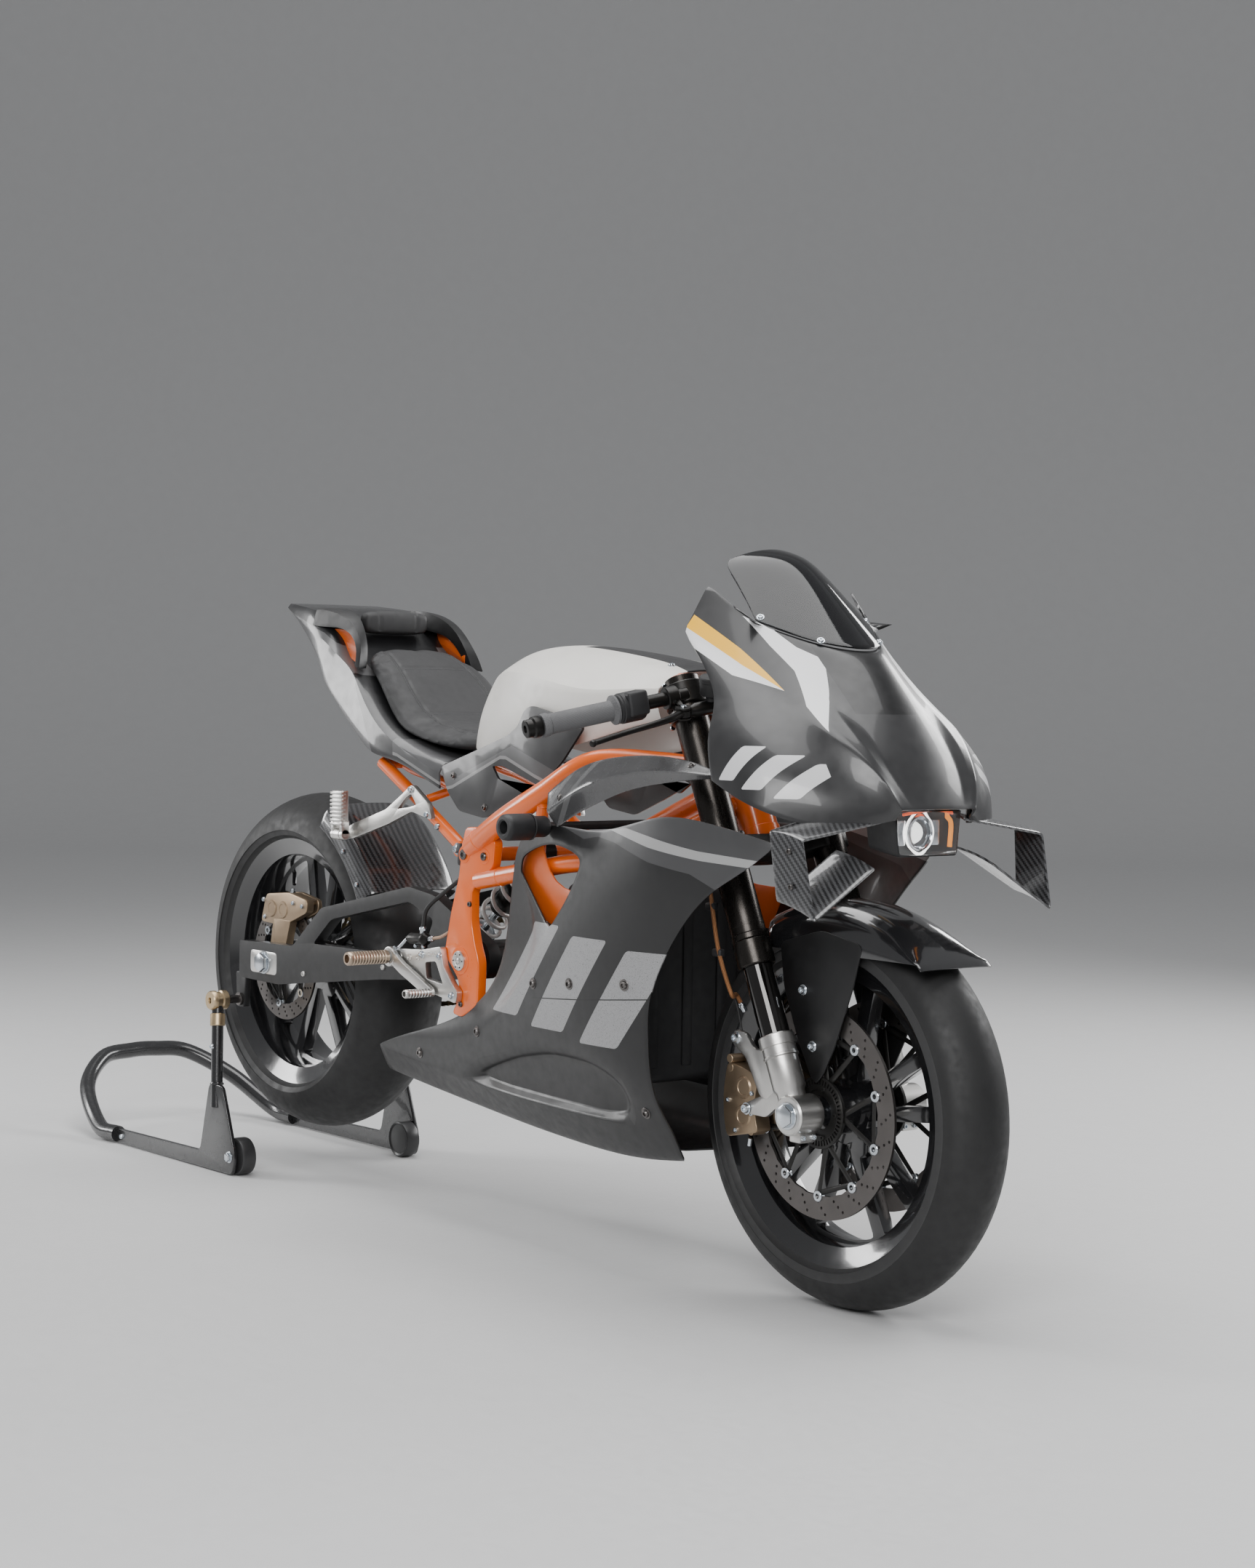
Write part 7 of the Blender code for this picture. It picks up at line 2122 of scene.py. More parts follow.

# %% [markdown]
# The shock: a damper tube with its spring seat and reservoir, a chromed rod with the lower
# seat, and a coil between the two that rides with the damper tube.

# %% Shock
TOP = at(SHOCK_TOP[0], 0, SHOCK_TOP[1])
EYE = at(SHOCK_EYE[0], 0, SHOCK_EYE[1])
DOWN = (EYE - TOP).normalized()
SHOCK_LONG = (EYE - TOP).length
bm = bmesh.new()
tube_ring(bm, TOP - Vector((0, 0.015, 0)), TOP + Vector((0, 0.015, 0)), 0.021, 0.0125, 40, 0.0015)
turned(bm, TOP + DOWN * 0.0165, DOWN,
       [(0.0073, 0.044), (0.0073, 0.148), (0.0185, 0.148), (0.0198, 0.146), (0.0198, 0.041),
        (0.0290, 0.0385), (0.0300, 0.0365), (0.0300, 0.0305), (0.0290, 0.0285),
        (0.0200, 0.0270), (0.0200, 0.0030), (0.0180, 0), (0, 0), (0, 0.044)], 48)
for k in range(6):
    place = TOP + DOWN * (0.020 + 0.0036 * k)
    tube_ring(bm, place, place + DOWN * 0.0018, 0.0212, 0.018, 40, 0.0006)
piece("shock_damper", bm, "shock_body", ANODISED)
bm = bmesh.new()
tube_ring(bm, EYE - Vector((0, 0.0128, 0)), EYE + Vector((0, 0.0128, 0)), 0.0155, 0.0092, 36, 0.0012)
rod(bm, EYE - DOWN * 0.0125, EYE - DOWN * (SHOCK_LONG - 0.096), 0.0070, 32)
turned(bm, EYE - DOWN * 0.060, DOWN, [(0.0072, 0), (0.0200, 0), (0.0255, 0.002), (0.0260, 0.004),
                                     (0.0260, 0.008), (0.0235, 0.010), (0.0110, 0.010), (0.0095, 0.030),
                                     (0.0072, 0.034)], 44, closed=True)
piece("shock_shaft", bm, "shock_rod", BRIGHT_STEEL)
spring_start, spring_end = TOP + DOWN * 0.0565, EYE - DOWN * 0.0610
spring_side = DOWN.cross(Vector((0, 1, 0))).normalized()
COILS = 5.5
coil_route = []
for k in range(int(COILS * 20) + 1):
    share = k / (COILS * 20)
    turn_at = tau * COILS * share
    ease = share - 0.05 * sin(tau * share)
    coil_route.append(spring_start + (spring_end - spring_start) * (0.03 + 0.94 * ease)
                      + (spring_side * cos(turn_at) + Vector((0, 1, 0)) * sin(turn_at)) * 0.0265)
bm = bmesh.new()
swept(bm, coil_route, 0.0038, 12)
SPRING_PAINT = surface("spring_white_enamel", (0.74, 0.74, 0.72), 0.28, coat=0.6, drift=0.04)
spring = piece("shock_spring", bm, "shock_body", SPRING_PAINT, False)
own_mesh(spring)

# %% [markdown]
# The footrest plates are milled, with a window and drilled faces.  The pegs are knurled:
# rings and flats cut into a turned tube.

# %% Footrests and brake pedal
PEG = (0.517, 0.456)
PEG_BRONZE = surface("knurled_peg_alloy", (0.50, 0.40, 0.31), 0.38, metallic=1.0, drift=0.1)


def knurled_tube(bm, start, end, radius, rings=12):
    """A tube with grooves cut round it, hollow at its end."""
    start, end = Vector(start), Vector(end)
    length = (end - start).length
    profile = [(0, 0), (radius - 0.0015, 0), (radius, 0.0015)]
    for k in range(rings):
        z = 0.006 + (length - 0.012) * k / rings
        width = (length - 0.012) / rings
        profile += [(radius, z + width * 0.35), (radius - 0.0010, z + width * 0.55),
                    (radius, z + width * 0.75)]
    profile += [(radius, length - 0.002), (radius - 0.0014, length), (radius * 0.62, length),
                (radius * 0.58, length - 0.012), (0, length - 0.012)]
    turned(bm, start, end - start, profile, 24)


def make_footrest(word, side):
    node = f"footrest_bracket_{word}"
    outline = [(0.500, 0.446), (0.500, 0.468), (0.600, 0.474), (0.655, 0.484), (0.664, 0.452),
               (0.690, 0.424), (0.706, 0.412), (0.702, 0.392), (0.640, 0.402), (0.600, 0.408),
               (0.585, 0.440)]
    window = [(0.614, 0.426), (0.610, 0.454), (0.642, 0.458), (0.664, 0.421)]
    bm = bmesh.new()
    low, high = sorted((side * 0.1757, side * 0.1878))
    plate(bm, [rounded(on_rear(outline), 0.006, 4), rounded(on_rear(window), 0.005, 4)], low, high,
          bevel=0.0016, segments=3)
    rod(bm, at(PEG[0], side * 0.180, PEG[1]), at(PEG[0], side * 0.2050, PEG[1]), 0.0090, 32)
    for x, z in ((0.534, 0.4575), (0.562, 0.4585), (0.588, 0.460)):
        tube_ring(bm, at(x, side * 0.1872, z), at(x, side * 0.1890, z), 0.0062, 0.0034, 24)
    piece(f"{node}_milled", bm, node, MACHINED)
    peg = bmesh.new()
    knurled_tube(peg, at(PEG[0], side * 0.2035, PEG[1]), at(PEG[0], side * 0.2850, PEG[1]), 0.0119)
    piece(f"footrest_{word}", peg, node, PEG_BRONZE, False)
    screws = bmesh.new()
    for x, z in ((0.654, 0.468), (0.690, 0.404), (0.594, 0.416), (0.600, 0.466)):
        tube_ring(screws, at(x, side * 0.1872, z), at(x, side * 0.1888, z), 0.0074, 0.003, 24)
        bolt(screws, at(x, side * 0.1884, z), (0, side, 0), 0.0056, 0.0042, 20)
    for k in range(8):
        x, z = 0.622 + 0.0058 * (k % 4), 0.4665 + 0.0052 * (k // 4)
        bolt(screws, at(x, side * 0.1876, z), (0, side, 0), 0.0011, 0.0006, 8)
    piece(f"{node}_screws", screws, node, BRIGHT_STEEL, False)


for_each_side(make_footrest)
bm = bmesh.new()
plate(bm, [on_rear(arc(PEG, 0.0172, 0, 348, 30)), on_rear(arc(PEG, 0.0096, 0, 345, 24))],
      -0.2008, -0.1912, bevel=0.0012, segments=2)
arm = [(0.529, 0.466), (0.560, 0.448), (0.645, 0.413), (0.648, 0.399), (0.630, 0.399), (0.552, 0.430),
       (0.526, 0.443)]
plate(bm, [rounded(on_rear(arm), 0.004, 4)], -0.2004, -0.1916, bevel=0.0014, segments=3)
knurled_tube(bm, at(0.640, -0.196, 0.4055), at(0.640, -0.2495, 0.4055), 0.0075, 7)
piece("brake_pedal_milled", bm, "brake_pedal", MACHINED)

# %% [markdown]
# The passenger hangers are forged Ys.  Each carries a folding peg with a serrated tread.

# %% Passenger brackets and pegs
HINGE_X, HINGE_Y, HINGE_Z = 0.335, 0.186, 0.657


def make_passenger_bracket(word, side):
    node = f"passenger_bracket_{word}"
    outline = [(0.592, 0.694), (0.580, 0.722), (0.530, 0.753), (0.506, 0.738), (0.450, 0.706),
               (0.345, 0.676), (0.318, 0.664), (0.320, 0.648), (0.345, 0.650), (0.455, 0.680),
               (0.530, 0.706)]
    window = [(0.545, 0.718), (0.528, 0.736), (0.512, 0.729), (0.486, 0.708), (0.522, 0.713)]
    bm = bmesh.new()
    low, high = sorted((side * 0.1562, side * 0.1658))
    plate(bm, [rounded(on_rear(outline), 0.007, 4), rounded(on_rear(window), 0.003, 3)], low, high,
          bevel=0.0028, segments=3)
    hinge = at(HINGE_X, side * HINGE_Y, HINGE_Z)
    block(bm, (hinge.x - 0.0075, min(side * 0.158, hinge.y), hinge.z - 0.0068),
          (hinge.x + 0.0075, max(side * 0.158, hinge.y), hinge.z + 0.0068), 0.002)
    tube_ring(bm, hinge - Vector((0.0088, 0, 0)), hinge + Vector((0.0088, 0, 0)), 0.0100, 0.0044, 28)
    piece(f"{node}_forged", bm, node, MACHINED)
    screws = bmesh.new()
    for x, z in ((0.578, 0.703), (0.528, 0.744)):
        bolt(screws, at(x, side * 0.1656, z), (0, side, 0), 0.0058, 0.0044, 20)
    piece(f"{node}_screws", screws, node, BRIGHT_STEEL, False)
    peg = bmesh.new()
    for k in range(9):
        z = hinge.z + 0.0185 + k * 0.0068
        block(peg, (hinge.x - 0.0188, hinge.y + side * 0.0052 - 0.0046, z - 0.0022),
              (hinge.x + 0.0188, hinge.y + side * 0.0052 + 0.0046, z + 0.0022), 0.0008)
    block(peg, (hinge.x - 0.0172, hinge.y - 0.0072, hinge.z + 0.0152),
          (hinge.x + 0.0172, hinge.y + 0.0072, hinge.z + 0.0778), 0.0026, 3)
    for way in (-1, 1):
        near, far = sorted((hinge.x + way * 0.0097, hinge.x + way * 0.0184))
        rod(peg, (near, hinge.y, hinge.z), (far, hinge.y, hinge.z), 0.0094, 28)
        block(peg, (near, hinge.y - 0.0078, hinge.z), (far, hinge.y + 0.0078, hinge.z + 0.0245), 0.0012)
    rod(peg, hinge - Vector((0.0150, 0, 0)), hinge + Vector((0.0150, 0, 0)), 0.0037, 16)
    piece(f"passenger_peg_{word}_serrated", peg, f"passenger_peg_{word}", MACHINED)


for_each_side(make_passenger_bracket)

# %% [markdown]
# ## Paddock stand
# Laser-cut side plates, welded uprights with turned heads, a bent tube behind, and hard
# wheels.

# %% Stand
GOLD = surface("stand_head_alloy", (0.56, 0.43, 0.27), 0.36, metallic=1.0, drift=0.06)
ARM_PLATE = [(-0.470, 0.002), (-0.470, 0.030), (-0.110, 0.034), (-0.078, 0.165), (-0.030, 0.165),
             (0.014, 0.052), (0.020, 0.030), (0.010, 0.002)]
LOOP = [(-0.440, 0.2045, 0.0185), (-0.520, 0.2045, 0.024), (-0.640, 0.170, 0.085),
        (-0.706, 0.100, 0.133), (-0.7188, 0.030, 0.142)]
ROLLER_R = 0.035
bm = bmesh.new()
heads = bmesh.new()
screws = bmesh.new()
loop = [at(x, -y, z) for x, y, z in LOOP] + [at(x, y, z) for x, y, z in LOOP[::-1]]
swept(bm, smooth_route(loop, 7), 0.016, 28)
for side in (-1, 1):
    low, high = sorted((side * 0.2007, side * 0.2083))
    plate(bm, [rounded(on_rear(ARM_PLATE), 0.012, 5)], low, high, bevel=0.0016, segments=3)
    foot, top = at(-0.055, side * 0.2045, 0.120), at(-0.086, side * 0.186, 0.310)
    rod(bm, foot, top, 0.0110, 32)
    bead(bm, foot.lerp(top, 0.235), top - foot, 0.0115, 0.003)
    spool = at(-0.087, side * 0.168, 0.320)
    way = Vector((0, side, 0))
    turned(heads, spool, way, [(0, 0), (0.0165, 0), (0.0182, 0.002), (0.0182, 0.012), (0.0155, 0.014),
                               (0.0155, 0.022), (0.0182, 0.024), (0.0182, 0.0325), (0.0165, 0.035),
                               (0.0060, 0.035), (0.0050, 0.031), (0, 0.031)], 44)
    tube_ring(heads, foot.lerp(top, 0.80), foot.lerp(top, 0.92), 0.0142, 0.0108, 36, 0.001)
    bolt(screws, foot.lerp(top, 0.60) + Vector((0, side * 0.0105, 0)), way, 0.0055, 0.0045, 18)
    hub = at(0, 0, ROLLER_R)
    hub.y = side * 0.2083
    tube_ring(screws, hub - way * 0.001, hub + way * 0.0015, 0.0110, 0.005, 32)
    hexagon(screws, hub + way * 0.0012, way, 0.0085, 0.0055)
    bolt(screws, at(-0.420, side * 0.2080, 0.016), way, 0.0050, 0.0035, 18)
piece("stand_frame_welded", bm, "stand_frame", STAND_BLACK)
piece("stand_heads", heads, "stand_frame", GOLD, False)
piece("stand_screws", screws, "stand_frame", BRIGHT_STEEL, False)
ROLLER = surface("stand_roller_nylon", (0.030, 0.030, 0.031), 0.36, drift=0.1)


def make_roller(word):
    node = f"stand_roller_{word}"
    low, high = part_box(node)
    centre = (low + high) / 2
    half = (high.y - low.y) / 2
    radius = (high.z - low.z) / 2
    bm = bmesh.new()
    profile = [(radius * 0.30, -half), (radius * 0.80, -half + 0.003), (radius * 0.90, -half + 0.001),
               (radius * 0.965, -half + 0.002), (radius, -half + 0.006)]
    whole = profile + [(r, -h) for r, h in profile[::-1]]
    turned(bm, centre, (0, 1, 0), [(0, -half), *whole, (0, half)], 56)
    piece(f"{node}_moulded", bm, node, ROLLER)


for word in SIDES:
    make_roller(word)

# %% [markdown]
# ## Seat
# Each pad starts as a loft a little smaller than the finished pad.  It is remeshed evenly,
# swollen a few millimetres by a cloth simulation whose base is held, and then its seams are
# pressed in; the seat's seams are sewn with thread.

# %% Pads
SEAT_LEATHER = surface("seat_grained_cover", (0.024, 0.024, 0.025), 0.60, drift=0.12,
                       grain=(1900, 0.00022))
THREAD = surface("seat_thread", (0.085, 0.085, 0.088), 0.70, grain=(3000, 0.00005))
LOOSE = 0.003                    # how much smaller a pad starts
VOXEL = 0.005


def pad_ring(x, half):
    """A closed section from (y, z) points given for one side, top to bottom, drawn in a little."""
    middle_z = sum(z for _, z in half) / len(half)
    pulled = [(y - LOOSE * 0.6, z + (LOOSE if z < middle_z else -LOOSE) * 0.5) for y, z in half]
    return [at(x, -y, z) for y, z in pulled] + [at(x, y, z) for y, z in pulled[::-1]]


def evaluated_copy(obj):
    """The mesh that an object's modifiers make, as a mesh of its own."""
    bpy.context.view_layer.update()
    return bpy.data.meshes.new_from_object(obj.evaluated_get(bpy.context.evaluated_depsgraph_get()))


def swell(obj, cap):
    """Blow the pad up with cloth pressure; its base is held and no point moves past the cap."""
    held = obj.vertex_groups.new(name="held")
    held.add([v.index for v in obj.data.vertices if v.normal.z < -0.6], 1.0, 'REPLACE')
    before = [v.co.copy() for v in obj.data.vertices]
    cloth = obj.modifiers.new("stuffing", 'CLOTH')
    cloth.settings.use_pressure = True
    cloth.settings.uniform_pressure_force = 4
    cloth.settings.effector_weights.gravity = 0
    cloth.settings.vertex_group_mass = held.name
    for number in range(1, 21):
        bpy.context.scene.frame_set(number)
    after = [v.co.copy() for v in obj.evaluated_get(bpy.context.evaluated_depsgraph_get()).data.vertices]
    obj.modifiers.remove(cloth)
    for v, start, end in zip(obj.data.vertices, before, after):
        move = end - start
        v.co = start + move * min(1.0, cap / max(move.length, 1e-9))
    bpy.context.scene.frame_set(1)


def press_seams(mesh, seams, depth=0.0018, width=0.0032):
    """Sink the surface along seams; each is a function of a point that gives its distance."""
    for v in mesh.vertices:
        sunk = sum(exp(-(seam(v.co) / width) ** 2) for seam in seams)
        if sunk > 0.02 and v.normal.z > -0.3:
            v.co -= v.normal * depth * min(1.0, sunk)


def pad(name, node, sections, seams, cap):
    bm = bmesh.new()
    lofted(bm, sections)
    shape = piece(name + "_shape", bm, node, SEAT_LEATHER, False)
    softened(shape, 2)
    remesh = shape.modifiers.new("even", 'REMESH')
    remesh.mode = 'VOXEL'
    remesh.voxel_size = VOXEL
    even = evaluated_copy(shape)
    bpy.data.objects.remove(shape)
    bm = bmesh.new()
    bm.from_mesh(even)
    bpy.data.meshes.remove(even)
    obj = piece(name, bm, node, SEAT_LEATHER, smooth=180)
    swell(obj, cap)
    finer = obj.modifiers.new("finer", 'SUBSURF')
    finer.levels = finer.render_levels = 1
    mesh = evaluated_copy(obj)
    obj.modifiers.remove(finer)
    obj.data = mesh
    press_seams(mesh, seams)
    mesh.shade_smooth()
    return obj


def sew(name, obj, node, lines):
    """Threads laid along lines of points above a pad, one stitch per pair of points."""
    bpy.context.view_layer.update()
    tree = BVHTree.FromObject(obj, bpy.context.evaluated_depsgraph_get())
    bm = bmesh.new()
    for line in lines:
        found = [tree.ray_cast(p, Vector((0, 0, -1)))[0] for p in line]
        for a, b in zip(found, found[1:]):
            if a and b and (b - a).length < 0.012:
                stitch = (b - a) * 0.31
                lift = Vector((0, 0, 0.0002))
                rod(bm, a + stitch * 0.5 + lift, b - stitch * 0.5 + lift, 0.00055, 6, chamfer=0)
    piece(name, bm, node, THREAD, False)


SEAT_SECTIONS = [
    (0.632, [(0.050, 0.846), (0.080, 0.838), (0.086, 0.818), (0.070, 0.806)]),
    (0.560, [(0.078, 0.850), (0.118, 0.839), (0.128, 0.816), (0.110, 0.808)]),
    (0.470, [(0.080, 0.862), (0.130, 0.855), (0.138, 0.836), (0.115, 0.828)]),
    (0.430, [(0.080, 0.884), (0.128, 0.878), (0.138, 0.852), (0.114, 0.842)]),
    (0.395, [(0.078, 0.920), (0.123, 0.915), (0.136, 0.885), (0.110, 0.870)]),
    (0.330, [(0.068, 0.970), (0.113, 0.966), (0.120, 0.942), (0.100, 0.930)]),
    (0.250, [(0.058, 0.998), (0.088, 0.994), (0.094, 0.976), (0.080, 0.970)])]
SEAM_Y = [(0.250, 0.058), (0.395, 0.078), (0.560, 0.078), (0.632, 0.050)]
CROSS_SEAMS = (0.350, 0.452)


def side_seam_y(x):
    """Half width between the lengthwise seams at a place along the seat."""
    for (x0, y0), (x1, y1) in zip(SEAM_Y, SEAM_Y[1:]):
        if x <= x1:
            return y0 + (y1 - y0) * max(0.0, (x - x0) / (x1 - x0))
    return SEAM_Y[-1][1]


def lengthwise(p):
    return abs(abs(p.y) - side_seam_y(p.x - REAR_AXLE.x))


def crosswise(where):
    """Distance from a cross seam, which ends at the lengthwise seams."""
    return lambda p: (abs(p.x - REAR_AXLE.x - where) if abs(p.y) < side_seam_y(where) else 1.0)


seat = pad("seat_pad_cover", "seat_pad", [pad_ring(x, half) for x, half in SEAT_SECTIONS],
           [lengthwise, *[crosswise(x) for x in CROSS_SEAMS]], 0.004)
lines = [[at(0.262 + 0.0055 * k, side * (side_seam_y(0.262 + 0.0055 * k) + 0.0048), 1.2)
          for k in range(66)] for side in (-1, 1)]
for x in CROSS_SEAMS:
    edge = side_seam_y(x)
    lines.append([at(x + 0.0048, -edge + 0.0055 * k, 1.2) for k in range(int(edge * 2 / 0.0055))])
sew("seat_pad_thread", seat, "seat_pad", lines)
TAIL_PAD = [(0.2015, [(0.060, 1.058), (0.069, 1.050), (0.069, 1.020), (0.060, 1.014)]),
            (0.2100, [(0.062, 1.060), (0.071, 1.052), (0.071, 1.020), (0.062, 1.013)]),
            (0.2300, [(0.062, 1.060), (0.071, 1.052), (0.071, 1.020), (0.062, 1.013)]),
            (0.2370, [(0.058, 1.054), (0.066, 1.048), (0.066, 1.022), (0.058, 1.016)])]
pad("tail_pad_cover", "tail_pad", [pad_ring(x, half) for x, half in TAIL_PAD],
    [lambda p: abs(abs(p.y) - 0.040)], 0.002)

# %% [markdown]
# ## Hoses and controls
# The braided front hose and the thin sensor cable follow the right fork leg and are clipped
# to the guard's bracket.  The rear master cylinder stands on the footrest plate.

# %% Braided hoses
def braided(name, first, second, pitch=0.0026):
    """Crossing strands wound round a hose, drawn on its UV map."""
    m = surface(name, first, 0.42, metallic=0.5, drift=0.15)
    coordinates = m.node_tree.nodes.new("ShaderNodeTexCoord")
    u, v, _ = parts_of(m, coordinates.outputs["UV"])
    waves = []
    for way in (1, -1):
        phase = maths(m, 'ADD', maths(m, 'MULTIPLY', u, 6.0 * way), maths(m, 'DIVIDE', v, pitch))
        waves.append(maths(m, 'SINE', maths(m, 'MULTIPLY', phase, tau)))
    weave = maths(m, 'MULTIPLY', waves[0], waves[1])
    paint_over(m, maths(m, 'GREATER_THAN', weave, 0.05), second)
    raise_bump(m, weave, 0.0003)
    return m


def hose(name, points, radius, finish, like, steps=8):
    """A hose along a smooth route, with a UV map that runs round and along it in metres."""
    route = smooth_route(points, steps)
    sides = 14
    bm = bmesh.new()
    swept(bm, route, radius, sides)
    mesh_uv = bm.loops.layers.uv.new("along")
    run = [0.0]
    for a, b in zip(route, route[1:]):
        run.append(run[-1] + (b - a).length)
    bm.verts.ensure_lookup_table()
    order = {v: k for k, v in enumerate(bm.verts)}
    for face in bm.faces:
        turns = [(order[loop.vert] % sides) / sides for loop in face.loops]
        wraps = max(turns) - min(turns) > 0.5
        for loop, share in zip(face.loops, turns):
            across = share + 1.0 if wraps and share < 0.5 else share
            loop[mesh_uv].uv = (across, run[order[loop.vert] // sides])
    piece(name, bm, like, finish, False)


BRAID = braided("copper_braid", (0.42, 0.19, 0.075), (0.13, 0.050, 0.020))
REAR_BRAID = braided("clear_braid", (0.55, 0.40, 0.30), (0.25, 0.15, 0.10))


def fitting(bm, place, way, radius, length):
    """A crimped hose end with its hexagon."""
    way = Vector(way).normalized()
    place = Vector(place)
    turned(bm, place, way, [(0, 0), (radius * 1.25, 0), (radius * 1.45, 0.001), (radius * 1.45, length),
                            (radius * 1.2, length + 0.001), (0, length + 0.001)], 20)
    hexagon(bm, place + way * (length * 0.55), way, radius * 1.9, length * 0.35)


FORK_SIDE = -1


def beside_fork(along, out, ahead):
    """A point beside the right fork leg, out from it and ahead of the steering axis."""
    return fork_at(FORK_SIDE, along, ahead, FORK_Y + out)


caliper_inlet = at(1.330, -0.090, 0.437)
hose("front_brake_hose", [caliper_inlet, at(1.318, -0.098, 0.462), beside_fork(0.205, 0.020, -0.020),
                          beside_fork(0.270, 0.030, -0.012), beside_fork(0.340, 0.030, 0.000),
                          beside_fork(0.395, 0.020, 0.000)], 0.0034, BRAID, "fork_leg_right")
hose("front_sensor_cable", [at(1.378, -0.098, 0.322), at(1.352, -0.104, 0.372), at(1.330, -0.104, 0.440),
                            beside_fork(0.215, 0.010, -0.028), beside_fork(0.290, 0.022, -0.022),
                            beside_fork(0.340, 0.022, -0.010), beside_fork(0.390, 0.014, -0.010)],
     0.0016, RUBBER, "fork_leg_right")
bm = bmesh.new()
fitting(bm, caliper_inlet, at(1.318, -0.098, 0.462) - caliper_inlet, 0.0034, 0.014)
piece("front_hose_fitting", bm, "fork_leg_right", BRIGHT_STEEL, False)
bm = bmesh.new()
for along, out, ahead in ((0.270, 0.030, -0.012), (0.340, 0.030, 0.000)):
    place = beside_fork(along, out - 0.003, ahead - 0.005)
    block(bm, place - Vector((0.010, 0.006, 0.006)), place + Vector((0.010, 0.006, 0.006)), 0.003, 3)
piece("front_hose_clips", bm, "fork_leg_right", MOULDED, False)

# %% [markdown]
# The rear brake's master cylinder, its little pot and its two hoses.

# %% Rear master cylinder
MASTER_LOW, MASTER_HIGH = at(0.548, -0.1820, 0.4895), at(0.612, -0.1820, 0.4925)
bm = bmesh.new()
turned(bm, MASTER_LOW, MASTER_HIGH - MASTER_LOW,
       [(0, 0), (0.0045, 0), (0.0045, 0.010), (0.0098, 0.012), (0.0098, 0.046), (0.0110, 0.048),
        (0.0110, 0.056), (0.0080, 0.060), (0.0055, 0.064), (0, 0.064)], 32)
block(bm, at(0.570, -0.1830, 0.473), at(0.604, -0.1780, 0.488), 0.0015)
piece("rear_master_cylinder", bm, "footrest_bracket_right", ANODISED, False)
bm = bmesh.new()
fitting(bm, at(0.594, -0.182, 0.500), (0.1, 0, 1), 0.0036, 0.012)
fitting(bm, at(0.612, -0.182, 0.4925), (1, 0.1, 0.2), 0.0032, 0.012)
for x in (0.575, 0.598):
    bolt(bm, at(x, -0.1828, 0.4785), (0, -1, 0), 0.0040, 0.0030, 16)
rod(bm, at(0.531, -0.190, 0.4705), MASTER_LOW, 0.0028, 16)
rod(bm, at(0.528, -0.1965, 0.4705), at(0.528, -0.1860, 0.4705), 0.0048, 18)
piece("rear_master_fittings", bm, "footrest_bracket_right", BRIGHT_STEEL, False)
POT = at(0.672, -0.150, 0.632)
hose("rear_pot_hose", [at(0.595, -0.182, 0.512), at(0.604, -0.180, 0.545), at(0.636, -0.165, 0.575),
                       at(0.664, -0.152, 0.600), POT - Vector((0, 0, 0.014))], 0.0038, RUBBER,
     "footrest_bracket_right")
hose("rear_brake_line", [at(0.622, -0.181, 0.4945), at(0.640, -0.172, 0.500),
                         at(0.655, -0.150, 0.520), at(0.665, -0.142, 0.545)], 0.0030,
     REAR_BRAID, "footrest_bracket_right")
bm = bmesh.new()
turned(bm, POT - Vector((0, 0, 0.016)), (0, 0, 1),
       [(0, 0), (0.0050, 0), (0.0060, 0.004), (0.0125, 0.006), (0.0135, 0.010), (0.0135, 0.030),
        (0, 0.030)], 36)
turned(bm, POT + Vector((0, 0, 0.014)), (0, 0, 1),
       [(0, 0), (0.0150, 0), (0.0150, 0.010), (0.0138, 0.012), (0.0040, 0.012), (0, 0.0105)], 24)
piece("rear_fluid_pot", bm, "main_frame", MOULDED, False)

# %% [markdown]
# A small display sits in the nose behind the screen, on the chassis side of the steering.

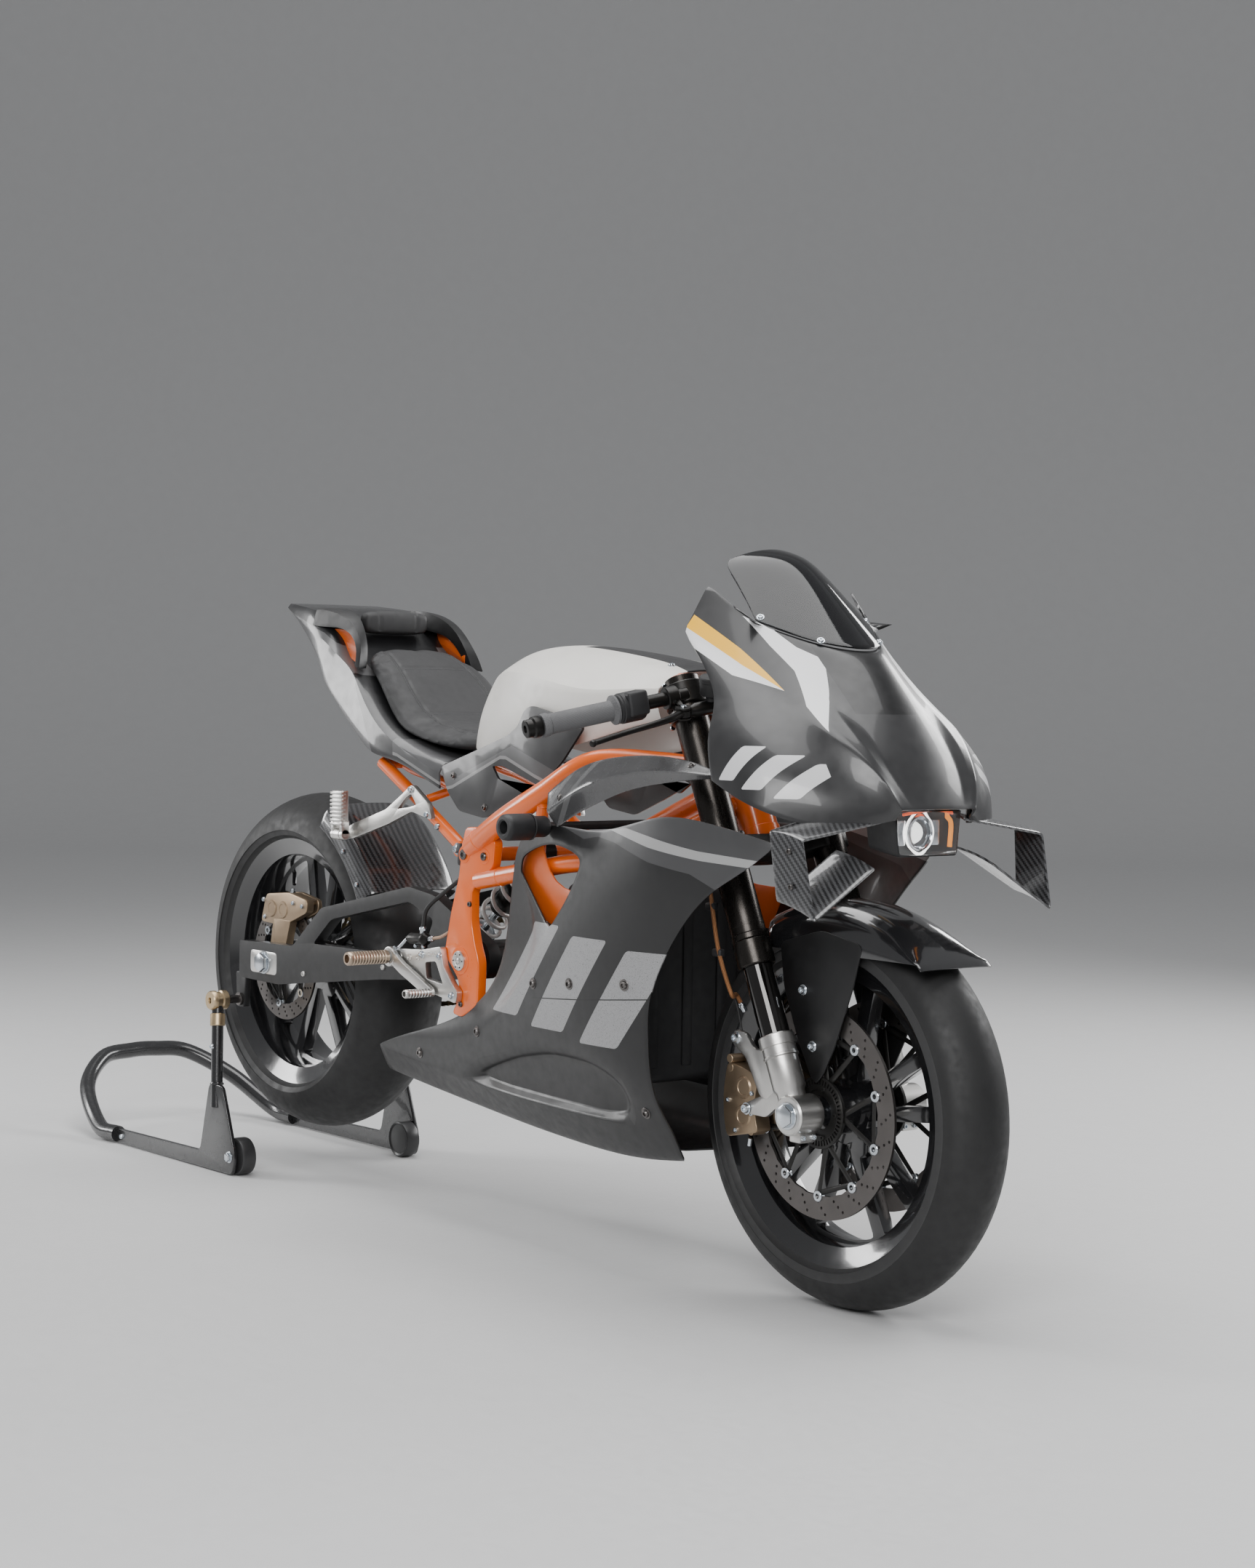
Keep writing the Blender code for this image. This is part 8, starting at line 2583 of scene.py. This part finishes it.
# %% Dash
DASH = at(1.392, 0, 0.958)
lean = Matrix.Translation(DASH) @ Matrix.Rotation(radians(-52), 4, 'Y')
bm = bmesh.new()
block(bm, (-0.006, -0.066, -0.040), (0.012, 0.066, 0.040), 0.005, 4, lean)
for way in (-1, 1):
    rod(bm, lean @ Vector((0.010, way * 0.045, -0.01)), at(1.440, way * 0.060, 0.925), 0.0045, 16)
piece("dash_case", bm, "nose_fairing", MOULDED, False)
DISPLAY = surface("dash_display", (0.008, 0.011, 0.016), 0.10, coat=1.0, drift=0.02)
bm = bmesh.new()
block(bm, (-0.0072, -0.059, -0.034), (-0.0052, 0.059, 0.034), 0.0008, 2, lean)
piece("dash_display", bm, "nose_fairing", DISPLAY, False)

# %% [markdown]
# The floor is pale and plain, and curves up into the wall behind, so that no line shows.

# %% Floor
FLOOR_REACH = 14.0               # past the camera, which stands within 8 m
CURVE = 4.0
sweep = bmesh.new()
profile = [(FLOOR_REACH, 0.0), (CURVE - FLOOR_REACH, 0.0)]
profile += [(CURVE - FLOOR_REACH - CURVE * sin(radians(a)), CURVE - CURVE * cos(radians(a)))
            for a in range(10, 91, 10)]
profile += [(-FLOOR_REACH, FLOOR_REACH)]
verts = [sweep.verts.new((d, -FLOOR_REACH, z)) for d, z in profile]
edges = [sweep.edges.new(pair) for pair in zip(verts, verts[1:])]
made = bmesh.ops.extrude_edge_only(sweep, edges=edges)["geom"]
bmesh.ops.translate(sweep, verts=[g for g in made if isinstance(g, bmesh.types.BMVert)],
                    vec=(0, 2 * FLOOR_REACH, 0))
bmesh.ops.rotate(sweep, verts=sweep.verts, cent=(0, 0, 0),
                 matrix=Matrix.Rotation(CAMERA_YAW + pi, 3, 'Z'))
floor_mesh = bpy.data.meshes.new("studio_floor")
sweep.to_mesh(floor_mesh)
sweep.free()
floor_mesh.shade_smooth()
FLOOR_FINISH = surface("pale_studio_floor", (0.62, 0.62, 0.62), 0.55, drift=0.01)
floor_mesh.materials.append(FLOOR_FINISH)
floor = bpy.data.objects.new("studio_floor", floor_mesh)
bpy.context.scene.collection.objects.link(floor)
